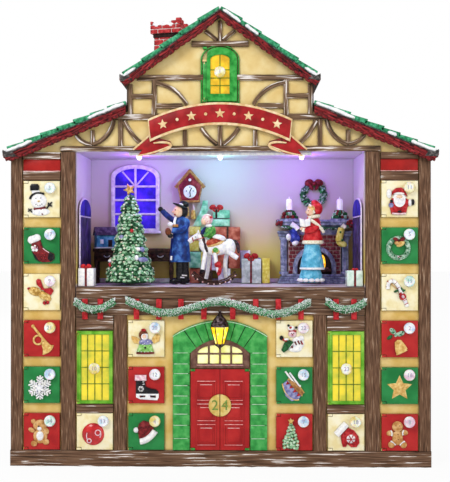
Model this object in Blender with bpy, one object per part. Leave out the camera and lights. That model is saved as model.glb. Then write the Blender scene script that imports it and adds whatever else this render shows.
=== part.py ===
"""Musical advent calendar: a half-timbered house with 25 door leaves over chocolate pockets, a lit stage
whose tree and woman turn and whose horse rocks, three snowy roofs, and a plain back with its battery bay.

Metres, +Z up. The front faces -Y. The origin is the middle of the base, on the surface it stands on."""

import math

import bmesh
import bpy
from mathutils import Matrix, Vector

# Clearances and wall thicknesses
REST_GAP = 0.0003
OVERRUN = 0.004
BITE = 0.0004
SHELL_WALL = 0.0025
TRAY_WALL = 0.0012
FLANGE = 0.0016

# Front layout, from the outer edge inwards
BODY_WIDTH = 0.400
BODY_DEPTH = 0.092
OUTER_POST = 0.0123
BAY_WIDTH = 0.0355
INNER_POST = 0.0152
LOWER_POST = 0.0135
REVEAL = 0.0006
TIMBER_PROUD = 0.0020

# Front layout, from the base upwards
BASE_BEAM = 0.0157
LEAF_HEIGHT = 0.0345
ROW_RAIL = 0.0097
WINDOW_LEAF_HEIGHT = 0.0693
MIDDLE_LEAF_HEIGHT = 0.0768
LEDGE_CLEAR = 0.0052
LOWER_LEDGE = 0.0152
UPPER_LEDGE = 0.0114
STAGE_HEIGHT = 0.1290
HEADER_BEAM = 0.0050
COLUMN_RAIL = 0.0092
RED_PANEL = 0.0116
COLUMN_BEAM = 0.0064
COLUMN_ROWS = 6
LOWER_ROWS = 3

# Roofs
EAVE_DROP = 0.0030
LOWER_ROOF_RISE = 0.0450
GABLE_WALL = 0.0265
GABLE_WIDTH_SHARE = 0.445
UPPER_ROOF_RISE = 0.0635
UPPER_ROOF_THICK = 0.0060
LOWER_ROOF_THICK = 0.0048
SHINGLE_STEP = 0.0022
UPPER_COURSES = 5
LOWER_COURSES = 7
ROOF_OVERHANG = 0.0070
ROOF_TIP = 0.0065
TIP_LIFT = 0.0020
BARGEBOARD_DEPTH = 0.0062
BARGEBOARD_LAP = 0.0030
BARGEBOARD_THICK = 0.0025
SCALLOP = 0.0030
UPPER_SCALLOPS = 6
LOWER_SCALLOPS = 6

# Door leaves and their hinges
LEAF_THICK = 0.0030
LUG_REACH = 0.0040
LUG_HEIGHT = 0.0019
PIN_RADIUS = 0.0007
PIN_LENGTH = 0.0022
BORE_RADIUS = 0.0010
MOUTH_MARGIN = 0.0022
CELL_END = 0.0030
TRAY_DEPTH = 0.0280
MIDDLE_LEAF_WIDTH = 0.0278
GABLE_LEAF_WIDTH = 0.0330
GABLE_LEAF_HEIGHT = 0.0520
GABLE_LEAF_RISE = 0.0120
GABLE_LEAF_SILL = 0.0420
CASING = 0.0034
KNOB_RADIUS = 0.0054
KNOB_NECK = 0.0026
KNOB_NECK_LENGTH = 0.0018
KNOB_THICK = 0.0032
KNOB_INSET = 0.0087
KNOB_DROP = 0.0067
RELIEF = 0.0018
RELIEF_STEP = 0.0002
SASH = 0.0042
MUNTIN = 0.0016
PANE_DEPTH = 0.0010
DISC_RADIUS = 0.0104
DISC_HEIGHT = 0.0024
DISC_RISE = 0.0427
DOOR_PANEL_IN = 0.0034
DOOR_PANEL_OUT = 0.0052
DOOR_PANEL_RIM = 0.0024
DOOR_PANEL_DEPTH = 0.0009

# Stone surround, fanlight and lantern
SURROUND_WIDTH = 0.0170
SURROUND_TOP_WIDTH = 0.0176
SURROUND_RISE = 0.0147
FANLIGHT_HEIGHT = 0.0279
FANLIGHT_RISE = 0.0131
FANLIGHT_SILL = 0.0032
FANLIGHT_FRAME = 0.0060
LANTERN_RADIUS = 0.0088
LANTERN_HEIGHT = 0.0390
LANTERN_ARM = 0.0020
LANTERN_SIDES = 6

# Garlands
GARLAND_RADIUS = 0.0042
GARLAND_BUMP = 0.0006
GARLAND_SAG = 0.0100
SIDE_GARLAND_SAG = 0.0062
GARLAND_RISE = 0.0140
STRAP_WIDTH = 0.0055
STRAP_THICK = 0.0012
STRAP_BELOW = 0.0040

# Banner
BANNER_HALF = 0.0665
BANNER_BAND = 0.0215
BANNER_BOW = 0.0160
BANNER_FOOT = 0.0037
BANNER_THICK = 0.0024
TAIL_THICK = 0.0014
TAIL_LENGTH = 0.0300
TAIL_DROP = 0.0110

# Chimney
CHIMNEY_X = -0.0515
CHIMNEY_WIDTH = 0.0262
CHIMNEY_DEPTH = 0.0200
CHIMNEY_TURN_DEG = -15
CHIMNEY_BELOW_APEX = 0.0100
CHIMNEY_CAP = 0.0085
CHIMNEY_CAP_LIP = 0.0030
CHIMNEY_SNOW = 0.0060

# Stage and what stands in it
STAGE_BACK_ROOM = 0.0070
STAGE_WALL = 0.0015
STAGE_FLOOR = 0.0018
SPINDLE_RADIUS = 0.0020
SPINDLE_HOLE = 0.0025
STEP_UP = 0.0018
TREE_X_SHARE = -0.653285
TREE_FORWARD = 0.0320
TREE_RADIUS_SHARE = 0.1679
TREE_HEIGHT_SHARE = 0.635
STAR_RADIUS = 0.0052
MAN_X_SHARE = -0.3212
MAN_FORWARD = 0.0440
MAN_HEIGHT_SHARE = 0.5839
WOMAN_X_SHARE = 0.653285
WOMAN_FORWARD = 0.0330
WOMAN_HEIGHT_SHARE = 0.5912
HORSE_X_SHARE = -0.047445
HORSE_FORWARD = 0.0330
HORSE_LENGTH_SHARE = 0.3504
ROCKER_RADIUS_SHARE = 0.226277
ROCKER_HALF_ANGLE_DEG = 48
ROCKER_THICK = 0.0022
ROCKER_GAUGE = 0.0130
TAB_WIDTH = 0.0050
TAB_LENGTH = 0.0045
SLOT_HALF = 0.0100
SLOT_WIDTH = 0.0034
TABLE_HEIGHT = 0.0360
TABLE_LENGTH_SHARE = 0.6131
TABLE_DEPTH = 0.0200
TABLE_X_SHARE = -0.6606
HEARTH_X_SHARE = 0.6971
HEARTH_WIDTH_SHARE = 0.5693
HEARTH_HEIGHT = 0.0655
HEARTH_DEPTH = 0.0190
GIFT_STACK_X_SHARE = 0.0584
GIFT_STACK_WIDTH_SHARE = 0.6131
GIFT_STACK_HEIGHT = 0.0780
GIFT_STACK_DEPTH = 0.0180
GIFT_SIDE = 0.0155
GIFT_HEIGHT = 0.0200
GIFT_CLEAR = 0.0085
WALL_WINDOW_X_SHARE = -0.6569
WALL_WINDOW_WIDTH_SHARE = 0.365
WALL_WINDOW_HEIGHT = 0.0580
WALL_WINDOW_RISE = 0.0120
WALL_WINDOW_Z = 0.0530
WALL_RELIEF = 0.0030
CLOCK_X_SHARE = -0.2409
CLOCK_WIDTH = 0.0300
CLOCK_HEIGHT = 0.0310
CLOCK_Z = 0.0870
CLOCK_DEPTH = 0.0080
CLOCK_WEIGHT = 0.0016
CLOCK_WEIGHT_DROP = 0.0210
WREATH_RADIUS = 0.0140
WREATH_TUBE = 0.0056
WREATH_Z = 0.0920
LAMP_BAR_HALF_SHARE = 0.6423
LAMP_BAR_HEIGHT = 0.0030
LAMP_BAR_DEPTH = 0.0060
LAMP_BAR_BACK = 0.0040
LAMP_RADIUS = 0.0024
LAMP_DROP = 0.0040
LAMP_PITCH_SHARE = 0.5693

# Works and back
COVER_THICK = 0.0025
GEARBOX_HALF_SHARE = 0.7664
GEARBOX_DEPTH = 0.0520
GEARBOX_SETBACK = 0.0060
GEARBOX_HEIGHT = 0.0135
MOTOR_RADIUS = 0.0120
MOTOR_LENGTH = 0.0240
MOTOR_X = 0.0200
SPEAKER_X_SHARE = -0.7664
SPEAKER_Z = 0.0900
SPEAKER_RADIUS = 0.0260
SPEAKER_DEPTH = 0.0150
GRILLE_SLOT = 0.0022
GRILLE_PITCH = 0.0055
GRILLE_SLOTS = 7
BOARD_X_SHARE = 0.6934
BOARD_Z = 0.1000
BOARD_WIDTH = 0.0600
BOARD_HEIGHT = 0.0440
BOARD_THICK = 0.0016
BOARD_STANDOFF = 0.0060
STANDOFF_RADIUS = 0.0024
SWITCH_WIDTH = 0.0050
SWITCH_HEIGHT = 0.0036
SWITCH_TRAVEL = 0.0040
SWITCH_FLANGE = 0.0014
SWITCH_PROUD = 0.0020
BATTERY_WIDTH = 0.0600
BATTERY_HEIGHT = 0.0480
BATTERY_DEPTH = 0.0165
BATTERY_Z = 0.0450
BATTERY_DOOR_LAP = 0.0030
BATTERY_DOOR_THICK = 0.0020
BATTERY_RAIL = 0.0022
BATTERY_LIP = 0.0014
BATTERY_SLIDE = 0.0140
BATTERY_GRIP = 0.0012
BATTERY_RIBS = 3

# Counts of sides on round shapes
DISC_SIDES = 7
LIMB_SIDES = 5
PIN_SIDES = 5
KNOB_SIDES = 8
BALL_SIDES = 6
BALL_RINGS = 5
TURNED_SIDES = 10
SPEAKER_SIDES = 16
MOTOR_SIDES = 12
ARC_STEPS = 6
BRACE_STEPS = 4
SCALLOP_STEPS = 3
GARLAND_SIDES = 6
GARLAND_RINGS = 8
RAIL_STEPS = 10
STAR_POINTS = 5
SWAG_COUNT = 2

# Places worked out from the sizes above
HALF = BODY_WIDTH / 2
FACE = -BODY_DEPTH / 2
BACK = BODY_DEPTH / 2
ROW_PITCH = LEAF_HEIGHT + ROW_RAIL
LEAF_WIDTH = BAY_WIDTH - 2 * REVEAL
FIRST_ROW = BASE_BEAM + REVEAL
COLUMN_OUTER = HALF - OUTER_POST
COLUMN_INNER = COLUMN_OUTER - BAY_WIDTH
STAGE_HALF = COLUMN_INNER - INNER_POST
SIDE_INNER = STAGE_HALF - BAY_WIDTH
CENTRE_HALF = SIDE_INNER - LOWER_POST
SEAM_X = (COLUMN_INNER + STAGE_HALF) / 2
LOWER_ROWS_TOP = FIRST_ROW + (LOWER_ROWS - 1) * ROW_PITCH + LEAF_HEIGHT
LEDGE_FOOT = LOWER_ROWS_TOP + LEDGE_CLEAR
LEDGE_SEAM = LEDGE_FOOT + LOWER_LEDGE / 2
STAGE_Z = LEDGE_FOOT + LOWER_LEDGE + UPPER_LEDGE
STAGE_TOP = STAGE_Z + STAGE_HEIGHT
HEADER_TOP = STAGE_TOP + HEADER_BEAM
STAGE_SEAM = STAGE_TOP + HEADER_BEAM / 2
COLUMN_HEAD = FIRST_ROW + (COLUMN_ROWS - 1) * ROW_PITCH + LEAF_HEIGHT + COLUMN_RAIL
COLUMN_SEAM = COLUMN_HEAD + RED_PANEL
COLUMN_TOP = COLUMN_SEAM + COLUMN_BEAM
EAVE = COLUMN_TOP - EAVE_DROP
VALLEY = EAVE + LOWER_ROOF_RISE
GABLE_HALF = GABLE_WIDTH_SHARE * HALF
GABLE_EAVE = VALLEY + GABLE_WALL
APEX = GABLE_EAVE + UPPER_ROOF_RISE
SURROUND_HALF = MIDDLE_LEAF_WIDTH + SURROUND_WIDTH
GABLE_LEAF_Z = HEADER_TOP + GABLE_LEAF_SILL
PIN_OFFSET = LEAF_THICK / 2
LEAF_BACK = FACE - REST_GAP
LEAF_FRONT = LEAF_BACK - LEAF_THICK
TIMBER_BACK = FACE - REST_GAP
TIMBER_FRONT = FACE - TIMBER_PROUD
FLOOR_TOP = STAGE_Z
TREE_X = TREE_X_SHARE * STAGE_HALF
TREE_RADIUS = TREE_RADIUS_SHARE * STAGE_HALF
TREE_HEIGHT = TREE_HEIGHT_SHARE * STAGE_HALF
MAN_X = MAN_X_SHARE * STAGE_HALF
MAN_HEIGHT = MAN_HEIGHT_SHARE * STAGE_HALF
WOMAN_X = WOMAN_X_SHARE * STAGE_HALF
WOMAN_HEIGHT = WOMAN_HEIGHT_SHARE * STAGE_HALF
HORSE_X = HORSE_X_SHARE * STAGE_HALF
HORSE_LENGTH = HORSE_LENGTH_SHARE * STAGE_HALF
ROCKER_RADIUS = ROCKER_RADIUS_SHARE * STAGE_HALF
TABLE_LENGTH = TABLE_LENGTH_SHARE * STAGE_HALF
TABLE_X = TABLE_X_SHARE * STAGE_HALF
HEARTH_X = HEARTH_X_SHARE * STAGE_HALF
HEARTH_WIDTH = HEARTH_WIDTH_SHARE * STAGE_HALF
GIFT_STACK_X = GIFT_STACK_X_SHARE * STAGE_HALF
GIFT_STACK_WIDTH = GIFT_STACK_WIDTH_SHARE * STAGE_HALF
WALL_WINDOW_X = WALL_WINDOW_X_SHARE * STAGE_HALF
WALL_WINDOW_WIDTH = WALL_WINDOW_WIDTH_SHARE * STAGE_HALF
CLOCK_X = CLOCK_X_SHARE * STAGE_HALF
LAMP_BAR_HALF = LAMP_BAR_HALF_SHARE * STAGE_HALF
LAMP_PITCH = LAMP_PITCH_SHARE * STAGE_HALF
GEARBOX_HALF = GEARBOX_HALF_SHARE * STAGE_HALF
SPEAKER_X = SPEAKER_X_SHARE * STAGE_HALF
BOARD_X = BOARD_X_SHARE * STAGE_HALF
GIFT_INSET = STAGE_HALF - GIFT_CLEAR
STAGE_DEPTH = BODY_DEPTH - STAGE_BACK_ROOM
COVER_FRONT = BACK - COVER_THICK
FANLIGHT_FOOT = FIRST_ROW + MIDDLE_LEAF_HEIGHT + REVEAL
OPENING_CROWN = FANLIGHT_FOOT + FANLIGHT_HEIGHT
OPENING_SHOULDER = OPENING_CROWN - FANLIGHT_RISE
SURROUND_CROWN = OPENING_CROWN + SURROUND_TOP_WIDTH
CHIMNEY_TOP = APEX - CHIMNEY_BELOW_APEX


def finish(name, colour, roughness=0.5, metallic=0.0):
    """A Principled material of its own for one piece."""
    made = bpy.data.materials.new(name)
    made.use_nodes = True
    shader = made.node_tree.nodes["Principled BSDF"]
    shader.inputs["Base Color"].default_value = (*colour, 1.0)
    shader.inputs["Roughness"].default_value = roughness
    shader.inputs["Metallic"].default_value = metallic
    return made


def shape_of(bm, name="shape"):
    """A mesh object made from a bmesh, with its faces turned outwards."""
    bmesh.ops.recalc_face_normals(bm, faces=bm.faces)
    mesh = bpy.data.meshes.new(name)
    bm.to_mesh(mesh)
    bm.free()
    made = bpy.data.objects.new(name, mesh)
    bpy.context.collection.objects.link(made)
    return made


def prism(points, front, back):
    """An outline in X and Z, carried along Y from front to back."""
    bm = bmesh.new()
    face = bm.faces.new([bm.verts.new((x, front, z)) for x, z in points])
    carried = bmesh.ops.extrude_face_region(bm, geom=[face])["geom"]
    moved = [item for item in carried if isinstance(item, bmesh.types.BMVert)]
    bmesh.ops.translate(bm, verts=moved, vec=(0, back - front, 0))
    return shape_of(bm)


def box(x0, x1, y0, y1, z0, z1):
    bm = bmesh.new()
    bmesh.ops.create_cube(bm, size=1.0)
    bmesh.ops.scale(bm, verts=bm.verts, vec=(x1 - x0, y1 - y0, z1 - z0))
    bmesh.ops.translate(bm, verts=bm.verts, vec=((x0 + x1) / 2, (y0 + y1) / 2, (z0 + z1) / 2))
    return shape_of(bm)


def limb(start, end, radius, end_radius=None, sides=LIMB_SIDES):
    """A round bar between two points, tapered when the end has its own radius."""
    start, end = Vector(start), Vector(end)
    run = end - start
    bm = bmesh.new()
    bmesh.ops.create_cone(
        bm, cap_ends=True, segments=sides, radius1=radius,
        radius2=radius if end_radius is None else end_radius, depth=run.length,
    )
    turn = run.to_track_quat("Z", "Y").to_matrix().to_4x4()
    bmesh.ops.transform(bm, matrix=Matrix.Translation((start + end) / 2) @ turn, verts=bm.verts)
    return shape_of(bm)


def ball(centre, radii):
    bm = bmesh.new()
    bmesh.ops.create_uvsphere(bm, u_segments=BALL_SIDES, v_segments=BALL_RINGS, radius=1.0)
    bmesh.ops.scale(bm, verts=bm.verts, vec=radii)
    bmesh.ops.translate(bm, verts=bm.verts, vec=centre)
    return shape_of(bm)


def turned(profile, centre, axis="Z", sides=TURNED_SIDES):
    """A solid of revolution. The profile is (radius, distance along the axis), from one end to the other."""
    bm = bmesh.new()
    verts = [bm.verts.new((radius, 0, along)) for radius, along in profile]
    edges = [bm.edges.new(pair) for pair in zip(verts, verts[1:])]
    bmesh.ops.spin(
        bm, geom=verts + edges, axis=(0, 0, 1), cent=(0, 0, 0),
        steps=sides, angle=2 * math.pi, use_merge=True, use_duplicate=False,
    )
    bmesh.ops.remove_doubles(bm, verts=bm.verts, dist=REST_GAP / 10)
    rims = [edge for edge in bm.edges if edge.is_boundary]
    bmesh.ops.holes_fill(bm, edges=rims, sides=0)
    if axis == "-Y":
        bmesh.ops.rotate(bm, verts=bm.verts, cent=(0, 0, 0), matrix=Matrix.Rotation(math.pi / 2, 3, "X"))
    bmesh.ops.translate(bm, verts=bm.verts, vec=centre)
    return shape_of(bm)


def beam(start, end, width, front=TIMBER_FRONT, back=TIMBER_BACK):
    """A straight timber between two points of the facade, seen from the front."""
    (x0, z0), (x1, z1) = start, end
    length = math.hypot(x1 - x0, z1 - z0)
    across = Vector((z0 - z1, x1 - x0)) * (width / 2 / length)
    corners = [
        (x0 + across.x, z0 + across.y), (x0 - across.x, z0 - across.y),
        (x1 - across.x, z1 - across.y), (x1 + across.x, z1 + across.y),
    ]
    return prism(corners, front, back)


def bowed_beam(start, end, width, bow, front=TIMBER_FRONT, back=TIMBER_BACK):
    """A timber grown in a curve: its middle stands off the straight line by bow, to the left of the run."""
    (x0, z0), (x1, z1) = start, end
    length = math.hypot(x1 - x0, z1 - z0)
    away = Vector((z0 - z1, x1 - x0)) / length
    edges = ([], [])
    for step in range(BRACE_STEPS + 1):
        share = step / BRACE_STEPS
        lift = 4 * bow * share * (1 - share)
        for edge, offset in zip(edges, (lift + width / 2, lift - width / 2)):
            edge.append((x0 + (x1 - x0) * share + away.x * offset, z0 + (z1 - z0) * share + away.y * offset))
    return prism(edges[0] + edges[1][::-1], front, back)


def arc(start, end, rise, steps=ARC_STEPS):
    """Points of a round arch from start to end, both at one height, rising by rise in the middle."""
    half = (end[0] - start[0]) / 2
    radius = (half * half + rise * rise) / (2 * rise)
    middle = (start[0] + end[0]) / 2
    reach = math.asin(max(-1.0, min(1.0, half / radius)))
    foot = start[1] + rise - radius
    turns = [reach * (2 * step / steps - 1) for step in range(steps + 1)]
    return [(middle + radius * math.sin(turn), foot + radius * math.cos(turn)) for turn in turns]


def arched(x0, x1, z0, z1, rise, steps=ARC_STEPS):
    """A rectangle whose top edge, at z1, rises in an arch."""
    return [(x0, z0), (x1, z0)] + arc((x1, z1), (x0, z1), rise, steps)


def combined(body, others, operation):
    """The body with the others joined to it or cut from it, and the others removed."""
    group = bpy.data.collections.new("operands")
    bpy.context.scene.collection.children.link(group)
    for other in others:
        for owner in list(other.users_collection):
            owner.objects.unlink(other)
        group.objects.link(other)
    change = body.modifiers.new("combine", "BOOLEAN")
    change.operation = operation
    change.operand_type = "COLLECTION"
    change.collection = group
    change.solver = "EXACT"
    bpy.context.view_layer.update()
    graph = bpy.context.evaluated_depsgraph_get()
    result = bpy.data.meshes.new_from_object(body.evaluated_get(graph))
    body.modifiers.clear()
    body.data = result
    for other in others:
        bpy.data.objects.remove(other)
    bpy.data.collections.remove(group)
    return body


def piece(name, look, shapes, cuts=(), late_cuts=(), origin=(0, 0, 0), smooth=False):
    """One named part: shapes joined, cuts taken out in two rounds, and its origin set where it turns."""
    body = shapes[0]
    for operation, others in (("UNION", shapes[1:]), ("DIFFERENCE", cuts), ("DIFFERENCE", late_cuts)):
        if others:
            body = combined(body, list(others), operation)
    body.name = name
    body.data.name = name
    body.data.transform(Matrix.Translation(-Vector(origin)))
    body.location = origin
    body.data.materials.clear()
    body.data.materials.append(look)
    if smooth:
        body.data.shade_smooth()
        body.data.set_sharp_from_angle(angle=math.radians(40))
    return body


def inset(points, distance):
    """The outline moved inwards by a distance on every side. The points run anticlockwise."""
    moved = []
    for before, here, after in zip(points[-1:] + points[:-1], points, points[1:] + points[:1]):
        a = Vector((here[0] - before[0], here[1] - before[1])).normalized()
        b = Vector((after[0] - here[0], after[1] - here[1])).normalized()
        bisector = Vector((-a.y - b.y, a.x + b.x))
        reach = distance / (bisector.normalized().dot(Vector((-a.y, a.x))))
        moved.append((here[0] + bisector.normalized().x * reach, here[1] + bisector.normalized().y * reach))
    return moved


def house_outline():
    """The body's outline from the front, under the roofs, anticlockwise from the lower left."""
    right = [
        (HALF, 0), (HALF, EAVE - REST_GAP), (GABLE_HALF, VALLEY - REST_GAP),
        (GABLE_HALF, GABLE_EAVE - REST_GAP), (0, APEX - REST_GAP),
    ]
    left = [(-x, z) for x, z in reversed(right[1:-1])]
    return [(-HALF, 0)] + right + left


# Reliefs on the doors. Each row is a shape in shares of the leaf's width and height:
# disc (x, z, radius), oval (x, z, half width, half height), bar (x, z, x, z, width), poly (points).
STAR_WAIST_SHARE = 0.42
STAR_LIFT_SHARE = 0.3


def star_shares(u, v, radius, points=STAR_POINTS, waist=STAR_WAIST_SHARE):
    """A star outline in shares, one point upwards."""
    turns = [math.pi * (0.5 + step / points) for step in range(2 * points)]
    reach = [radius, radius * waist]
    return [(u + reach[i % 2] * math.cos(t), v + reach[i % 2] * math.sin(t)) for i, t in enumerate(turns)]


SNOWMAN_SHARES = (
    ("disc", 0.44, 0.44, 0.20), ("oval", 0.50, 0.16, 0.21, 0.11),
    ("poly", ((0.25, 0.60), (0.40, 0.62), (0.43, 0.92), (0.19, 0.90))),
    ("bar", 0.19, 0.56, 0.36, 0.69, 0.05), ("bar", 0.34, 0.68, 0.56, 0.66, 0.05),
    ("bar", 0.62, 0.20, 0.74, 0.34, 0.05),
    ("bar", 0.34, 0.17, 0.18, 0.19, 0.05),
)
STOCKING_SHARES = (
    ("poly", ((0.09, 0.64), (0.46, 0.75), (0.51, 0.88), (0.15, 0.80))),
    ("poly", (
        (0.22, 0.66), (0.46, 0.73), (0.52, 0.52), (0.74, 0.34), (0.84, 0.16), (0.66, 0.06), (0.40, 0.13),
        (0.30, 0.38)
    )),
    ("disc", 0.34, 0.46, 0.10),
)
BELLS_SHARES = (
    ("oval", 0.36, 0.52, 0.19, 0.12), ("oval", 0.58, 0.40, 0.17, 0.12), ("bar", 0.36, 0.84, 0.50, 0.58, 0.13),
    ("bar", 0.48, 0.58, 0.80, 0.52, 0.16), ("bar", 0.12, 0.56, 0.30, 0.54, 0.08),
    ("bar", 0.56, 0.34, 0.70, 0.20, 0.09),
)
TRUMPET_SHARES = (
    ("bar", 0.18, 0.22, 0.72, 0.62, 0.07), ("poly", ((0.60, 0.60), (0.72, 0.46), (0.90, 0.64), (0.70, 0.78))),
    ("oval", 0.40, 0.30, 0.15, 0.11), ("disc", 0.18, 0.22, 0.06),
)
SNOWFLAKE_SHARES = (
    ("bar", 0.42, 0.10, 0.42, 0.72, 0.09), ("bar", 0.15, 0.26, 0.69, 0.56, 0.09),
    ("bar", 0.15, 0.56, 0.69, 0.26, 0.09),
    ("disc", 0.42, 0.41, 0.12),
)
BEAR_SHARES = (
    ("disc", 0.40, 0.70, 0.17), ("oval", 0.40, 0.38, 0.20, 0.21), ("bar", 0.24, 0.84, 0.56, 0.84, 0.11),
    ("bar", 0.24, 0.12, 0.36, 0.30, 0.17), ("bar", 0.56, 0.12, 0.44, 0.30, 0.17),
    ("bar", 0.12, 0.46, 0.68, 0.46, 0.14),
)
SANTA_SHARES = (
    ("disc", 0.48, 0.48, 0.22), ("oval", 0.46, 0.68, 0.22, 0.14), ("oval", 0.46, 0.17, 0.26, 0.12),
    ("disc", 0.22, 0.62, 0.09),
    ("bar", 0.18, 0.40, 0.26, 0.24, 0.12), ("bar", 0.66, 0.36, 0.88, 0.46, 0.13), ("disc", 0.90, 0.46, 0.08),
)
WREATH_SHARES = (
    ("ring", 0.48, 0.42, 0.32, 0.11), ("oval", 0.46, 0.50, 0.17, 0.10), ("bar", 0.30, 0.54, 0.64, 0.50, 0.12),
)
CANE_SHARES = (
    ("bar", 0.20, 0.80, 0.72, 0.08, 0.09), ("bar", 0.20, 0.60, 0.46, 0.84, 0.07),
    ("oval", 0.32, 0.70, 0.13, 0.09),
    ("oval", 0.60, 0.42, 0.10, 0.09), ("disc", 0.44, 0.48, 0.08), ("disc", 0.68, 0.20, 0.08),
)
BELL_SHARES = (
    ("poly", (
        (0.20, 0.24), (0.66, 0.24), (0.58, 0.36), (0.54, 0.58), (0.43, 0.68), (0.32, 0.58), (0.28, 0.36)
    )),
    ("disc", 0.43, 0.19, 0.09), ("oval", 0.34, 0.72, 0.13, 0.07), ("oval", 0.54, 0.72, 0.13, 0.07),
    ("disc", 0.44, 0.74, 0.07),
)
STAR_SHARES = (("poly", star_shares(0.42, 0.42, 0.36)), ("disc", 0.42, 0.42, 0.10))
GINGERBREAD_SHARES = (
    ("disc", 0.40, 0.74, 0.15), ("oval", 0.40, 0.42, 0.16, 0.22), ("bar", 0.16, 0.52, 0.64, 0.52, 0.14),
    ("bar", 0.34, 0.34, 0.26, 0.10, 0.15), ("bar", 0.46, 0.34, 0.54, 0.10, 0.15),
)
ORNAMENT_SHARES = (
    ("disc", 0.42, 0.38, 0.30), ("bar", 0.42, 0.62, 0.42, 0.76, 0.13), ("disc", 0.42, 0.80, 0.06),
)
MITTEN_SHARES = (
    ("poly", ((0.22, 0.10), (0.56, 0.12), (0.62, 0.36), (0.54, 0.62), (0.24, 0.60), (0.14, 0.34))),
    ("bar", 0.20, 0.68, 0.58, 0.72, 0.16), ("bar", 0.56, 0.34, 0.72, 0.48, 0.13), ("disc", 0.38, 0.34, 0.09),
)
ANGEL_SHARES = (
    ("disc", 0.48, 0.60, 0.13), ("oval", 0.48, 0.42, 0.21, 0.11),
    ("poly", ((0.34, 0.42), (0.62, 0.42), (0.70, 0.12), (0.28, 0.12))),
    ("poly", ((0.08, 0.58), (0.38, 0.52), (0.36, 0.34), (0.16, 0.42))),
    ("poly", ((0.58, 0.52), (0.92, 0.62), (0.84, 0.38), (0.60, 0.34))),
)
SKATE_SHARES = (
    ("bar", 0.20, 0.76, 0.52, 0.76, 0.15),
    ("poly", ((0.24, 0.30), (0.86, 0.30), (0.80, 0.46), (0.52, 0.50), (0.50, 0.72), (0.24, 0.72))),
    ("poly", ((0.24, 0.12), (0.86, 0.12), (0.92, 0.20), (0.86, 0.30), (0.24, 0.30))),
    ("disc", 0.37, 0.44, 0.09),
)
HAT_SHARES = (
    ("poly", ((0.26, 0.30), (0.70, 0.54), (0.66, 0.70), (0.40, 0.78), (0.26, 0.68), (0.28, 0.54))),
    ("bar", 0.30, 0.24, 0.58, 0.36, 0.16), ("bar", 0.54, 0.32, 0.80, 0.56, 0.16), ("disc", 0.22, 0.56, 0.08),
)
REINDEER_SHARES = (
    ("oval", 0.50, 0.62, 0.17, 0.14), ("oval", 0.66, 0.44, 0.17, 0.13), ("oval", 0.58, 0.22, 0.20, 0.13),
    ("bar", 0.38, 0.86, 0.44, 0.70, 0.08), ("bar", 0.57, 0.86, 0.53, 0.72, 0.08),
    ("bar", 0.14, 0.34, 0.44, 0.44, 0.15),
)
DRUM_SHARES = (
    ("poly", ((0.18, 0.66), (0.40, 0.18), (0.56, 0.10), (0.84, 0.22), (0.64, 0.56), (0.36, 0.78))),
    ("bar", 0.26, 0.90, 0.66, 0.50, 0.06), ("bar", 0.42, 0.88, 0.68, 0.54, 0.05),
)
TREE_SHARES = (
    ("poly", (
        (0.20, 0.14), (0.72, 0.14), (0.62, 0.34), (0.66, 0.36), (0.56, 0.56), (0.60, 0.58), (0.46, 0.82),
        (0.32, 0.58), (0.36, 0.56), (0.26, 0.36), (0.30, 0.34)
    )),
    ("poly", star_shares(0.46, 0.86, 0.09)), ("bar", 0.46, 0.06, 0.46, 0.20, 0.10),
)


def relief(shares, x0, z0, width, height):
    """The raised shapes of one door picture, each a little prouder than the one before."""
    shapes = []
    for index, (kind, *values) in enumerate(shares):
        front = LEAF_FRONT - RELIEF - index * RELIEF_STEP
        back = LEAF_FRONT + BITE
        if kind == "bar":
            u0, v0, u1, v1, thick = values
            start, end = (x0 + u0 * width, z0 + v0 * height), (x0 + u1 * width, z0 + v1 * height)
            shapes.append(beam(start, end, thick * width, front, back))
        elif kind == "poly":
            points = [(x0 + u * width, z0 + v * height) for u, v in values[0]]
            shapes.append(prism(points, front, back))
        elif kind == "ring":
            shapes.append(ring_relief(x0 + values[0] * width, z0 + values[1] * height,
                                      values[2] * width, values[3] * width, front, back))
        else:
            u, v, half_width = values[:3]
            half_height = values[3] if kind == "oval" else half_width
            turns = [2 * math.pi * (step + 0.5) / DISC_SIDES for step in range(DISC_SIDES)]
            x, z = x0 + u * width, z0 + v * height
            points = [
                (x + half_width * width * math.cos(t), z + half_height * width * math.sin(t)) for t in turns
            ]
            shapes.append(prism(points, front, back))
    return shapes


def ring_relief(x, z, radius, thick, front, back):
    """A flat ring, as one closed body."""
    bm = bmesh.new()
    turns = [2 * math.pi * step / TURNED_SIDES for step in range(TURNED_SIDES)]
    loops = [
        [bm.verts.new((x + r * math.cos(t), y, z + r * math.sin(t))) for t in turns]
        for r, y in ((radius, front), (radius, back), (radius - thick, back), (radius - thick, front))
    ]
    for inner, outer in zip(loops, loops[1:] + loops[:1]):
        for i in range(TURNED_SIDES):
            j = (i + 1) % TURNED_SIDES
            bm.faces.new((inner[i], inner[j], outer[j], outer[i]))
    return shape_of(bm)


def knob(x, z):
    """A round disc knob on a neck, standing out of the leaf."""
    profile = [
        (KNOB_NECK, -BITE), (KNOB_NECK, KNOB_NECK_LENGTH), (KNOB_RADIUS, KNOB_NECK_LENGTH),
        (KNOB_RADIUS, KNOB_NECK_LENGTH + KNOB_THICK),
    ]
    return turned(profile, (x, LEAF_FRONT, z), axis="-Y", sides=KNOB_SIDES)


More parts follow.
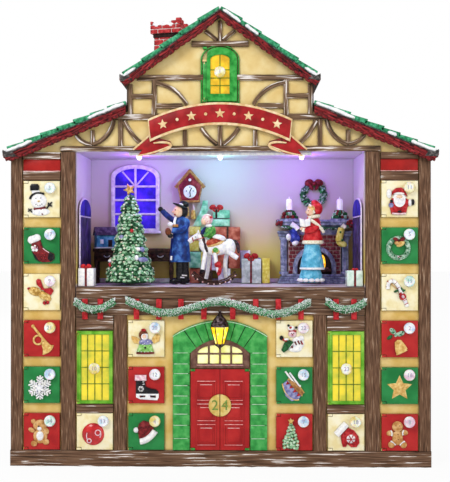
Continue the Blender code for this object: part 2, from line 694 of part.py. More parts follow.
def leaf_board(x0, x1, z0, z1, side):
    """The board: a rectangle seen from above, its hinge edge a half round about the pins."""
    pin_x = x0 + PIN_OFFSET if side > 0 else x1 - PIN_OFFSET
    far_x = x1 if side > 0 else x0
    steps = ARC_STEPS // 2
    pin_y = LEAF_BACK - PIN_OFFSET
    turns = [math.pi * (0.5 + step / steps) for step in range(steps + 1)]
    rounded = [(pin_x + side * PIN_OFFSET * math.cos(t), pin_y + PIN_OFFSET * math.sin(t)) for t in turns]
    profile = rounded + [(far_x, LEAF_FRONT), (far_x, LEAF_BACK)]
    bm = bmesh.new()
    face = bm.faces.new([bm.verts.new((x, y, z0)) for x, y in profile])
    carried = bmesh.ops.extrude_face_region(bm, geom=[face])["geom"]
    moved = [item for item in carried if isinstance(item, bmesh.types.BMVert)]
    bmesh.ops.translate(bm, verts=moved, vec=(0, 0, z1 - z0))
    return shape_of(bm), pin_x


def notch_reach():
    """How far the notch must stay from the pins' axis, so that it turns past the lug."""
    return math.hypot(LUG_REACH - PIN_OFFSET, PIN_OFFSET) + REST_GAP


def leaf(name, look, place, side=1, raised=(), rise=0.0, cuts=(), knob_at="corner"):
    """One door leaf with its relief and knob, on two bores. side is 1 when it hinges on its left edge."""
    x0, x1, z0, z1 = place
    board, pin_x = leaf_board(x0, x1, z0, z1 + rise, side)
    pin_y = LEAF_BACK - PIN_OFFSET
    notch_in = pin_x + side * notch_reach()
    notch_out = pin_x - side * (PIN_OFFSET + OVERRUN)
    low, high = min(notch_in, notch_out), max(notch_in, notch_out)
    front, back = LEAF_FRONT - OVERRUN, LEAF_BACK + OVERRUN
    notches = [
        box(low, high, front, back, z0 - OVERRUN, z0 + LUG_HEIGHT + REST_GAP),
        box(low, high, front, back, z1 - LUG_HEIGHT - REST_GAP, z1 + rise + OVERRUN),
    ]
    bores = [
        limb((pin_x, pin_y, z0), (pin_x, pin_y, z0 + LUG_HEIGHT + REST_GAP + PIN_LENGTH), BORE_RADIUS),
        limb((pin_x, pin_y, z1), (pin_x, pin_y, z1 - LUG_HEIGHT - REST_GAP - PIN_LENGTH), BORE_RADIUS),
    ]
    shapes = [board]
    if knob_at == "corner":
        shapes.append(knob(x1 - KNOB_INSET, z1 - KNOB_DROP))
    elif knob_at == "middle":
        shapes.append(knob((x0 + x1) / 2, (z0 + z1 + rise) / 2))
    if rise:
        crown = z1 + rise + OVERRUN
        above = [(x1 + OVERRUN, crown), (x0 - OVERRUN, crown), (x0 - OVERRUN, z1)]
        cuts = list(cuts) + [prism(above + arc((x0, z1), (x1, z1), rise) + [(x1 + OVERRUN, z1)], front, back)]
    if cuts:
        board = combined(board, list(cuts), "DIFFERENCE")
    return piece(name, look, shapes + list(raised), notches, bores, origin=(pin_x, pin_y, (z0 + z1) / 2))


def lugs(place, side=1):
    """The two hinge lugs of a leaf on its tray, each with its pin."""
    x0, x1, z0, z1 = place
    edge = x0 if side > 0 else x1
    pin_x, pin_y = edge + side * PIN_OFFSET, LEAF_BACK - PIN_OFFSET
    low, high = min(edge, edge + side * LUG_REACH), max(edge, edge + side * LUG_REACH)
    made = []
    for foot, head, tip in (
        (z0, z0 + LUG_HEIGHT, z0 + LUG_HEIGHT + PIN_LENGTH),
        (z1 - LUG_HEIGHT, z1, z1 - LUG_HEIGHT - PIN_LENGTH),
    ):
        made.append(box(low, high, LEAF_FRONT, FACE + BITE, foot, head))
        made.append(limb((pin_x, pin_y, (foot + head) / 2), (pin_x, pin_y, tip), PIN_RADIUS, sides=PIN_SIDES))
    return made


def mouth(place):
    x0, x1, z0, z1 = place
    margin = MOUTH_MARGIN
    return box(x0 + margin, x1 - margin, FACE - OVERRUN, FACE + FLANGE + OVERRUN, z0 + margin, z1 - margin)


def cells(rows, foot, head):
    """The bounds in height of the cells behind rows of leaves, with one thin web between neighbours."""
    webs = [(low[1] + high[0]) / 2 for low, high in zip(rows, rows[1:])]
    feet = [foot] + [web + TRAY_WALL / 2 for web in webs]
    heads = [web - TRAY_WALL / 2 for web in webs] + [head]
    return list(zip(feet, heads))


def column_rows(count):
    return [(FIRST_ROW + row * ROW_PITCH, FIRST_ROW + row * ROW_PITCH + LEAF_HEIGHT) for row in range(count)]


def tray_cells(x0, x1, rows, foot, head):
    back = FACE + TRAY_DEPTH - TRAY_WALL
    return [box(x0, x1, FACE + FLANGE, back, low, high) for low, high in cells(rows, foot, head)]


def column_tray(name, look, middle):
    """Six pockets one above the other, behind a flange that carries the hinge lugs."""
    x0, x1 = middle - LEAF_WIDTH / 2, middle + LEAF_WIDTH / 2
    outer = HALF - SHELL_WALL - REST_GAP
    inner = SEAM_X + REST_GAP / 2
    low, high = (inner, outer) if middle > 0 else (-outer, -inner)
    rows = column_rows(COLUMN_ROWS)
    foot, head = rows[0][0] - CELL_END, rows[-1][1] + CELL_END
    shapes = [
        box(low, high, FACE, FACE + FLANGE, SHELL_WALL + REST_GAP, COLUMN_SEAM - REST_GAP / 2),
        box(x0 - TRAY_WALL, x1 + TRAY_WALL, FACE + BITE, FACE + TRAY_DEPTH,
            foot - TRAY_WALL, head + TRAY_WALL),
    ]
    places = [(x0, x1, bottom, top) for bottom, top in rows]
    for place in places:
        shapes += lugs(place)
    return piece(name, look, shapes, tray_cells(x0, x1, rows, foot, head), [mouth(place) for place in places])


def lower_columns():
    """The five columns of the lower tray: (cell bounds in X, rows of leaves, leaf bounds in X)."""
    side_rows = [
        (FIRST_ROW, FIRST_ROW + LEAF_HEIGHT),
        (FIRST_ROW + ROW_PITCH - REVEAL, FIRST_ROW + ROW_PITCH - REVEAL + WINDOW_LEAF_HEIGHT),
    ]
    centre_rows = column_rows(LOWER_ROWS)
    middle_rows = [(FIRST_ROW, FIRST_ROW + MIDDLE_LEAF_HEIGHT)]
    post = SIDE_INNER - LOWER_POST / 2
    web = (MIDDLE_LEAF_WIDTH + CENTRE_HALF - REVEAL - LEAF_WIDTH) / 2
    outer = SEAM_X - REST_GAP / 2 - TRAY_WALL
    half = TRAY_WALL / 2
    side_leaf = (SIDE_INNER + REVEAL, SIDE_INNER + REVEAL + LEAF_WIDTH)
    centre_leaf = (CENTRE_HALF - REVEAL - LEAF_WIDTH, CENTRE_HALF - REVEAL)

    def mirrored(span):
        return (-span[1], -span[0])

    side_cell, centre_cell = (post + half, outer), (web + half, post - half)
    return [
        (mirrored(side_cell), side_rows, mirrored(side_leaf)),
        (mirrored(centre_cell), centre_rows, mirrored(centre_leaf)),
        ((half - web, web - half), middle_rows, (-MIDDLE_LEAF_WIDTH, MIDDLE_LEAF_WIDTH)),
        (centre_cell, centre_rows, centre_leaf),
        (side_cell, side_rows, side_leaf),
    ]


def lower_tray(look):
    """Eleven pockets in five columns below the stage."""
    edge = SEAM_X - REST_GAP / 2
    foot, head = FIRST_ROW - CELL_END, LOWER_ROWS_TOP + CELL_END
    shapes = [
        box(-edge, edge, FACE, FACE + FLANGE, SHELL_WALL + REST_GAP, LEDGE_SEAM - REST_GAP / 2),
        box(-edge, edge, FACE + BITE, FACE + TRAY_DEPTH, foot - TRAY_WALL, head + TRAY_WALL),
    ]
    cavities, mouths = [], []
    for (cell_0, cell_1), rows, (leaf_0, leaf_1) in lower_columns():
        cavities += tray_cells(cell_0, cell_1, rows, foot, head)
        for low, high in rows:
            place = (leaf_0, leaf_1, low, high)
            mouths.append(mouth(place))
            shapes += lugs(place)
            if leaf_0 == -leaf_1:
                shapes += lugs(place, side=-1)
    return piece("lower_tray", look, shapes, cavities, mouths)


def gable_place():
    half = GABLE_LEAF_WIDTH / 2
    return -half, half, GABLE_LEAF_Z, GABLE_LEAF_Z + GABLE_LEAF_HEIGHT - GABLE_LEAF_RISE


def gable_panel(look):
    """The upper facade, cut to the roofs, with the pocket of the gable window."""
    inner = inset(house_outline(), SHELL_WALL + REST_GAP)
    foot, head = COLUMN_SEAM + REST_GAP / 2, STAGE_SEAM + REST_GAP / 2
    edge = SEAM_X + REST_GAP / 2
    outline = [(-edge, foot), (-edge, head), (edge, head), (edge, foot)]
    right = [point for point in inner if point[0] > 0 and point[1] > foot]
    right.sort(key=lambda point: point[1])
    apex = max(inner, key=lambda point: point[1])
    side = right[0][0]
    outline += [(side, foot)] + right + [apex] + [(-x, z) for x, z in reversed(right)] + [(-side, foot)]
    x0, x1, z0, z1 = gable_place()
    crown = z1 + GABLE_LEAF_RISE / 2
    shapes = [
        prism(outline, FACE, FACE + FLANGE),
        box(x0 - TRAY_WALL, x1 + TRAY_WALL, FACE + BITE, FACE + TRAY_DEPTH,
            z0 - TRAY_WALL, crown + TRAY_WALL),
    ] + lugs(gable_place())
    cavity = box(x0, x1, FACE + FLANGE, FACE + TRAY_DEPTH - TRAY_WALL, z0, crown)
    return piece("gable_panel", look, shapes, [cavity], [mouth(gable_place())])


def timber_frame(look):
    """Posts, base beam, rails and stage ledge of the lower facade, as one frame with open bays."""
    slope = LOWER_ROOF_RISE / (HALF - GABLE_HALF)
    shoulder = HALF - (COLUMN_TOP - EAVE + 2 * REST_GAP) / slope
    right = [
        (HALF, 0), (HALF, EAVE - 2 * REST_GAP), (shoulder, COLUMN_TOP), (COLUMN_INNER, COLUMN_TOP),
        (COLUMN_INNER, STAGE_TOP - REST_GAP), (STAGE_HALF, STAGE_TOP - REST_GAP), (STAGE_HALF, STAGE_Z),
    ]
    outline = [(-x, z) for x, z in reversed(right)] + right
    front, back = TIMBER_FRONT - OVERRUN, TIMBER_BACK + OVERRUN
    rail = FIRST_ROW + LEAF_HEIGHT + REVEAL
    window_foot = FIRST_ROW + ROW_PITCH - 2 * REVEAL
    window_head = window_foot + WINDOW_LEAF_HEIGHT + 2 * REVEAL
    bays = [box(-CENTRE_HALF, CENTRE_HALF, front, back, BASE_BEAM, LEDGE_FOOT)]
    for side in (-1, 1):
        for near, far, foot, head in (
            (COLUMN_INNER, COLUMN_OUTER, BASE_BEAM, COLUMN_HEAD - COLUMN_RAIL + REVEAL),
            (COLUMN_INNER, COLUMN_OUTER, COLUMN_HEAD, COLUMN_SEAM),
            (SIDE_INNER, STAGE_HALF, BASE_BEAM, rail),
            (SIDE_INNER, STAGE_HALF, window_foot, window_head),
        ):
            low, high = sorted((side * near, side * far))
            bays.append(box(low, high, front, back, foot, head))
    return piece("timber_frame", look, [prism(outline, TIMBER_FRONT, TIMBER_BACK)], bays)


# Gable timbers as (x, z) to (x, z) in shares of the gable's half width and of its height over the header,
# with a share of the header beam as the width. Each has a mirror twin, apart from those on the middle line.
# The braces have a fourth value: how far their middle bows, in shares of their own width.
PAIRED_TIMBER_SHARES = (
    ((-0.160, 0.880), (-0.030, 0.768), 0.60), ((-0.205, 0.515), (-0.838, 0.515), 1.10),
    ((-0.704, 0.220), (-0.704, 0.515), 0.95), ((-0.962, 0.215), (-0.962, 0.475), 0.80),
    ((-0.960, 0.365), (-0.700, 0.365), 0.90), ((-1.050, 0.222), (-0.625, 0.222), 1.25),
    ((-0.700, 0.300), (-0.400, 0.300), 0.95),
    ((-1.530, 0.088), (-1.350, 0.010), 0.80),
    ((-1.360, -0.020), (-1.360, 0.128), 0.70), ((-1.062, -0.020), (-1.062, 0.225), 0.80),
    ((-0.200, 0.135), (-0.030, -0.010), 0.80),
    ((-0.376, -0.020), (-0.376, 0.130), 0.80),
)
BRACE_SHARES = (
    ((-0.700, 0.500), (-0.330, 0.312), 0.80, -1.6), ((-1.360, 0.000), (-1.130, 0.170), 0.80, -1.1),
    ((-1.030, 0.200), (-0.830, -0.015), 0.80, -1.0),
)
MIDDLE_TIMBER_SHARES = (
    ((-0.320, 0.768), (0.320, 0.768), 0.95), ((0.000, 0.760), (0.000, 0.945), 0.65),
    ((0.000, -0.020), (0.000, 0.160), 0.65),
)


def gable_timbers(look):
    """The timbering of the upper facade, with the arched casing of the gable window."""
    height = APEX - HEADER_TOP

    def timber(start, end, width):
        return beam(
            (start[0] * GABLE_HALF, HEADER_TOP + start[1] * height),
            (end[0] * GABLE_HALF, HEADER_TOP + end[1] * height), width * HEADER_BEAM,
        )

    header = box(-COLUMN_INNER, COLUMN_INNER, TIMBER_FRONT, TIMBER_BACK, STAGE_TOP, HEADER_TOP)
    shapes = [header] + [timber(*row) for row in MIDDLE_TIMBER_SHARES]
    for start, end, width in PAIRED_TIMBER_SHARES:
        shapes.append(timber(start, end, width))
        shapes.append(timber((-start[0], start[1]), (-end[0], end[1]), width))
    for start, end, width_share, bow_share in BRACE_SHARES:
        width = width_share * HEADER_BEAM
        for side in (-1, 1):
            ends = [(-side * x * GABLE_HALF, HEADER_TOP + z * height) for x, z in (start, end)]
            shapes.append(bowed_beam(*ends, width, -side * bow_share * width))
    x0, x1, z0, z1 = gable_place()
    casing = arched(x0 - CASING, x1 + CASING, z0 - CASING, z1, GABLE_LEAF_RISE + CASING)
    hole = arched(x0 - REVEAL, x1 + REVEAL, z0 - REVEAL, z1, GABLE_LEAF_RISE + REVEAL)
    shapes.append(prism(casing, TIMBER_FRONT, TIMBER_BACK))
    opening = prism(hole, TIMBER_FRONT - OVERRUN, TIMBER_BACK + OVERRUN)
    return piece("gable_timbers", look, shapes, [opening])


def roof_side(inner, outer, steps, thick):
    """Top outline of one slope from its inner, high end to its tip, in courses that step down."""
    (x0, z0), (x1, z1) = inner, outer
    points = []
    for step in range(steps):
        start, end = step / steps, (step + 1) / steps
        head = z0 + (z1 - z0) * start + thick
        foot = z0 + (z1 - z0) * end + thick
        points.append((x0 + (x1 - x0) * start, head))
        points.append((x0 + (x1 - x0) * end, foot + SHINGLE_STEP))
    return points


def scallops(inner, outer, count):
    """Lower edge of a bargeboard from its inner end to its outer end, in round tongues."""
    (x0, z0), (x1, z1) = inner, outer
    points = []
    for step in range(count * SCALLOP_STEPS + 1):
        share = step / (count * SCALLOP_STEPS)
        drop = SCALLOP * abs(math.sin(math.pi * share * count))
        points.append((x0 + (x1 - x0) * share, z0 + (z1 - z0) * share - BARGEBOARD_DEPTH + SCALLOP - drop))
    return points


def upper_roof(look):
    """The main roof: two stepped slopes with lifted tips, and a scalloped board under its front edge."""
    slope = UPPER_ROOF_RISE / GABLE_HALF
    tip = GABLE_HALF + ROOF_TIP
    tip_under = GABLE_EAVE - slope * ROOF_TIP / 2
    right = roof_side((0, APEX), (GABLE_HALF, GABLE_EAVE), UPPER_COURSES, UPPER_ROOF_THICK)
    top = right + [(tip, tip_under + UPPER_ROOF_THICK + TIP_LIFT), (tip, tip_under + TIP_LIFT)]
    under = [(GABLE_HALF, GABLE_EAVE)]
    half = top + under
    outline = [(0, APEX)] + [(-x, z) for x, z in reversed(half)] + half[1:]
    slab = prism(outline, FACE - ROOF_OVERHANG, BACK + ROOF_OVERHANG / 2)
    edge = scallops((0, APEX), (GABLE_HALF, GABLE_EAVE), UPPER_SCALLOPS)
    lap = BARGEBOARD_LAP
    board_half = edge + [(tip, tip_under + TIP_LIFT - lap), (tip, tip_under + TIP_LIFT + lap),
                         (GABLE_HALF, GABLE_EAVE + lap)]
    board = [(0, APEX + lap)] + [(-x, z) for x, z in reversed(board_half)] + board_half[1:]
    front = FACE - ROOF_OVERHANG
    return piece("upper_roof", look, [slab, prism(board, front - BARGEBOARD_THICK, front + BITE)])


def lower_roof(name, look, side):
    """A lower roof between the gable wall and the outer eave, with its own scalloped board."""
    inner_x = GABLE_HALF + REST_GAP
    slope = LOWER_ROOF_RISE / (HALF - GABLE_HALF)
    inner = (inner_x, VALLEY - slope * REST_GAP)
    outer = (HALF, EAVE)
    tip = HALF + ROOF_TIP
    tip_under = EAVE - slope * ROOF_TIP / 2
    top = roof_side(inner, outer, LOWER_COURSES, LOWER_ROOF_THICK)
    tip_foot = tip_under + TIP_LIFT
    outline = [inner] + top + [(tip, tip_foot + LOWER_ROOF_THICK), (tip, tip_foot), outer]
    edge = scallops(inner, outer, LOWER_SCALLOPS)
    lap = BARGEBOARD_LAP
    board = [(inner[0], inner[1] + lap)] + edge
    board += [(tip, tip_foot - lap), (tip, tip_foot + lap), (outer[0], outer[1] + lap)]
    front = FACE - ROOF_OVERHANG

    def sided(points):
        return [(side * x, z) for x, z in points]

    slab = prism(sided(outline), front, BACK + ROOF_OVERHANG / 2)
    return piece(name, look, [slab, prism(sided(board), front - BARGEBOARD_THICK, front + BITE)])


def chimney(look):
    """A brick stack with its cap and snow, cut to the slope that it stands on."""
    half, deep = CHIMNEY_WIDTH / 2, CHIMNEY_DEPTH / 2
    x0, x1 = CHIMNEY_X - half, CHIMNEY_X + half
    slope = UPPER_ROOF_RISE / GABLE_HALF
    over = UPPER_ROOF_THICK + SHINGLE_STEP + REST_GAP
    left, right = x0 - deep, x1 + deep
    foot = [
        (left, APEX + slope * left + over), (right, APEX + slope * right + over),
        (right, GABLE_EAVE), (left, GABLE_EAVE),
    ]
    lip = CHIMNEY_CAP_LIP
    cap_top = CHIMNEY_TOP + CHIMNEY_CAP
    shapes = [
        box(x0, x1, -deep, deep, GABLE_EAVE, CHIMNEY_TOP + BITE),
        box(x0 - lip, x1 + lip, -deep - lip, deep + lip, CHIMNEY_TOP, cap_top),
        prism(arched(x0 - lip, x1 + lip, cap_top - BITE, cap_top, CHIMNEY_SNOW), -deep - lip, deep + lip),
    ]
    turn = Matrix.Rotation(math.radians(CHIMNEY_TURN_DEG), 4, "Z")
    middle = Matrix.Translation((CHIMNEY_X, 0, 0))
    for shape in shapes:
        shape.data.transform(middle @ turn @ middle.inverted())
    return piece("chimney", look, shapes, [prism(foot, -deep - half, deep + half)])


def banner(look):
    """A bowed band with a folded tail at each end."""
    foot = HEADER_TOP + BANNER_FOOT
    low = arc((-BANNER_HALF, foot), (BANNER_HALF, foot), BANNER_BOW)
    high = [(x, z + BANNER_BAND) for x, z in reversed(low)]
    back = TIMBER_FRONT - REST_GAP
    mid = back - TAIL_THICK
    shapes = [prism(low + high, mid - BANNER_THICK, mid + BITE)]
    for side in (-1, 1):
        near, far = side * (BANNER_HALF - TAIL_LENGTH / 2), side * (BANNER_HALF + TAIL_LENGTH / 2)
        notch = side * (BANNER_HALF + TAIL_LENGTH / 3)
        high_edge = foot + BANNER_BAND / 2
        tail = [
            (near, foot + BITE), (far, foot - TAIL_DROP), (notch, foot - BITE),
            (far, foot + TAIL_DROP / 2), (near, high_edge),
        ]
        shapes.append(prism(tail, mid, back))
    return piece("banner", look, shapes)


def door_surround(look):
    """The stone arch round door 24."""
    outer, inner = SURROUND_HALF, MIDDLE_LEAF_WIDTH + REVEAL
    foot = BASE_BEAM + REST_GAP
    shape = prism(
        arched(-outer, outer, foot, SURROUND_CROWN - SURROUND_RISE, SURROUND_RISE), TIMBER_FRONT, TIMBER_BACK
    )
    opening = arched(-inner, inner, foot - OVERRUN, OPENING_SHOULDER, FANLIGHT_RISE)
    hole = prism(opening, TIMBER_FRONT - OVERRUN, TIMBER_BACK + OVERRUN)
    return piece("door_surround", look, [shape], [hole])


def fanlight(look):
    """The arched window over door 24, with two rows of four panes."""
    half = MIDDLE_LEAF_WIDTH + REVEAL - REST_GAP
    foot = FANLIGHT_FOOT
    body = prism(
        arched(-half, half, foot, OPENING_SHOULDER, FANLIGHT_RISE - REST_GAP),
        TIMBER_FRONT, TIMBER_BACK,
    )
    columns, rows = 4, 2
    x0, x1 = -half + FANLIGHT_FRAME, half - FANLIGHT_FRAME
    z0, z1 = foot + FANLIGHT_SILL, OPENING_CROWN - FANLIGHT_SILL
    width, height = (x1 - x0 + MUNTIN) / columns, (z1 - z0 + MUNTIN) / rows
    panes = [
        box(x0 + i * width, x0 + (i + 1) * width - MUNTIN, TIMBER_FRONT - OVERRUN, TIMBER_FRONT + PANE_DEPTH,
            z0 + j * height, z0 + (j + 1) * height - MUNTIN)
        for i in range(columns) for j in range(rows)
    ]
    return piece("fanlight", look, [body], panes)


LANTERN_SHARES = (
    (0.00, 0.00), (0.14, 0.04), (0.10, 0.10), (0.44, 0.13), (0.48, 0.17), (0.95, 0.56), (1.00, 0.60),
    (0.90, 0.66), (0.40, 0.80), (0.16, 0.86), (0.18, 0.93), (0.00, 1.00),
)

def lantern(look):
    """The hanging lantern over the door, on a short arm from the ledge."""
    top = STAGE_Z - UPPER_LEDGE - LOWER_LEDGE + LANTERN_ARM * 3
    foot = top - LANTERN_HEIGHT
    back = TIMBER_FRONT - REST_GAP
    y = back - LANTERN_RADIUS
    profile = [(radius * LANTERN_RADIUS, foot + along * LANTERN_HEIGHT) for radius, along in LANTERN_SHARES]
    arm = box(-LANTERN_ARM / 2, LANTERN_ARM / 2, y, back, top - 2 * LANTERN_ARM, top - LANTERN_ARM)
    return piece("lantern", look, [turned(profile, (0, y, 0), sides=LANTERN_SIDES), arm])


def garland_tube(route):
    """A bushy tube along a route, its radius swelling and shrinking from ring to ring."""
    bm = bmesh.new()
    rings = []
    for index, centre in enumerate(route):
        before, after = route[max(index - 1, 0)], route[min(index + 1, len(route) - 1)]
        along = (after - before).normalized()
        side = Vector((0, 1, 0))
        up = along.cross(side)
        radius = GARLAND_RADIUS + (GARLAND_BUMP if index % 2 else -GARLAND_BUMP)
        rings.append([
            bm.verts.new(centre + radius * (math.cos(t) * side + math.sin(t) * up))
            for t in (2 * math.pi * step / GARLAND_SIDES for step in range(GARLAND_SIDES))
        ])
    for first, second in zip(rings, rings[1:]):
        for i in range(GARLAND_SIDES):
            j = (i + 1) % GARLAND_SIDES
            bm.faces.new((first[i], first[j], second[j], second[i]))
    bm.faces.new(rings[0])
    bm.faces.new(reversed(rings[-1]))
    return shape_of(bm)


# Where each garland hangs from and where its straps are, in shares of half its span
CENTRE_STRAP_SHARES = (-0.93, -0.68, -0.43, -0.165, 0.145, 0.40, 0.65, 0.90)
SIDE_STRAP_SHARES = (-0.45, 0.40)


def garland(name, look, x0, x1, sag, swags, strap_shares):
    """One garland in front of the ledge, sagging in swags, with its red straps behind it."""
    y = TIMBER_FRONT - REST_GAP - STRAP_THICK - GARLAND_RADIUS + BITE * 2
    hang = LEDGE_FOOT + GARLAND_RISE
    route = []
    for step in range(GARLAND_RINGS * swags + 1):
        share = step / (GARLAND_RINGS * swags)
        dip = sag * math.sin(math.pi * ((share * swags) % 1.0))
        route.append(Vector((x0 + (x1 - x0) * share, y, hang - dip)))
    middle, half = (x0 + x1) / 2, (x1 - x0) / 2
    back = TIMBER_FRONT - REST_GAP
    straps = [
        box(middle + share * half - STRAP_WIDTH / 2, middle + share * half + STRAP_WIDTH / 2,
            back - STRAP_THICK, back, LEDGE_FOOT - STRAP_BELOW, hang + STRAP_WIDTH / 2)
        for share in strap_shares
    ]
    return piece(name, look, [garland_tube(route)] + straps)


def cabinet_shell(look):
    """The walls, floor and ceiling of the house as one ring, open at the front and the back."""
    outline = house_outline()
    ring = prism(outline, FACE, COVER_FRONT - REST_GAP)
    hollow = prism(inset(outline, SHELL_WALL), FACE - OVERRUN, COVER_FRONT + OVERRUN)
    return piece("cabinet_shell", look, [ring], [hollow])


def battery_span():
    lap = BATTERY_DOOR_LAP
    return (
        -BATTERY_WIDTH / 2 - lap, BATTERY_WIDTH / 2 + lap,
        BATTERY_Z - BATTERY_HEIGHT / 2 - lap, BATTERY_Z + BATTERY_HEIGHT / 2 + lap,
    )


def switch_place():
    """The slot of the power switch: middle in X and Z."""
    return BOARD_X - BOARD_WIDTH / 4, BOARD_Z


BOARD_POST_SHARES = (0.42, 0.38)


def back_cover(look):
    """The back, with its battery bay and rails, speaker grille, board posts and switch slot."""
    front, back = COVER_FRONT, BACK
    half_w, half_h, wall = BATTERY_WIDTH / 2, BATTERY_HEIGHT / 2, SHELL_WALL / 2
    shapes = [
        prism(house_outline(), front, back),
        box(-half_w - wall, half_w + wall, back - BATTERY_DEPTH - wall, front + BITE,
            BATTERY_Z - half_h - wall, BATTERY_Z + half_h + wall),
    ]
    x0, x1, z0, z1 = battery_span()
    rail_back = back + REST_GAP + BATTERY_DOOR_THICK + REST_GAP
    foot = z0 - BATTERY_SLIDE / 2
    for side in (-1, 1):
        inner = side * (x1 + REST_GAP)
        outer = side * (x1 + REST_GAP + BATTERY_RAIL)
        lip = side * (x1 - BATTERY_RAIL)
        low, high = sorted((inner, outer))
        shapes.append(box(low, high, back - BITE, rail_back + BATTERY_LIP, foot, z1))
        low, high = sorted((lip, outer))
        shapes.append(box(low, high, rail_back, rail_back + BATTERY_LIP, foot, z1))
    for i in (-1, 1):
        for j in (-1, 1):
            x = BOARD_X + i * BOARD_WIDTH * BOARD_POST_SHARES[0]
            z = BOARD_Z + j * BOARD_HEIGHT * BOARD_POST_SHARES[1]
            shapes.append(limb((x, front + BITE, z), (x, front - BOARD_STANDOFF, z), STANDOFF_RADIUS))
    bay = box(-half_w, half_w, back - BATTERY_DEPTH, back + OVERRUN, BATTERY_Z - half_h, BATTERY_Z + half_h)
    cuts = [bay]
    x, z = switch_place()
    run = (SWITCH_WIDTH + SWITCH_TRAVEL) / 2 + REST_GAP
    tall = SWITCH_HEIGHT / 2 + REST_GAP
    cuts.append(box(x - run, x + run, front - OVERRUN, back + OVERRUN, z - tall, z + tall))
    for slot in range(GRILLE_SLOTS):
        offset = (slot - (GRILLE_SLOTS - 1) / 2) * GRILLE_PITCH
        reach = math.sqrt(SPEAKER_RADIUS ** 2 - offset ** 2) - GRILLE_SLOT * 2
        z = SPEAKER_Z + offset
        cuts.append(box(SPEAKER_X - reach, SPEAKER_X + reach, front - OVERRUN, back + OVERRUN,
                        z - GRILLE_SLOT / 2, z + GRILLE_SLOT / 2))
    return piece("back_cover", look, shapes, cuts)


def battery_door(look):
    """The sliding door of the battery bay, with finger ribs."""
    x0, x1, z0, z1 = battery_span()
    front = BACK + REST_GAP
    back = front + BATTERY_DOOR_THICK
    shapes = [box(x0, x1, front, back, z0, z1)]
    for rib in range(BATTERY_RIBS):
        z = z1 - BATTERY_RAIL * (2 + 2 * rib)
        half = BATTERY_GRIP / 2
        shapes.append(box(x0 / 2, x1 / 2, back - BITE, back + BATTERY_GRIP, z - half, z + half))
    return piece("battery_door", look, shapes, origin=(0, front, (z0 + z1) / 2))


def power_switch(look):
    """A slider knob through the back, with a flange that keeps it in."""
    x, z = switch_place()
    x -= SWITCH_TRAVEL / 2
    half_w, half_h = SWITCH_WIDTH / 2, SWITCH_HEIGHT / 2
    flange_back = COVER_FRONT - REST_GAP
    shapes = [
        box(x - half_w, x + half_w, flange_back - SWITCH_FLANGE / 2, BACK + SWITCH_PROUD,
            z - half_h, z + half_h),
        box(x - SWITCH_WIDTH, x + SWITCH_WIDTH, flange_back - SWITCH_FLANGE, flange_back,
            z - SWITCH_HEIGHT, z + SWITCH_HEIGHT),
    ]
    return piece("power_switch", look, shapes, origin=(x, BACK, z))


# Component blocks on the board: middle in X and Z, size in X and Z, in shares of the board, and height
# in shares of the standoff
COMPONENT_SHARES = (
    (0.10, 0.18, 0.20, 0.26, 0.60), (0.25, -0.25, 0.14, 0.18, 0.80), (-0.05, -0.22, 0.10, 0.30, 0.55),
    (-0.32, -0.28, 0.16, 0.14, 0.50),
)


def circuit_board(look):
    """The sound board on its posts, with the switch housing and a few components."""
    back = COVER_FRONT - BOARD_STANDOFF - REST_GAP
    front = back - BOARD_THICK
    half_w, half_h = BOARD_WIDTH / 2, BOARD_HEIGHT / 2
    shapes = [box(BOARD_X - half_w, BOARD_X + half_w, front, back, BOARD_Z - half_h, BOARD_Z + half_h)]
    for u, v, wide, tall, deep in COMPONENT_SHARES:
        x, z = BOARD_X + u * BOARD_WIDTH, BOARD_Z + v * BOARD_HEIGHT
        w, h = wide * BOARD_WIDTH / 2, tall * BOARD_HEIGHT / 2
        shapes.append(box(x - w, x + w, front - deep * BOARD_STANDOFF, front + BITE, z - h, z + h))
    x, z = switch_place()
    housing = COVER_FRONT - REST_GAP - SWITCH_FLANGE - REST_GAP
    wide, tall = SWITCH_WIDTH, SWITCH_HEIGHT
    shapes.append(box(x - wide, x + wide, back - BITE, housing, z - tall, z + tall))
    return piece("circuit_board", look, shapes)


SPEAKER_SHARES = ((0.45, 0.0), (0.45, 0.35), (0.60, 0.42), (0.96, 0.85), (1.00, 0.88), (1.00, 1.0))


def speaker(look):
    """The loudspeaker, its rim against the inside of the grille."""
    rim = COVER_FRONT - REST_GAP
    profile = [
        (radius * SPEAKER_RADIUS, (1 - along) * SPEAKER_DEPTH) for radius, along in reversed(SPEAKER_SHARES)
    ]
    cone = turned(profile, (SPEAKER_X, rim, SPEAKER_Z), axis="-Y", sides=SPEAKER_SIDES)
    return piece("speaker", look, [cone], smooth=True)


def drive_unit(look):
    """The sealed gear case under the stage floor, with its motor."""
    top = FLOOR_TOP - STAGE_FLOOR - REST_GAP
    foot = top - GEARBOX_HEIGHT
    y0 = FACE + GEARBOX_SETBACK
    y1 = y0 + GEARBOX_DEPTH
    motor_z = foot - MOTOR_RADIUS / 2
    motor_y = y1 - MOTOR_RADIUS
    near, far = (MOTOR_X - MOTOR_LENGTH, motor_y, motor_z), (MOTOR_X + MOTOR_LENGTH, motor_y, motor_z)
    shapes = [
        box(-GEARBOX_HALF, GEARBOX_HALF, y0, y1, foot, top), limb(near, far, MOTOR_RADIUS, sides=MOTOR_SIDES),
    ]
    x, y = HORSE_X, FACE + HORSE_FORWARD
    well = box(x - SLOT_HALF, x + SLOT_HALF, y - SLOT_WIDTH, y + SLOT_WIDTH, top - TAB_LENGTH, top + OVERRUN)
    return piece("drive_unit", look, shapes, [well])


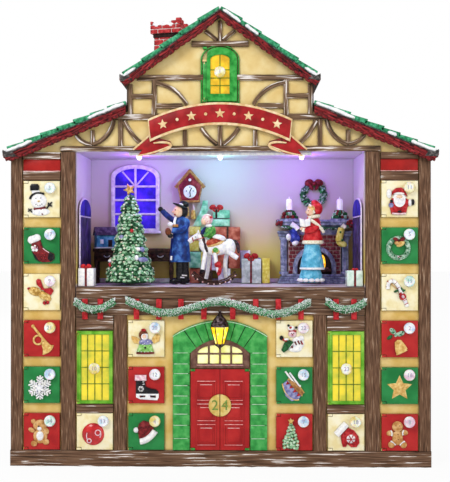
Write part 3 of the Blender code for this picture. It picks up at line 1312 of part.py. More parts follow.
def stage_room(look):
    """The room of the stage: walls, floor and ceiling behind a front flange, with its window and clock."""
    half, wall = STAGE_HALF, STAGE_WALL
    edge = SEAM_X - REST_GAP / 2
    back = FACE + STAGE_DEPTH
    shapes = [
        box(-edge, edge, FACE, FACE + FLANGE, LEDGE_SEAM + REST_GAP / 2, STAGE_SEAM - REST_GAP / 2),
        box(-half - wall, half + wall, FACE + BITE, back + wall, STAGE_Z - STAGE_FLOOR, STAGE_TOP + wall),
    ]
    hollow = box(-half, half, FACE - OVERRUN, back, STAGE_Z, STAGE_TOP)
    low, high = STAGE_Z - STAGE_FLOOR - OVERRUN, STAGE_Z + OVERRUN
    holes = [
        limb((x, FACE + forward, high), (x, FACE + forward, low), SPINDLE_HOLE)
        for x, forward in ((TREE_X, TREE_FORWARD), (WOMAN_X, WOMAN_FORWARD))
    ]
    x, y = HORSE_X, FACE + HORSE_FORWARD
    holes.append(box(x - SLOT_HALF, x + SLOT_HALF, y - SLOT_WIDTH / 2, y + SLOT_WIDTH / 2, low, high))
    room = piece("room", look, shapes, [hollow], holes)
    return piece("stage_room", look, [room] + room_reliefs(back))


CLOCK_SHARES = (
    (-0.36, 0.0), (0.36, 0.0), (0.40, 0.52), (0.50, 0.56), (0.0, 1.0), (-0.50, 0.56), (-0.40, 0.52),
)
CLOCK_WEIGHT_SHARE = 0.125


def room_reliefs(back):
    """What is glued to the back wall: the arched window, the clock with its weights, and the wreath."""
    x0, x1 = WALL_WINDOW_X - WALL_WINDOW_WIDTH / 2, WALL_WINDOW_X + WALL_WINDOW_WIDTH / 2
    foot = STAGE_Z + WALL_WINDOW_Z
    window = arched(x0, x1, foot, foot + WALL_WINDOW_HEIGHT - WALL_WINDOW_RISE, WALL_WINDOW_RISE)
    clock = [(CLOCK_X + u * CLOCK_WIDTH, STAGE_Z + CLOCK_Z + v * CLOCK_HEIGHT) for u, v in CLOCK_SHARES]
    shapes = [prism(window, back - WALL_RELIEF, back + BITE), prism(clock, back - CLOCK_DEPTH, back + BITE)]
    for side in (-1, 1):
        x, y, z = CLOCK_X + side * CLOCK_WIDTH * CLOCK_WEIGHT_SHARE, back - CLOCK_DEPTH / 2, STAGE_Z + CLOCK_Z
        shapes.append(limb((x, y, z + BITE), (x, y, z - CLOCK_WEIGHT_DROP), CLOCK_WEIGHT))
    front = back - WREATH_TUBE / 2
    shapes.append(ring_relief(HEARTH_X, STAGE_Z + WREATH_Z, WREATH_RADIUS, WREATH_TUBE, front, back + BITE))
    return shapes


TREE_PROFILE_SHARES = (
    (0.00, 0.00), (0.97, 0.00), (1.00, 0.03), (0.74, 0.22), (0.84, 0.24), (0.58, 0.44), (0.66, 0.46),
    (0.40, 0.66), (0.46, 0.68), (0.22, 0.84), (0.26, 0.86), (0.04, 1.00), (0.00, 1.00),
)


def spindle(x, y):
    """The steel pin under a turning figure, from the drive up into the figure."""
    foot = FLOOR_TOP - STAGE_FLOOR
    return limb((x, y, foot), (x, y, FLOOR_TOP + STEP_UP + BITE), SPINDLE_RADIUS)


def christmas_tree(look):
    """A tiered tree with its star, on its spindle."""
    y = FACE + TREE_FORWARD
    foot = FLOOR_TOP + STEP_UP
    profile = [(u * TREE_RADIUS, foot + v * TREE_HEIGHT) for u, v in TREE_PROFILE_SHARES]
    top = foot + TREE_HEIGHT + STAR_RADIUS * STAR_LIFT_SHARE
    outline = [(TREE_X + u, top + v) for u, v in star_shares(0, 0, STAR_RADIUS)]
    star = prism(outline, y - BITE * 2, y + BITE * 2)
    shapes = [turned(profile, (TREE_X, y, 0)), star, spindle(TREE_X, y)]
    return piece("christmas_tree", look, shapes, origin=(TREE_X, y, foot))


def figure(shares, x, y, foot, height):
    """Shapes of a small figure, from a table in shares of its height."""
    def at(point):
        return Vector((x, y, foot)) + Vector(point) * height

    shapes = []
    for kind, first, second, *radius in shares:
        if kind == "ball":
            shapes.append(ball(at(first), Vector(second) * height))
        elif kind == "limb":
            shapes.append(limb(at(first), at(second), radius[0] * height, radius[-1] * height))
        else:
            low, high = at(first), at(second)
            shapes.append(box(low.x, high.x, low.y, high.y, low.z, high.z))
    return shapes


MAN_SHARES = (
    ("limb", (0.00, 0, 0.28), (0.00, 0, 0.84), 0.155, 0.085),
    ("limb", (-0.04, 0, 0.06), (-0.03, 0, 0.32), 0.080, 0.090),
    ("box", (-0.13, -0.08, 0.00), (0.08, 0.08, 0.09)), ("ball", (-0.02, 0, 0.89), (0.070, 0.070, 0.080)),
    ("limb", (0.00, 0, 0.93), (0.01, 0, 0.95), 0.110, 0.100),
    ("limb", (0.01, 0, 0.94), (0.05, 0, 1.00), 0.070, 0.060),
    ("limb", (0.00, -0.06, 0.78), (-0.13, -0.10, 0.70), 0.050, 0.045),
    ("limb", (-0.13, -0.10, 0.70), (-0.22, -0.11, 0.90), 0.045, 0.035),
    ("ball", (-0.22, -0.11, 0.92), (0.040, 0.040, 0.045)),
    ("limb", (0.05, -0.07, 0.76), (-0.13, -0.12, 0.66), 0.050, 0.040),
)


def man_figure(look):
    """The standing man with a raised arm, glued to the floor."""
    foot = FLOOR_TOP + REST_GAP
    return piece("man_figure", look, figure(MAN_SHARES, MAN_X, FACE + MAN_FORWARD, foot, MAN_HEIGHT))


WOMAN_SHARES = (
    ("limb", (0, 0, 0.00), (0, 0, 0.14), 0.150, 0.160), ("limb", (0, 0, 0.13), (0, 0, 0.52), 0.160, 0.100),
    ("limb", (0, 0, 0.46), (0.01, 0, 0.76), 0.135, 0.080), ("ball", (-0.01, 0, 0.83), (0.070, 0.070, 0.080)),
    ("limb", (0.00, 0, 0.84), (0.06, 0, 0.98), 0.085, 0.050),
    ("limb", (0.06, -0.08, 0.70), (-0.10, -0.09, 0.60), 0.050, 0.040),
    ("limb", (0.06, 0.08, 0.70), (-0.10, 0.07, 0.60), 0.050, 0.040),
    ("ball", (-0.11, 0, 0.68), (0.060, 0.100, 0.080)),
)


def woman_figure(look):
    """The woman with a bundle in her arms, on her spindle."""
    x, y, foot = WOMAN_X, FACE + WOMAN_FORWARD, FLOOR_TOP + STEP_UP
    shapes = figure(WOMAN_SHARES, x, y, foot, WOMAN_HEIGHT) + [spindle(x, y)]
    return piece("woman_figure", look, shapes, origin=(x, y, foot))


# The horse and its rider, in shares of the horse's length, from the floor under its middle
HORSE_SHARES = (
    ("ball", (0.02, 0, 0.80), (0.300, 0.130, 0.155)),
    ("limb", (-0.16, 0, 0.82), (-0.38, 0, 1.02), 0.110, 0.090),
    ("limb", (-0.34, 0, 1.02), (-0.52, 0, 0.93), 0.090, 0.060),
    ("limb", (-0.16, -0.07, 0.76), (-0.26, -0.13, 0.11), 0.065, 0.045),
    ("limb", (-0.16, 0.07, 0.76), (-0.26, 0.13, 0.11), 0.065, 0.045),
    ("limb", (0.22, -0.07, 0.76), (0.30, -0.13, 0.12), 0.075, 0.045),
    ("limb", (0.22, 0.07, 0.76), (0.30, 0.13, 0.12), 0.075, 0.045),
    ("limb", (0.26, 0, 0.88), (0.48, 0, 0.72), 0.070, 0.040),
    ("limb", (0.02, 0, 0.86), (-0.12, 0, 1.22), 0.130, 0.100),
    ("ball", (-0.17, 0, 1.30), (0.115, 0.115, 0.130)),
    ("limb", (0.02, -0.10, 0.94), (-0.03, -0.15, 0.64), 0.060, 0.050),
    ("limb", (0.02, 0.10, 0.94), (-0.03, 0.15, 0.64), 0.060, 0.050),
    ("limb", (-0.08, 0, 1.12), (-0.32, 0, 1.02), 0.060, 0.045),
)


def rocker(x, y, foot):
    """One curved runner: an arc about the point that the horse rocks round."""
    centre = foot + ROCKER_RADIUS
    reach = math.radians(ROCKER_HALF_ANGLE_DEG)
    turns = [reach * (2 * step / RAIL_STEPS - 1) for step in range(RAIL_STEPS + 1)]
    under = [(x + ROCKER_RADIUS * math.sin(t), centre - ROCKER_RADIUS * math.cos(t)) for t in turns]
    inner = ROCKER_RADIUS - ROCKER_THICK
    over = [(x + inner * math.sin(t), centre - inner * math.cos(t)) for t in reversed(turns)]
    return prism(under + over, y - ROCKER_THICK / 2, y + ROCKER_THICK / 2)


def rocking_horse(look):
    """The horse with its rider, two runners, their ties, and the tab that the drive rocks it by."""
    y, foot = FACE + HORSE_FORWARD, FLOOR_TOP + REST_GAP
    gauge = ROCKER_GAUGE / 2
    shapes = figure(HORSE_SHARES, HORSE_X, y, foot, HORSE_LENGTH)
    shapes += [rocker(HORSE_X, y + side * gauge, foot) for side in (-1, 1)]
    tie = foot + ROCKER_THICK / 2
    x0, x1 = HORSE_X - TAB_WIDTH / 2, HORSE_X + TAB_WIDTH / 2
    shapes.append(box(x0, x1, y - gauge, y + gauge, tie, tie + ROCKER_THICK))
    tab = SLOT_WIDTH / 2 - 2 * REST_GAP
    low = FLOOR_TOP - STAGE_FLOOR - TAB_LENGTH / 2
    shapes.append(box(x0, x1, y - tab, y + tab, low, tie + ROCKER_THICK / 2))
    return piece("rocking_horse", look, shapes, origin=(HORSE_X, y, foot + ROCKER_RADIUS))


def on_floor(name, look, shares, x, y_front, width, height, depth):
    """A scenery piece of prisms, in shares of its width, height and depth: x0, x1, z0, z1, y0, y1."""
    foot = FLOOR_TOP + REST_GAP
    shapes = [
        box(x + x0 * width, x + x1 * width, y_front + y0 * depth, y_front + y1 * depth,
            foot + z0 * height, foot + z1 * height)
        for x0, x1, z0, z1, y0, y1 in shares
    ]
    return piece(name, look, shapes)


HEARTH_SHARES = (
    (-0.50, 0.50, 0.90, 1.00, 0.00, 1.00), (-0.44, 0.44, 0.80, 0.93, 0.15, 1.00),
    (-0.42, -0.22, 0.10, 0.83, 0.30, 1.00),
    (0.22, 0.42, 0.10, 0.83, 0.30, 1.00), (-0.25, 0.25, 0.56, 0.83, 0.32, 1.00),
    (-0.25, 0.25, 0.08, 0.60, 0.80, 1.00),
    (-0.46, 0.46, 0.00, 0.12, 0.10, 1.00), (-0.31, -0.23, 0.99, 1.34, 0.30, 0.62),
    (0.29, 0.37, 0.99, 1.34, 0.30, 0.62),
    (-0.42, -0.14, 0.98, 1.12, 0.22, 0.75), (0.20, 0.48, 0.98, 1.12, 0.22, 0.75),
    (-0.36, -0.24, 0.58, 0.86, 0.10, 0.34),
    (0.26, 0.38, 0.58, 0.86, 0.10, 0.34),
)
TABLE_SHARES = (
    (-0.50, 0.50, 0.86, 1.00, 0.00, 1.00), (-0.46, 0.46, 0.58, 0.88, 0.08, 0.94),
    (-0.46, -0.40, 0.00, 0.60, 0.08, 0.30),
    (0.40, 0.46, 0.00, 0.60, 0.08, 0.30), (-0.46, -0.40, 0.00, 0.60, 0.70, 0.94),
    (0.40, 0.46, 0.00, 0.60, 0.70, 0.94),
    (-0.36, 0.04, 0.98, 1.44, 0.15, 0.85), (-0.38, 0.06, 1.40, 1.60, 0.10, 0.90),
)
GIFT_STACK_SHARES = (
    (-0.50, -0.18, 0.00, 0.42, 0.05, 1.00), (-0.20, 0.18, 0.00, 0.50, 0.20, 1.00),
    (0.16, 0.40, 0.00, 0.28, 0.00, 0.80),
    (0.38, 0.52, 0.00, 0.38, 0.10, 0.90), (-0.10, 0.22, 0.48, 0.72, 0.25, 0.95),
    (-0.18, 0.10, 0.70, 0.96, 0.30, 0.90),
    (-0.10, 0.02, 0.94, 1.06, 0.45, 0.75), (0.14, 0.34, 0.26, 0.42, 0.30, 0.90),
)
GIFT_SHARES = ((-0.50, 0.50, 0.00, 0.86, 0.00, 1.00), (-0.28, 0.28, 0.84, 1.00, 0.28, 0.72))


def lamp_bar(look):
    """The strip under the stage ceiling that carries the three lamps."""
    y0 = FACE + LAMP_BAR_BACK
    y1 = y0 + LAMP_BAR_DEPTH
    top = STAGE_TOP - REST_GAP
    foot = top - LAMP_BAR_HEIGHT
    shapes = [box(-LAMP_BAR_HALF, LAMP_BAR_HALF, y0, y1, foot, top)]
    for place in (-1, 0, 1):
        x, y = place * LAMP_PITCH, (y0 + y1) / 2
        shapes.append(limb((x, y, foot + BITE), (x, y, foot - LAMP_DROP), LAMP_RADIUS))
    return piece("led_bar", look, shapes)


def window_leaf(name, look, place, columns, rows, rise=0.0):
    """A glazed door: sash bars stand round sunken panes."""
    x0, x1, z0, z1 = place
    left, right, foot, head = x0 + SASH, x1 - SASH, z0 + SASH, z1 + rise - SASH
    width, height = (right - left + MUNTIN) / columns, (head - foot + MUNTIN) / rows
    panes = [
        box(left + i * width, left + (i + 1) * width - MUNTIN, LEAF_FRONT - OVERRUN, LEAF_FRONT + PANE_DEPTH,
            foot + j * height, foot + (j + 1) * height - MUNTIN)
        for i in range(columns) for j in range(rows)
    ]
    return leaf(name, look, place, rise=rise, cuts=panes, knob_at="middle")


# Where the panels of door 24 start and end, in shares of the leaf's height
DOOR_PANEL_SHARES = ((0.055, 0.325), (0.355, 0.578), (0.607, 0.860))


def middle_leaf(name, look, side):
    """One leaf of door 24: three raised panels, each in a sunk rim, and half of the number disc."""
    x0, x1 = (-MIDDLE_LEAF_WIDTH, -REST_GAP / 2) if side > 0 else (REST_GAP / 2, MIDDLE_LEAF_WIDTH)
    z0, z1 = FIRST_ROW, FIRST_ROW + MIDDLE_LEAF_HEIGHT
    turns = [math.pi * step / ARC_STEPS for step in range(ARC_STEPS + 1)]
    edge = -REST_GAP / 2 if side > 0 else REST_GAP / 2
    z = FIRST_ROW + DISC_RISE
    half_disc = [(edge - side * DISC_RADIUS * math.sin(t), z + DISC_RADIUS * math.cos(t)) for t in turns]
    raised = [prism(half_disc, LEAF_FRONT - DISC_HEIGHT, LEAF_FRONT + DOOR_PANEL_DEPTH + BITE)]
    near, far = sorted((edge - side * DOOR_PANEL_IN, edge - side * (MIDDLE_LEAF_WIDTH - DOOR_PANEL_OUT)))
    floor, rim = LEAF_FRONT + DOOR_PANEL_DEPTH, DOOR_PANEL_RIM
    rims = []
    for low_share, high_share in DOOR_PANEL_SHARES:
        low, high = z0 + low_share * MIDDLE_LEAF_HEIGHT, z0 + high_share * MIDDLE_LEAF_HEIGHT
        sunk = box(near, far, LEAF_FRONT - OVERRUN, floor, low, high)
        field = box(near + rim, far - rim, LEAF_FRONT - 2 * OVERRUN, floor + OVERRUN, low + rim, high - rim)
        rims.append(combined(sunk, [field], "DIFFERENCE"))
    return leaf(name, look, (x0, x1, z0, z1), side=side, raised=raised, cuts=rims, knob_at=None)


LEFT_COLUMN = (
    ("door_snowman", SNOWMAN_SHARES, "cream"), ("door_stocking", STOCKING_SHARES, "green"),
    ("door_bells", BELLS_SHARES, "cream"), ("door_trumpet", TRUMPET_SHARES, "red"),
    ("door_snowflake", SNOWFLAKE_SHARES, "green"), ("door_bear", BEAR_SHARES, "red"),
)
RIGHT_COLUMN = (
    ("door_santa", SANTA_SHARES, "cream"), ("door_wreath", WREATH_SHARES, "green"),
    ("door_candy_cane", CANE_SHARES, "cream"), ("door_bell", BELL_SHARES, "red"),
    ("door_star", STAR_SHARES, "green"), ("door_gingerbread", GINGERBREAD_SHARES, "red"),
)
CENTRE_LEFT = (
    ("door_angel", ANGEL_SHARES, "cream"), ("door_skate", SKATE_SHARES, "red"),
    ("door_hat", HAT_SHARES, "green"),
)
CENTRE_RIGHT = (
    ("door_reindeer", REINDEER_SHARES, "cream"), ("door_drum", DRUM_SHARES, "green"),
    ("door_tree", TREE_SHARES, "red"),
)
COLOURS = {
    "cream": (0.90, 0.84, 0.66), "green": (0.05, 0.27, 0.10), "red": (0.60, 0.04, 0.04),
    "tan": (0.78, 0.60, 0.32), "brown": (0.16, 0.09, 0.06), "stone": (0.05, 0.36, 0.08),
    "snow": (0.86, 0.88, 0.90), "blue": (0.12, 0.25, 0.55), "grey": (0.32, 0.35, 0.42),
    "wall": (0.75, 0.66, 0.62), "gold": (0.80, 0.55, 0.15),
}


def picture_leaf(name, shares, colour, x0, z0):
    """One door with a raised picture, hinged on its left."""
    place = (x0, x0 + LEAF_WIDTH, z0, z0 + LEAF_HEIGHT)
    look = finish(name, COLOURS[colour], 0.35)
    return leaf(name, look, place, raised=relief(shares, x0, z0, LEAF_WIDTH, LEAF_HEIGHT))


def doors():
    """All 25 leaves."""
    columns = (
        (LEFT_COLUMN, -COLUMN_OUTER + REVEAL, COLUMN_ROWS),
        (RIGHT_COLUMN, COLUMN_INNER + REVEAL, COLUMN_ROWS),
        (CENTRE_LEFT, -CENTRE_HALF + REVEAL, LOWER_ROWS),
        (CENTRE_RIGHT, CENTRE_HALF - REVEAL - LEAF_WIDTH, LOWER_ROWS),
    )
    for column, x0, rows in columns:
        for row, (name, shares, colour) in enumerate(column):
            picture_leaf(name, shares, colour, x0, FIRST_ROW + (rows - 1 - row) * ROW_PITCH)
    for name, shares, window, x0 in (
        ("door_ornament", ORNAMENT_SHARES, "door_left_window", -STAGE_HALF + REVEAL),
        ("door_mitten", MITTEN_SHARES, "door_right_window", SIDE_INNER + REVEAL),
    ):
        picture_leaf(name, shares, "cream", x0, FIRST_ROW)
        foot = FIRST_ROW + ROW_PITCH - REVEAL
        place = (x0, x0 + LEAF_WIDTH, foot, foot + WINDOW_LEAF_HEIGHT)
        window_leaf(window, finish(window, COLOURS["green"], 0.35), place, 4, 4)
    gable = "door_gable_window"
    window_leaf(gable, finish(gable, COLOURS["green"], 0.35), gable_place(), 2, 3, GABLE_LEAF_RISE)
    middle_leaf("door_24_left", finish("door_24_left", COLOURS["red"], 0.35), 1)
    middle_leaf("door_24_right", finish("door_24_right", COLOURS["red"], 0.35), -1)


def facade():
    """Trays, panels, timbers and what hangs on them."""
    middle = (COLUMN_OUTER + COLUMN_INNER) / 2
    column_tray("left_column_tray", finish("left_column_tray", COLOURS["tan"]), -middle)
    column_tray("right_column_tray", finish("right_column_tray", COLOURS["tan"]), middle)
    lower_tray(finish("lower_tray", COLOURS["tan"]))
    gable_panel(finish("gable_panel", COLOURS["tan"]))
    timber_frame(finish("timber_frame", COLOURS["brown"]))
    gable_timbers(finish("gable_timbers", COLOURS["brown"]))
    door_surround(finish("door_surround", COLOURS["stone"]))
    fanlight(finish("fanlight", COLOURS["brown"]))
    lantern(finish("lantern", COLOURS["gold"], 0.3, 0.4))
    banner(finish("banner", COLOURS["red"]))
    for name, x0, x1, sag, swags, straps in (
        ("garland_centre", -CENTRE_HALF, CENTRE_HALF, GARLAND_SAG, SWAG_COUNT, CENTRE_STRAP_SHARES),
        ("garland_left", -STAGE_HALF, -SIDE_INNER, SIDE_GARLAND_SAG, 1, SIDE_STRAP_SHARES),
        ("garland_right", SIDE_INNER, STAGE_HALF, SIDE_GARLAND_SAG, 1, SIDE_STRAP_SHARES),
    ):
        garland(name, finish(name, COLOURS["green"]), x0, x1, sag, swags, straps)


def stage():
    """The room, the figures and the scenery."""
    back = FACE + STAGE_DEPTH - REST_GAP
    stage_room(finish("stage_room", COLOURS["wall"]))
    christmas_tree(finish("christmas_tree", COLOURS["green"]))
    man_figure(finish("man_figure", COLOURS["blue"]))
    woman_figure(finish("woman_figure", COLOURS["red"]))
    rocking_horse(finish("rocking_horse", COLOURS["snow"]))
    relief_room = WALL_RELIEF + REST_GAP
    on_floor("fireplace", finish("fireplace", COLOURS["grey"]), HEARTH_SHARES, HEARTH_X,
             back - HEARTH_DEPTH, HEARTH_WIDTH, HEARTH_HEIGHT, HEARTH_DEPTH)
    on_floor("table", finish("table", COLOURS["brown"]), TABLE_SHARES, TABLE_X,
             back - relief_room - TABLE_DEPTH, TABLE_LENGTH, TABLE_HEIGHT, TABLE_DEPTH)
    on_floor("gift_stack", finish("gift_stack", COLOURS["green"]), GIFT_STACK_SHARES, GIFT_STACK_X,
             back - GIFT_STACK_DEPTH, GIFT_STACK_WIDTH, GIFT_STACK_HEIGHT, GIFT_STACK_DEPTH)
    for name, side in (("gift_left", -1), ("gift_right", 1)):
        on_floor(name, finish(name, COLOURS["snow"]), GIFT_SHARES, side * GIFT_INSET,
                 FACE + FLANGE, GIFT_SIDE, GIFT_HEIGHT, GIFT_SIDE)
    lamp_bar(finish("led_bar", COLOURS["snow"]))


def house():
    """Shell, roofs and chimney, and the works behind them."""
    cabinet_shell(finish("cabinet_shell", COLOURS["brown"]))
    upper_roof(finish("upper_roof", COLOURS["green"]))
    lower_roof("left_roof", finish("left_roof", COLOURS["green"]), -1)
    lower_roof("right_roof", finish("right_roof", COLOURS["green"]), 1)
    chimney(finish("chimney", COLOURS["red"]))
    back_cover(finish("back_cover", COLOURS["brown"]))
    battery_door(finish("battery_door", COLOURS["brown"]))
    power_switch(finish("power_switch", COLOURS["grey"]))
    circuit_board(finish("circuit_board", COLOURS["green"]))
    speaker(finish("speaker", COLOURS["grey"]))
    drive_unit(finish("drive_unit", COLOURS["snow"]))


for leftover in list(bpy.data.objects):
    bpy.data.objects.remove(leftover)
doors()
facade()
stage()
house()
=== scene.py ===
# %% [markdown]
# # A musical advent calendar house
# The object is a half-timbered toy house of cast, hand-painted resin, 40 cm wide. Twenty-five small doors
# swing in front of pockets, and a lit stage with moving figures fills its middle. This notebook dresses the
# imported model: every part gets its real finish, and parts with carving are modelled again in their place.

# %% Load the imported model
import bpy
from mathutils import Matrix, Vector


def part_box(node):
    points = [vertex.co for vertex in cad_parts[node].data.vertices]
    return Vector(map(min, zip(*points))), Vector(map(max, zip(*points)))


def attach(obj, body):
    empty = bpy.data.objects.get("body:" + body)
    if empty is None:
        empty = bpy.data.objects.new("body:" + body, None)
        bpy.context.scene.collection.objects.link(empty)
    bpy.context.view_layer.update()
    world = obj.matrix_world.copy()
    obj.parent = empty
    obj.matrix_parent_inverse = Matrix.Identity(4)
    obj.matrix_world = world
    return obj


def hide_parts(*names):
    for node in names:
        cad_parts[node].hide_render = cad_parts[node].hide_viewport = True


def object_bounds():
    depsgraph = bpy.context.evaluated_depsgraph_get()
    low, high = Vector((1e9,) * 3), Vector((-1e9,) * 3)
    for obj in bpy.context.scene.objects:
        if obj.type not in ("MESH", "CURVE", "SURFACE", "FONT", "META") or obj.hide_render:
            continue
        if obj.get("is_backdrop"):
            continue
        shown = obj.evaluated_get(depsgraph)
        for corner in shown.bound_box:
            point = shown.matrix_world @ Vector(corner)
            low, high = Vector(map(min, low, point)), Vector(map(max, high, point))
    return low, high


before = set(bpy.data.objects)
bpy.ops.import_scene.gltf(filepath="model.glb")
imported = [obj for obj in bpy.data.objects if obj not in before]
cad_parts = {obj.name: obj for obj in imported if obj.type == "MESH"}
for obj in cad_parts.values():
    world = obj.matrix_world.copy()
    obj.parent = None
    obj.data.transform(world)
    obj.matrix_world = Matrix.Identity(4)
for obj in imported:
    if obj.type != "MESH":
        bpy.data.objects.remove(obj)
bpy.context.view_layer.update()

# %% [markdown]
# ## Colours and finishes
# A photograph names colours in sRGB, and a shader works in linear light, so one function turns the hex codes.
# A second one adds a node with its settings and links. Every finish below is built with these two.

# %% A colour, and a node
import math
import random

import bmesh
import bpy
from mathutils import Matrix, Vector

MM = 0.001


def paint(code):
    """The linear colour of an sRGB hex code."""
    parts = [int(code[i:i + 2], 16) / 255 for i in (1, 3, 5)]
    return (*[c / 12.92 if c <= 0.04045 else ((c + 0.055) / 1.055) ** 2.4 for c in parts], 1.0)


def add(mat, kind, inputs=None, stops=None, **settings):
    """Adds a node. An input is a value, or another node's output; stops are a ramp's places and colours."""
    node = mat.node_tree.nodes.new("ShaderNode" + kind)
    for name, value in settings.items():
        setattr(node, name, value)
    if stops:
        elements = node.color_ramp.elements
        elements[0].position, elements[1].position = stops[0][0], stops[-1][0]
        for place, _ in stops[1:-1]:
            elements.new(place)
        for element, (_, code) in zip(elements, stops):
            element.color = paint(code)
    for name, value in (inputs or {}).items():
        if isinstance(value, bpy.types.NodeSocket):
            mat.node_tree.links.new(value, node.inputs[name])
        else:
            node.inputs[name].default_value = value
    return node


print("a red door is", [round(c, 3) for c in paint("#c0242e")])

# %% [markdown]
# ## Painted resin
# Most of the house is polyresin, cast in a rubber mould and painted by hand. The paint pools a little darker
# in patches, a brown wash stays in the corners, and the surface is slightly uneven. So a finish is a noise
# between shades, a wash with painted shade where surfaces meet, and a shallow bump, all in Object
# coordinates.

# %% A painted finish
FOOT_OF_NOISE, HEAD_OF_NOISE = 0.36, 0.64    # a layered noise rarely leaves this range
WASH_AND_SHADE_REACH = 1.6 * MM
SHEEN = 0.22    # matt varnish over the paint throws back less than bare resin does


def painted(name, shades, patch=5.0, rough=0.45, uneven=0.10, grain=1.2, wash_and_shade=0.5, **sockets):
    """Paint on cast resin. Shades are hex codes, dark to light; patch, uneven and grain are in mm."""
    mat = bpy.data.materials.new(name)
    mat.use_nodes = True
    shader = mat.node_tree.nodes["Principled BSDF"]
    place = add(mat, "TexCoord").outputs["Object"]
    cloud = add(mat, "TexNoise", {"Vector": place, "Scale": 1 / (patch * MM), "Detail": 4.0}).outputs["Fac"]
    codes = shades.split()
    reach = (HEAD_OF_NOISE - FOOT_OF_NOISE) / max(len(codes) - 1, 1)
    stops = [(FOOT_OF_NOISE + i * reach, "#" + code) for i, code in enumerate(codes)]
    stops = stops if len(stops) > 1 else [(0.0, stops[0][1]), (1.0, stops[0][1])]
    colour = add(mat, "ValToRGB", {"Fac": cloud}, stops=stops).outputs["Color"]
    # Ambient occlusion darkens the paint where surfaces meet: a brown wash, and painted shade.
    if wash_and_shade:
        corner = add(mat, "AmbientOcclusion", {"Distance": WASH_AND_SHADE_REACH}, samples=4).outputs["AO"]
        amount = add(mat, "MapRange", {"Value": corner, "From Min": 0.35, "From Max": 0.85, "To Min": wash_and_shade,
                                       "To Max": 0.0}).outputs["Result"]
        mix = add(mat, "Mix", {0: amount, 6: colour, 7: paint("#1e130c")}, data_type="RGBA")
        colour = mix.outputs[2]
    mat.node_tree.links.new(colour, shader.inputs["Base Color"])
    if uneven:
        fine = add(mat, "TexNoise", {"Vector": place, "Scale": 1 / (grain * MM), "Detail": 2.0})
        bump = add(mat, "Bump", {"Height": fine.outputs["Fac"], "Distance": uneven * MM, "Strength": 0.6})
        mat.node_tree.links.new(bump.outputs["Normal"], shader.inputs["Normal"])
    shader.inputs["Roughness"].default_value = rough
    shader.inputs["Specular IOR Level"].default_value = SHEEN
    for socket, value in sockets.items():
        shader.inputs[socket.replace("_", " ")].default_value = value
    return mat


# Alkyd enamel on the doors: smooth, with a soft shine
door_cream = painted("enamel_cream", "f0dfa4 f8ecc0 fbf3d2", 9, 0.34, uneven=0.05)
door_green = painted("enamel_green", "1a7438 22803f 2b8a48", 16, 0.34, uneven=0.05)
door_red = painted("enamel_red", "a51a1d b42222 bd2a28", 16, 0.34, uneven=0.05)
panel_red = painted("enamel_bright_red", "9c1611 a81b16 b2211b", 10, 0.4)
# Acrylic craft paint, brushed on the small castings: more matt
white = painted("acrylic_white", "e3e3ea f6f4f2 fffdf8", 3, 0.5, wash_and_shade=0.35)
black = painted("acrylic_black", "0d0c0f 1b1a1d 2c2a2c", 2, 0.35, wash_and_shade=0.0)
red = painted("acrylic_red", "8e1219 b51f26 c93a3a", 2.5, 0.45)
maroon = painted("acrylic_maroon", "4f0f14 741a1f 8b2a2c", 2.5, 0.5)
holly = painted("acrylic_dark_green", "123f22 1f5c30 2e7440", 2.5, 0.5)
bright_leaf = painted("acrylic_green", "23803a 319a49 48ac5b", 3, 0.45)
frosted = painted("acrylic_frosted_green", "3f7a5c 86b394 d5e3d2", 1.6, 0.6)
bronze = painted("bronze_paint", "a47a34 d0a454 ecd08a", 2.5, 0.35, Metallic=0.25)
skin = painted("acrylic_skin", "e9b994 f3c9a8 f8d6b9", 3, 0.5, wash_and_shade=0.35)
chestnut = painted("acrylic_chestnut", "4c2412 6f3820 8a4c2c", 1.5, 0.5)
tan = painted("acrylic_tan", "8a5c33 a97440 c08d55", 2.5, 0.5)
lilac = painted("acrylic_lilac", "6a6a9c 8a8ab8 a9a9cf", 2.5, 0.5)
sky = painted("acrylic_sky_blue", "4499bb 5cb4d6 8fd0e6", 4, 0.45)
butter = painted("acrylic_butter", "d4bd48 e3d160 efe28a", 3, 0.5)
blush = painted("acrylic_blush", "d9a5b4 ecc7d0 f7e2e4", 2.5, 0.5)
print(len(bpy.data.materials), "finishes mixed so far")

# %% [markdown]
# ## Stained timber
# The beams are cast with a brushed grain, stained brown, and dry-brushed with white on the raised fibres.
# Grain runs along each beam, so every beam carries a UV map in metres and the noise is stretched along U.

# %% The finish of a beam
def stained(name, stops, fibre=0.9, run=26.0, rough=0.62, uneven=0.25):
    """Wood stain with dry-brushed fibres: fibre is their width and run their length, in millimetres."""
    mat = bpy.data.materials.new(name)
    mat.use_nodes = True
    shader = mat.node_tree.nodes["Principled BSDF"]
    along = add(mat, "UVMap", uv_map="grain").outputs["UV"]
    scale = (1 / (run * MM), 1 / (fibre * 2 * MM), 1.0)
    stretched = add(mat, "Mapping", {"Vector": along, "Scale": scale}).outputs["Vector"]
    fibres = add(mat, "TexNoise", {"Vector": stretched, "Scale": 1.0, "Detail": 5.0, "Distortion": 0.4})
    colour = add(mat, "ValToRGB", {"Fac": fibres.outputs["Fac"]}, stops=stops).outputs["Color"]
    # Painted shade: ambient occlusion darkens the stain where surfaces meet.
    corner = add(mat, "AmbientOcclusion", {"Distance": WASH_AND_SHADE_REACH}, samples=4).outputs["AO"]
    amount = add(mat, "MapRange", {"Value": corner, "From Min": 0.3, "From Max": 0.8, "To Min": 0.6,
                                   "To Max": 0.0}).outputs["Result"]
    mix = add(mat, "Mix", {0: amount, 6: colour, 7: paint("#1a110b")}, data_type="RGBA")
    mat.node_tree.links.new(mix.outputs[2], shader.inputs["Base Color"])
    bump = add(mat, "Bump", {"Height": fibres.outputs["Fac"], "Distance": uneven * MM, "Strength": 0.8})
    mat.node_tree.links.new(bump.outputs["Normal"], shader.inputs["Normal"])
    shader.inputs["Roughness"].default_value = rough
    shader.inputs["Specular IOR Level"].default_value = SHEEN
    return mat


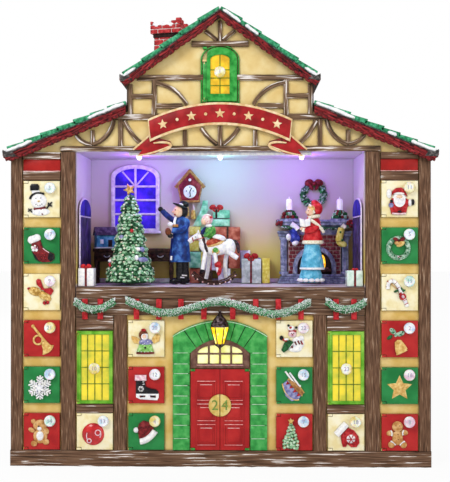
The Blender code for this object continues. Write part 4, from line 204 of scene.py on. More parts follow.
post_timber = stained("stained_post", [(0.34, "#452d1d"), (0.47, "#634531"), (0.60, "#7a5942"),
                                       (0.72, "#a88d74")], fibre=0.6, run=16)
rail_timber = stained("stained_rail", [(0.34, "#3a2618"), (0.48, "#684a36"), (0.605, "#84664f"),
                                       (0.645, "#f1e9e3")], fibre=0.8, run=40)
gable_timber = stained("stained_gable_beam", [(0.34, "#35261a"), (0.47, "#6a5039"), (0.57, "#8c7058"),
                                              (0.63, "#efe8e2")], fibre=0.8, run=30)
print("timber finishes:", post_timber.name, rail_timber.name, gable_timber.name)

# %% [markdown]
# ## Making a piece
# A real casting is one body in several colours. Here it is one mesh that small shapes are poured into, each
# with its own finish. At the end it is set on the body that carries it. Sharp angles keep a crisp edge.

# %% A casting, and the simple shapes
CRISP = math.radians(38)


class Casting:
    """A piece in the making."""

    def __init__(self, name, body="house"):
        self.name, self.body, self.finishes = name, body, []
        self.mesh = bmesh.new()
        self.mesh.loops.layers.uv.new("grain")

    def pour(self, shape, finish):
        """Adds a shape, a bmesh, in one finish."""
        if finish not in self.finishes:
            self.finishes.append(finish)
        for face in shape.faces:
            face.material_index = self.finishes.index(finish)
            face.smooth = True
        if not shape.loops.layers.uv:
            shape.loops.layers.uv.new("grain")
        lump = bpy.data.meshes.new("lump")
        shape.to_mesh(lump)
        self.mesh.from_mesh(lump)
        bpy.data.meshes.remove(lump)
        shape.free()
        return self

    def set_down(self, slot, *nodes):
        """Turns it into an object on its body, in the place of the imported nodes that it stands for."""
        for edge in self.mesh.edges:
            edge.smooth = len(edge.link_faces) == 2 and edge.calc_face_angle(0.0) < CRISP
        mesh = bpy.data.meshes.new(self.name)
        self.mesh.to_mesh(mesh)
        self.mesh.free()
        piece = bpy.data.objects.new(self.name, mesh)
        bpy.context.scene.collection.objects.link(piece)
        for finish in self.finishes:
            mesh.materials.append(finish)
        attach(piece, self.body)
        if nodes:
            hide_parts(*nodes)
        return piece


def twist(bm, angle, axis):
    """Turns a shape about an axis of the frame."""
    bmesh.ops.rotate(bm, matrix=Matrix.Rotation(angle, 3, axis), verts=bm.verts)


def shift(bm, vec):
    """Moves a shape."""
    bmesh.ops.translate(bm, vec=vec, verts=bm.verts)


def stretch(bm, vec):
    """Scales a shape along the three axes."""
    bmesh.ops.scale(bm, vec=vec, verts=bm.verts)


def outward(bm):
    """Turns every face of a shape to its outside."""
    bmesh.ops.recalc_face_normals(bm, faces=bm.faces)
    return bm


def rounded(bm, width, edges=None, segments=2):
    """Rounds a shape's edges."""
    if width > 0:
        bmesh.ops.bevel(bm, geom=list(edges or bm.edges), offset=width, segments=segments, profile=0.5,
                        affect="EDGES", material=-1, clamp_overlap=True)
    return bm


def block(x, y, z, soft=0.3 * MM, turn=None):
    """A block between two x, two y and two z, its edges eased."""
    bm = bmesh.new()
    bmesh.ops.create_cube(bm, size=1.0)
    middle = Vector([(a + b) / 2 for a, b in (x, y, z)])
    size = Vector([abs(b - a) for a, b in (x, y, z)])
    stretch(bm, size)
    rounded(bm, soft)
    if turn is not None:
        bmesh.ops.rotate(bm, matrix=turn, verts=bm.verts)
    shift(bm, middle)
    return bm


def pebble(centre, radii, turn=0.0, sides=16):
    """An egg or a ball, turned in the plane of the facade."""
    bm = bmesh.new()
    bmesh.ops.create_uvsphere(bm, u_segments=sides, v_segments=sides // 2 + 2, radius=1.0)
    stretch(bm, Vector(radii))
    twist(bm, -math.radians(turn), "Y")
    shift(bm, Vector(centre))
    return bm


def cutout(outline, front, back, soft=0.3 * MM):
    """A flat shape of (x, z) points, from its back to its front, with a rounded front edge."""
    bm = bmesh.new()
    face = bm.faces.new([bm.verts.new((x, back, z)) for x, z in outline])
    bmesh.ops.extrude_face_region(bm, geom=[face], use_keep_orig=True)
    for vert in bm.verts:
        if vert.index >= 0 and vert not in face.verts:
            vert.co.y = front
    outward(bm)
    rim = [e for e in bm.edges if all(abs(v.co.y - front) < 1e-7 for v in e.verts)]
    return rounded(bm, soft, rim)


def shape_of(curve):
    """The surface of a curve, which isn't needed after it."""
    holder = bpy.data.objects.new("curve", curve)
    mesh = bpy.data.meshes.new_from_object(holder)
    bm = bmesh.new()
    bm.from_mesh(mesh)
    bpy.data.meshes.remove(mesh)
    bpy.data.objects.remove(holder)
    bpy.data.curves.remove(curve)
    return bm


def rod(points, radius, ends=1.0, sides=8):
    """A bent rod through points. ends is the share of the radius left at its two ends."""
    curve = bpy.data.curves.new("rod", "CURVE")
    curve.dimensions, curve.bevel_depth, curve.bevel_resolution = "3D", radius, max(sides // 2 - 2, 1)
    curve.resolution_u, curve.use_fill_caps = 6, True
    spline = curve.splines.new("NURBS")
    spline.points.add(len(points) - 1)
    for point, place in zip(spline.points, points):
        point.co, point.radius = (*place, 1.0), 1.0
    spline.points[0].radius = spline.points[-1].radius = ends
    spline.use_endpoint_u, spline.order_u = True, min(4, len(points))
    return shape_of(curve)


def numeral(number, size, deep, place, fineness=2):
    """A plain number that faces the viewer, its middle at a place."""
    letters = bpy.data.curves.new("day", "FONT")
    letters.body, letters.size, letters.extrude = str(number), size, deep
    letters.align_x, letters.align_y, letters.resolution_u = "CENTER", "CENTER", fineness
    bm = shape_of(letters)
    twist(bm, math.pi / 2, "X")
    shift(bm, place)
    return bm


def turned(profile, centre, axis="Z", sides=24):
    """A shape from the lathe: (radius, along) points spun about an axis through the centre."""
    bm = bmesh.new()
    verts = [bm.verts.new((r, 0, along)) for r, along in profile]
    edges = [bm.edges.new(pair) for pair in zip(verts, verts[1:])]
    bmesh.ops.spin(bm, geom=verts + edges, axis=(0, 0, 1), cent=(0, 0, 0), steps=sides, angle=2 * math.pi,
                   use_merge=True)
    bmesh.ops.remove_doubles(bm, verts=bm.verts, dist=1e-6)
    outward(bm)
    if axis == "-Y":
        twist(bm, math.pi / 2, "X")
    shift(bm, Vector(centre))
    return bm


def hoop(centre, radius, tube, squash=1.0, sides=28, ring=8):
    """A ring in the plane of the facade."""
    bm = bmesh.new()
    made = bmesh.ops.create_circle(bm, segments=ring, radius=tube)
    bmesh.ops.translate(bm, vec=(radius, 0, 0), verts=made["verts"])
    twist(bm, math.pi / 2, "X")
    bmesh.ops.spin(bm, geom=bm.verts[:] + bm.edges[:], axis=(0, 0, 1), cent=(0, 0, 0), steps=sides,
                   angle=2 * math.pi, use_merge=True)
    bmesh.ops.remove_doubles(bm, verts=bm.verts, dist=1e-6)
    twist(bm, math.pi / 2, "X")
    stretch(bm, (1, squash, 1))
    outward(bm)
    shift(bm, Vector(centre))
    return bm


def mm(values):
    """Millimetres to metres."""
    return [c * MM for c in values]


def pour_figure(piece, origin, rows):
    """Pours a table of shapes, in millimetres from an origin that is in metres."""
    for kind, look, facts in [(kind, look, facts) for kind, look, *many in rows for facts in many]:
        if kind == "egg":
            centre, radii, turn = (*facts, 0)[:3]
            shape = pebble(mm(centre), mm(radii), turn)
        elif kind in ("limb", "rod"):
            points, radius, ends = (*facts, 1.0)[:3]
            shape = rod([mm(point) for point in points], radius * MM, ends, sides=10 if kind == "limb" else 8)
        elif kind == "bell":
            profile, (x, y), squash = facts
            shape = turned([mm(point) for point in profile], (0, 0, 0), sides=28)
            stretch(shape, (1, squash, 1))
            shift(shape, (x * MM, y * MM, 0))
        elif kind == "block":
            x, y, z, soft = facts
            shape = block(mm(x), mm(y), mm(z), soft * MM)
        else:
            outline, front, back, soft = (*facts, 0.4)[:4]
            shape = cutout([mm(point) for point in outline], front * MM, back * MM, soft * MM)
        shift(shape, origin)
        piece.pour(shape, look)


print("packed nodes to dress:", len(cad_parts))

# %% [markdown]
# ## The beams
# Hand-hewn beams waver by some tenths of a millimetre. Each starts as a block on the X axis, is cut across,
# and its cuts are nudged by a seeded generator. The UV map is laid before it is turned into its place. A
# curved brace is the same block, bent to an arc.

# %% A hewn beam
BEAM_FRONT, BEAM_BACK = -0.049, -0.0462
CUT_EVERY, WAVER = 6 * MM, 0.28 * MM


def hewn(start, end, width, rise=0.0, front=BEAM_FRONT, back=BEAM_BACK):
    """A beam from one (x, z) to another, bowed sideways by rise."""
    draw = random.Random(f"{start} {end}")
    length = math.dist(start, end)
    bm = bmesh.new()
    bmesh.ops.create_cube(bm, size=1.0)
    stretch(bm, (length, back - front, width))
    shift(bm, (length / 2, (front + back) / 2, 0))
    cuts = max(int(length / CUT_EVERY), 2)
    for step in range(1, cuts):
        bmesh.ops.bisect_plane(bm, geom=bm.verts[:] + bm.edges[:] + bm.faces[:],
                               plane_co=(length * step / cuts, 0, 0), plane_no=(1, 0, 0))
    for vert in bm.verts:
        if vert.co.y < (front + back) / 2:
            vert.co.z += draw.uniform(-WAVER, WAVER)
            vert.co.y += draw.uniform(0, WAVER)
    rim = [e for e in bm.edges if all(v.co.y < (front + back) / 2
                                      for v in e.verts) and e.calc_face_angle(0.0) > math.radians(60)]
    rounded(bm, 0.45 * MM, rim)
    grain = bm.loops.layers.uv.new("grain")
    offset = draw.uniform(0, 5)
    for face in bm.faces:
        for loop in face.loops:
            co = loop.vert.co
            loop[grain].uv = (co.x + offset, co.z + co.y + offset)
    for vert in bm.verts:
        share = vert.co.x / length
        vert.co.z += 4 * rise * share * (1 - share)
    angle = math.atan2(end[1] - start[1], end[0] - start[0])
    twist(bm, -angle, "Y")
    shift(bm, (start[0], 0, start[1]))
    return bm


HALF, COLUMN_OUTER, COLUMN_INNER = 0.2, 0.1877, 0.1522
STAGE_HALF, SIDE_INNER, CENTRE_HALF = 0.137, 0.1015, 0.088
STAGE_FLOOR, STAGE_TOP = 0.171, 0.300
BASE_TOP, LEDGE_FOOT, LEDGE_MIDDLE = 0.0157, 0.1444, 0.1596
COLUMN_HEAD, RED_TOP, COLUMN_TOP = 0.281, 0.2926, 0.299
POST_EASE = 1.6 * MM    # posts stay clear of the doors that swing past them
EAVE, HEADER_TOP = 0.296, 0.305

frame_beams = Casting("half_timber_frame")
for side in (-1, 1):
    for near, far, foot, head in ((COLUMN_OUTER, HALF, BASE_TOP, EAVE - 0.001), (STAGE_HALF, COLUMN_INNER,
        BASE_TOP, STAGE_TOP - 0.0004), (CENTRE_HALF, SIDE_INNER, BASE_TOP, LEDGE_FOOT),):
        middle = side * (near + far) / 2
        frame_beams.pour(hewn((middle, foot), (middle, head), far - near - POST_EASE), post_timber)
    for near, far, foot, head in ((SIDE_INNER, STAGE_HALF, 0.0514, 0.0593), (SIDE_INNER, STAGE_HALF, 0.1298,
        0.1442), (COLUMN_INNER, COLUMN_OUTER, RED_TOP, COLUMN_TOP), (COLUMN_INNER, COLUMN_OUTER, 0.2724,
            COLUMN_HEAD),):
        middle = (foot + head) / 2
        frame_beams.pour(hewn((side * near, middle), (side * far, middle), head - foot), rail_timber)
frame_beams.pour(hewn((-HALF, 0.008), (HALF, 0.008), 0.0152), rail_timber)
for foot, head in ((LEDGE_FOOT, LEDGE_MIDDLE), (LEDGE_MIDDLE, STAGE_FLOOR)):
    middle = (foot + head) / 2
    frame_beams.pour(hewn((-STAGE_HALF, middle), (STAGE_HALF, middle), head - foot), rail_timber)
frame_beams = frame_beams.set_down("timber_brown", "timber_frame")
print(frame_beams.name, len(frame_beams.data.polygons), "faces")

# %% [markdown]
# ## The gable's timbers
# Above the stage the timbers are thinner and greyer, and some are curved braces. A table lists each beam in
# millimetres: its two ends, its width and its bow. All but the middle ones are made twice.

# %% Beams, braces and the casing of the gable window
BRACES = ((-14, 414.5, -3, 405.5, 3.6, 0.4), (-16, 370, -79, 370, 5.2, 0), (-62.7, 334, -62.7, 368, 4.6, 0),
          (-85.6, 334, -85.6, 364, 4.2, 0), (-85, 352.5, -62.7, 352.5, 4.6, 0), (-100, 332.8, -56, 332.8,
              5.8, 0), (-62, 343.2, -36, 343.2, 4.6, 0), (-62, 365.5, -31.5, 344.5, 3.8, 4.6),
          (-137.5, 315.5, -121.5, 306.5, 3.8, -2.2), (-121.5, 306.5, -101, 330, 4.2, -4.5),
          (-121.5, 307, -121.5, 320, 3.8, 0), (-94.8, 305, -94.8, 331, 4.2, 0), (-91.5, 329, -74, 306.5, 4.2,
              -1.6), (-18, 322, -3, 306.5, 4.0, -1.0), (-33.5, 305, -33.5, 320, 4.0, 0),)
MIDDLE_BEAMS = ((-27, 402.2, 27, 402.2, 5.2, 0), (0, 404, 0, 424, 3.6, 0), (0, 305, 0, 324, 4.0, 0))
gable_beams = Casting("gable_timbering")
for x0, z0, x1, z1, width, rise in BRACES:
    for side in (1, -1):
        bow = rise if side > 0 else -rise
        gable_beams.pour(hewn((side * x0 * MM, z0 * MM), (side * x1 * MM, z1 * MM), width * MM, bow * MM),
                         gable_timber)
for x0, z0, x1, z1, width, rise in MIDDLE_BEAMS:
    gable_beams.pour(hewn((x0 * MM, z0 * MM), (x1 * MM, z1 * MM), width * MM), gable_timber)
gable_beams.pour(hewn((-COLUMN_INNER, 0.3025), (COLUMN_INNER, 0.3025), 0.005), gable_timber)
gable_beams = gable_beams.set_down("timber_brown", "gable_timbers")
print(gable_beams.name, len(gable_beams.data.polygons), "faces")

# %% [markdown]
# ## The carved pictures on the doors
# Each door carries a small cast picture. It is a pile of soft shapes: eggs for heads and bellies, cut plates
# for boots and bells, thin rods for twigs. A table lists them from the board outwards, in millimetres from
# the middle of the door: kind, finish, then one bracket for each shape. A later shape lies further out.

# %% Pouring a relief from its table
LEAF_BACK, LEAF_FRONT = -0.0463, -0.0493
LAYER = 0.10 * MM


def star_points(x, z, radius, waist, tips, turn=0.0):
    """The outline of a star or a toothed disc."""
    points = []
    for i in range(2 * tips):
        angle = math.radians(90 + turn) + math.pi * i / tips
        reach = radius if i % 2 == 0 else waist
        points.append((x + reach * math.cos(angle), z + reach * math.sin(angle)))
    return points


def pour_relief(piece, x, z, rows, ground=LEAF_FRONT):
    """Pours the rows of a picture onto the ground, in mm from (x, z)."""
    shapes = [(kind, finish, values) for kind, finish, *many in rows for values in many]
    for layer, (kind, finish, values) in enumerate(shapes):
        front = ground - layer * LAYER
        if kind == "egg":
            u, v, wide, high, *rest = values
            turn = rest[0] if rest else 0
            deep = rest[1] if len(rest) > 1 else min(0.55 * min(wide, high), 1.9)
            shape = pebble((x + u * MM, front, z + v * MM), (wide * MM, deep * MM, high * MM), turn, sides=20
                           if max(wide, high) > 3 else 12)
        elif kind == "cut":
            outline, deep = values[0], values[1] if len(values) > 1 else 1.0
            shape = cutout([(x + u * MM, z + v * MM) for u, v in outline], front - deep * MM, ground + LAYER,
                           0.35 * MM)
        elif kind == "line":
            radius, points, *lift = values
            y = front - 0.3 * radius * MM - sum(lift) * MM
            shape = rod([(x + u * MM, y, z + v * MM) for u, v in points], radius * MM)
        elif kind == "ring":
            u, v, radius, tube, *lift = values
            shape = hoop((x + u * MM, front - (0.3 * tube + sum(lift)) * MM, z + v * MM), radius * MM,
                         tube * MM)
        elif kind == "dots":
            for u, v in values[1]:
                piece.pour(pebble((x + u * MM, front - 0.8 * MM, z + v * MM), [values[0] * MM] * 3, sides=8),
                           finish)
            continue
        piece.pour(shape, finish)


print("a relief layer is", LAYER * 1000, "mm")

# %% The pictures of the left column
def petals(finish, u, v, reach, size, count=5):
    """Round petals about a middle."""
    turns = [2 * math.pi * i / count + 0.3 for i in range(count)]
    return ("egg", finish, *[(u + reach * math.cos(t), v + reach * math.sin(t), size, size) for t in turns])


gold = painted("acrylic_light_gold", "c9984c e0b668 efd088", 3, 0.4)
cookie = painted("acrylic_gingerbread", "b37a40 d09c5e e0b47c", 3.5, 0.55)
lime = painted("acrylic_light_green", "6aa84e 8fc86a b2dc94", 3, 0.45)
pale_fir = painted("acrylic_pale_fir", "6aa474 9cc99c d6ead2", 2, 0.5, wash_and_shade=0.25)
mint_fir = painted("acrylic_mint_fir", "86b88c b8dcb6 e4f3e0", 2, 0.5, wash_and_shade=0.25)
bauble_red = painted("lacquer_red", "b0141a cc2024 dc3c38", 9, 0.2, uneven=0.02, Coat_Weight=0.5)
PICTURES = {
    "snowman": [
        ("egg", white, (-1.2, -12, 9.2, 3.9), (-2.7, -1.9, 7.6, 7.6, 0, 2.2)),
        ("cut", white, ([(-9, 5), (-9.6, 8.4), (-2.6, 9), (-1, 6)], 0.9)),
        ("cut", black, ([(-10.6, 8.2), (-10.9, 12.4), (-9.4, 14.4), (-3.6, 14.3), (-2.2, 12.4), (-2.8, 8.4)],
         1.5)), ("line", black, (1, [(-11.2, 0.2), (-10, 3.4), (-7.2, 5.4), (-3, 6.5), (2.4, 5)])),
        ("line", maroon, (1.1, [(-7.2, -9.4), (-1.7, -9.2), (3.8, -8)]), (0.9, [(-0.4, -9.6), (0, -12),
         (1.2, -15)])),
        ("line", black, (0.7, [(4.8, -9), (6.8, -6.4), (9.9, -2.9)]), (0.6, [(6.4, -6.8), (6.6, -3.2)]),
         (0.6, [(7, -6.2), (10.2, -6.6)]), (0.6, [(-12.6, -9.2), (-10.6, -10.6), (-8.7, -12.8)]),
         (0.6, [(-12.8, -11.8), (-9.4, -9.4)])),
        ("dots", black, (0.45, [(-5, 0.4), (-0.4, 1), (-5, -5.2), (-3.2, -5.9), (-1.2, -5.8), (0.6, -4.9)])),
        ("egg", gold, (-2.4, -2, 1.5, 0.8, 10, 2.6)), ],
    "stocking": [
        ("cut", maroon, ([(-9.5, 1.9), (-1.2, 5.3), (1.2, -1.9), (6.1, -5.3), (11.9, -7.8), (12.4, -12.6),
         (9, -15.5), (1.2, -16), (-5.6, -12.6), (-8.5, -5.8)], 1.6)),
        ("cut", black, ([(7.5, -5.9), (11.9, -8), (12.3, -12.9), (8.8, -15.4), (5.9, -12.6), (6.8, -8.7)],
         1.7), ([(-9, -5.8), (-5.4, -9.2), (-1.5, -15.4), (-5.9, -13)], 1.7)),
        ("egg", white, (-9.6, 5.3, 3.6, 3.9, 20, 2.1), (-4.4, 7.2, 3.8, 3.8, 20, 2.1),
         (-7, 6.3, 6.6, 3.6, 20, 2.2)), petals(white, -6.1, -2.4, 2.2, 1.9),
        ("egg", blush, (-6.1, -2.4, 1.3, 1.3, 0, 2.2)),
        ("line", blush, (0.4, [(1.4, -2.4), (4, -5), (7.4, -6.6)])),
        ("dots", red, (0.6, [(3, -9.4), (1, -7.4), (4.4, -12), (0.2, -11.6)])), ],
    "bells": [
        ("cut", red, ([(-5.1, 11), (-3.4, 12.6), (-1, 11.9), (1.7, 4.2), (0.2, 2.7), (-4.6, 7.1)], 1.5),
         ([(1.2, 2.9), (9, 4.3), (11.6, 1.3), (9, -2.9), (3.2, 0)], 1.5)),
        ("egg", bronze, (-6.1, 0.6, 6.8, 4.2, -15)), ("egg", gold, (-9, 1.3, 3.4, 3.2, -15)),
        ("egg", bronze, (2.9, -3.6, 6.6, 4, -25)), ("egg", gold, (6.4, -6, 3, 2.8, -25)),
        ("line", gold, (0.6, [(-11.8, 2.6), (-7.4, 4.4), (-2.2, 1.8), (0.6, -1)])),
        ("egg", red, (0.8, 3.2, 1.6, 1.4), (-12, 3.3, 1.6, 1.2), (2.9, -10.4, 1.7, 1.9, 20),
         (5.9, -9.8, 1.7, 1.9, -20)), ("egg", black, (4.4, -10, 0.7, 0.7, 0, 1.6)), ],
    "trumpet": [
        ("ring", gold, (-3.4, -1.4, 4.2, 0.9)),
        ("line", gold, (1.25, [(-8, 11.4), (-3.6, 6), (1, 0.6), (4.4, -4.2)])),
        ("egg", gold, (-8.2, 11.6, 1.7, 1.7)),
        ("cut", gold, ([(1, -3.2), (4.1, -1.6), (8, -5.7), (10.6, -6.7), (9.9, -10.8), (6.1, -13.9),
         (1.5, -14.7), (1.4, -9.8), (0.2, -5.4)], 1.5)),
        ("line", gold, (0.7, [(10.9, -6.2), (10.2, -10.6), (6.6, -13.9), (1.2, -14.9)])), ],
    "snowflake": [
        ("line", white, *[(0.95, [(-1.2, -2.2), (-1.2 + 11.4 * math.sin(math.radians(60 * i)),
         -2.2 + 11.4 * math.cos(math.radians(60 * i)))]) for i in range(6)],
         *[(0.8, [(-1.2 + out * math.sin(math.radians(60 * i)), -2.2 + out * math.cos(math.radians(60 * i))),
         (-1.2 + far * math.sin(math.radians(60 * i + lean * side)),
         -2.2 + far * math.cos(math.radians(60 * i + lean * side)))]) for i in range(6) for side in (-1,
         1) for out, far, lean in ((3.2, 6.2, 30), (5.2, 8.6, 24), (7.6, 10.6, 16))]),
        ("cut", white, (star_points(-1.2, -2.2, 5.4, 3, 6), 1.2)),
        ("dots", lilac, (0.5, [(-1.2 + 2.6 * math.sin(math.radians(60 * i + 34)),
         -2.2 + 2.6 * math.cos(math.radians(60 * i + 34))) for i in range(6)])), ],
    "bear": [
        ("egg", cookie, (-7.8, 9.6, 2.4, 2.4), (4, 9.4, 2.4, 2.4), (-1.2, -4.4, 6.8, 6.9),
         (-1.4, 5.8, 6.7, 5.5, 0, 2.4), (-9.4, 1.4, 3.3, 2.2, -25), (4.6, 0.4, 2.6, 3.2, 20),
         (-7, -11.3, 3.1, 2.8), (4.3, -9.8, 3.2, 2.7)),
        ("egg", white, (-1.2, -4, 3.8, 4.8, 0, 2.6), (-1.6, 3.2, 2.6, 2.3, 0, 2.9)),
        ("egg", black, (-2.2, 5.4, 1.1, 0.8, 0, 3.1)), ("dots", black, (0.5, [(-5, 7.4), (1.6, 7.6)])), ],
}
print(len(PICTURES), "pictures drawn")

# %% The pictures of the right column
PICTURES.update({
    "santa": [
        ("cut", red, ([(-9.9, -3.9), (-7.8, 0.6), (5.8, 0.6), (9.2, -2), (6.8, -8.7), (5.5, -14.5),
         (-8.2, -14.5), (-9.2, -9.7)], 1.3), ([(-8.2, 2.9), (-7.3, 7.3), (-3.9, 10.1), (1, 10.7), (4.6, 8.4),
         (7, 2.2), (2.9, 5), (-1.9, 6.3), (-5.8, 5)], 1.8)),
        ("egg", white, (-0.5, -1.2, 6.8, 8, 0, 2), (-10.2, 4.9, 2.5, 4.4, 0, 1.6)),
        ("egg", skin, (-0.6, 1.8, 3.6, 2.2, 0, 2.6)),
        ("egg", white, (-2.4, -0.4, 2.2, 1.1, 20, 2.9), (1.4, -0.4, 2.2, 1.1, -20, 2.9)),
        ("dots", black, (0.35, [(-2, 2.4), (0.8, 2.4)])), ("egg", white, (-0.6, 5, 5.2, 1.3, 0, 2.4)),
        ("egg", lilac, (-8.4, -6, 2.5, 2.4)), ("egg", black, (-8, -2.2, 1.5, 1.5, 0, 1.5)),
        ("egg", white, (9.3, -3.7, 1.6, 3.4, 0, 1.7)), ("egg", black, (12, -3.2, 1.7, 3, 0, 1.5)),
        ("line", blush, (0.8, [(-7.6, -13.8), (0, -14.6), (5.2, -13.8)])),
        ("egg", black, (-0.5, -11.9, 2.1, 0.9, 0, 1.9)), ],
    "wreath": [
        ("ring", frosted, (-1.5, -2.4, 9.3, 2.3)),
        ("egg", frosted, *[(-1.5 + 9.3 * math.cos(0.42 * i), -2.4 + 9.3 * math.sin(0.42 * i),
         1.9, 1.1, 24 * i + 55, 2.4) for i in range(15)]),
        ("egg", holly, *[(-1.5 + 8.4 * math.cos(0.7 * i), -2.4 + 8.4 * math.sin(0.7 * i),
         1.1, 0.6, 40 * i, 2.5) for i in range(9)]),
        ("egg", maroon, (-4.2, 5.6, 3, 2, -30, 2.6), (1.8, 6, 3, 2, 30, 2.6)),
        ("egg", gold, (0.2, 1.6, 4.4, 2.5, 28, 2.7)), ("egg", cookie, (-3.2, 2.4, 2.6, 2, -30, 2.8)),
        ("line", white, (0.5, [(-3, -9.6), (0.6, -11.6)])),
        ("line", maroon, (0.5, [(-2.4, -11), (1, -9.8)])), ],
    "candy_cane": [
        ("line", white, (1.8, [(-11.2, 3.2), (-11.9, 8), (-8.4, 11.6), (-4.4, 10.2), (-1, 4.7), (2.9, -3.1),
         (6.9, -13.4)])),
        ("egg", red, *[(u, v, 2, 0.6, turn, 2) for u, v, turn in ( (-11.5, 5.6, 10), (-10.7, 9.4, -40),
         (-7.4, 11, -80), (-4, 9, 50), (-1.4, 4.6, 35), (4.6, -7.2, 30), (5.9, -10.6, 30))]),
        ("line", cookie, (0.5, [(-12, 11.2), (-8, 7.4), (-3.6, 4)])),
        ("egg", holly, (-3.6, 1.2, 2.4, 1.1, 25, 2), (1.6, 3.2, 1.9, 1, -60, 2), (3.4, 1.6, 2, 0.9, 30, 2)),
        ("ring", red, (2.4, -4, 2.3, 1)), ("egg", blush, (2.2, -3.8, 1.4, 1.4, 0, 2.2)),
        ("egg", red, (0.2, -1.2, 1.8, 1.1, 40, 2.3)), ],
    "bell": [
        ("egg", frosted, (-6.8, 7.5, 3.6, 2.4, -45)), ("egg", holly, (-9.6, 1.6, 3.2, 1.7, 35)),
        ("egg", frosted, (-3.2, 4.2, 2.6, 1.5, 45), (0.8, 5.2, 3.9, 2.3, 25)),
        ("dots", holly, (0.6, [(-6.2, 6.4), (0.2, 4.6), (2.4, 6.2), (-8.2, 9)])),
        ("cut", gold, ([(-4.9, -2.9), (-2.4, -0.5), (1, -0.8), (4.4, -4.9), (6.8, -8.7), (5.3, -11.2),
         (-2.9, -14.6), (-4.4, -11.6), (-4.9, -6.8)], 1.7)),
        ("line", gold, (1, [(-3.6, -14.3), (1.4, -12.9), (6.4, -9.8)])),
        ("egg", gold, (-1.2, -2.8, 2.4, 1.6, 20, 2.3)), ],
    "star": [],
    "gingerbread": [
        ("egg", cookie, (-9.4, -0.4, 3.4, 2.6, 15), (4.2, 0.2, 3.4, 2.6, -15), (-8, -11.3, 3.3, 3.2, 20),
         (3.2, -11.3, 3.3, 3.2, -20), (-2.4, -4.4, 5, 6.6), (-2.4, -8.4, 6.2, 3.2), (-2.4, 5.8, 5.2, 5.1)),
        ("ring", gold, (-2.4, 5.8, 3, 0.45)),
        ("line", white, (0.7, [(-8.8, 2.2), (-7, -0.4), (-8, -3)]), (0.7, [(3.4, 2.6), (1.8, 0.2),
         (2.6, -2.2)]), (0.7, [(-9, -8), (-5.8, -8.6), (-4.4, -11.6)]), (0.7, [(4.4, -8), (1.2, -8.6),
         (-0.2, -11.6)])),
        ("dots", chestnut, (0.55, [(-4, 6.8), (-0.8, 6.8), (-2.4, 5), (-2.2, -1.4), (-2, -6.2)])), ],
})
print(len(PICTURES), "pictures drawn")

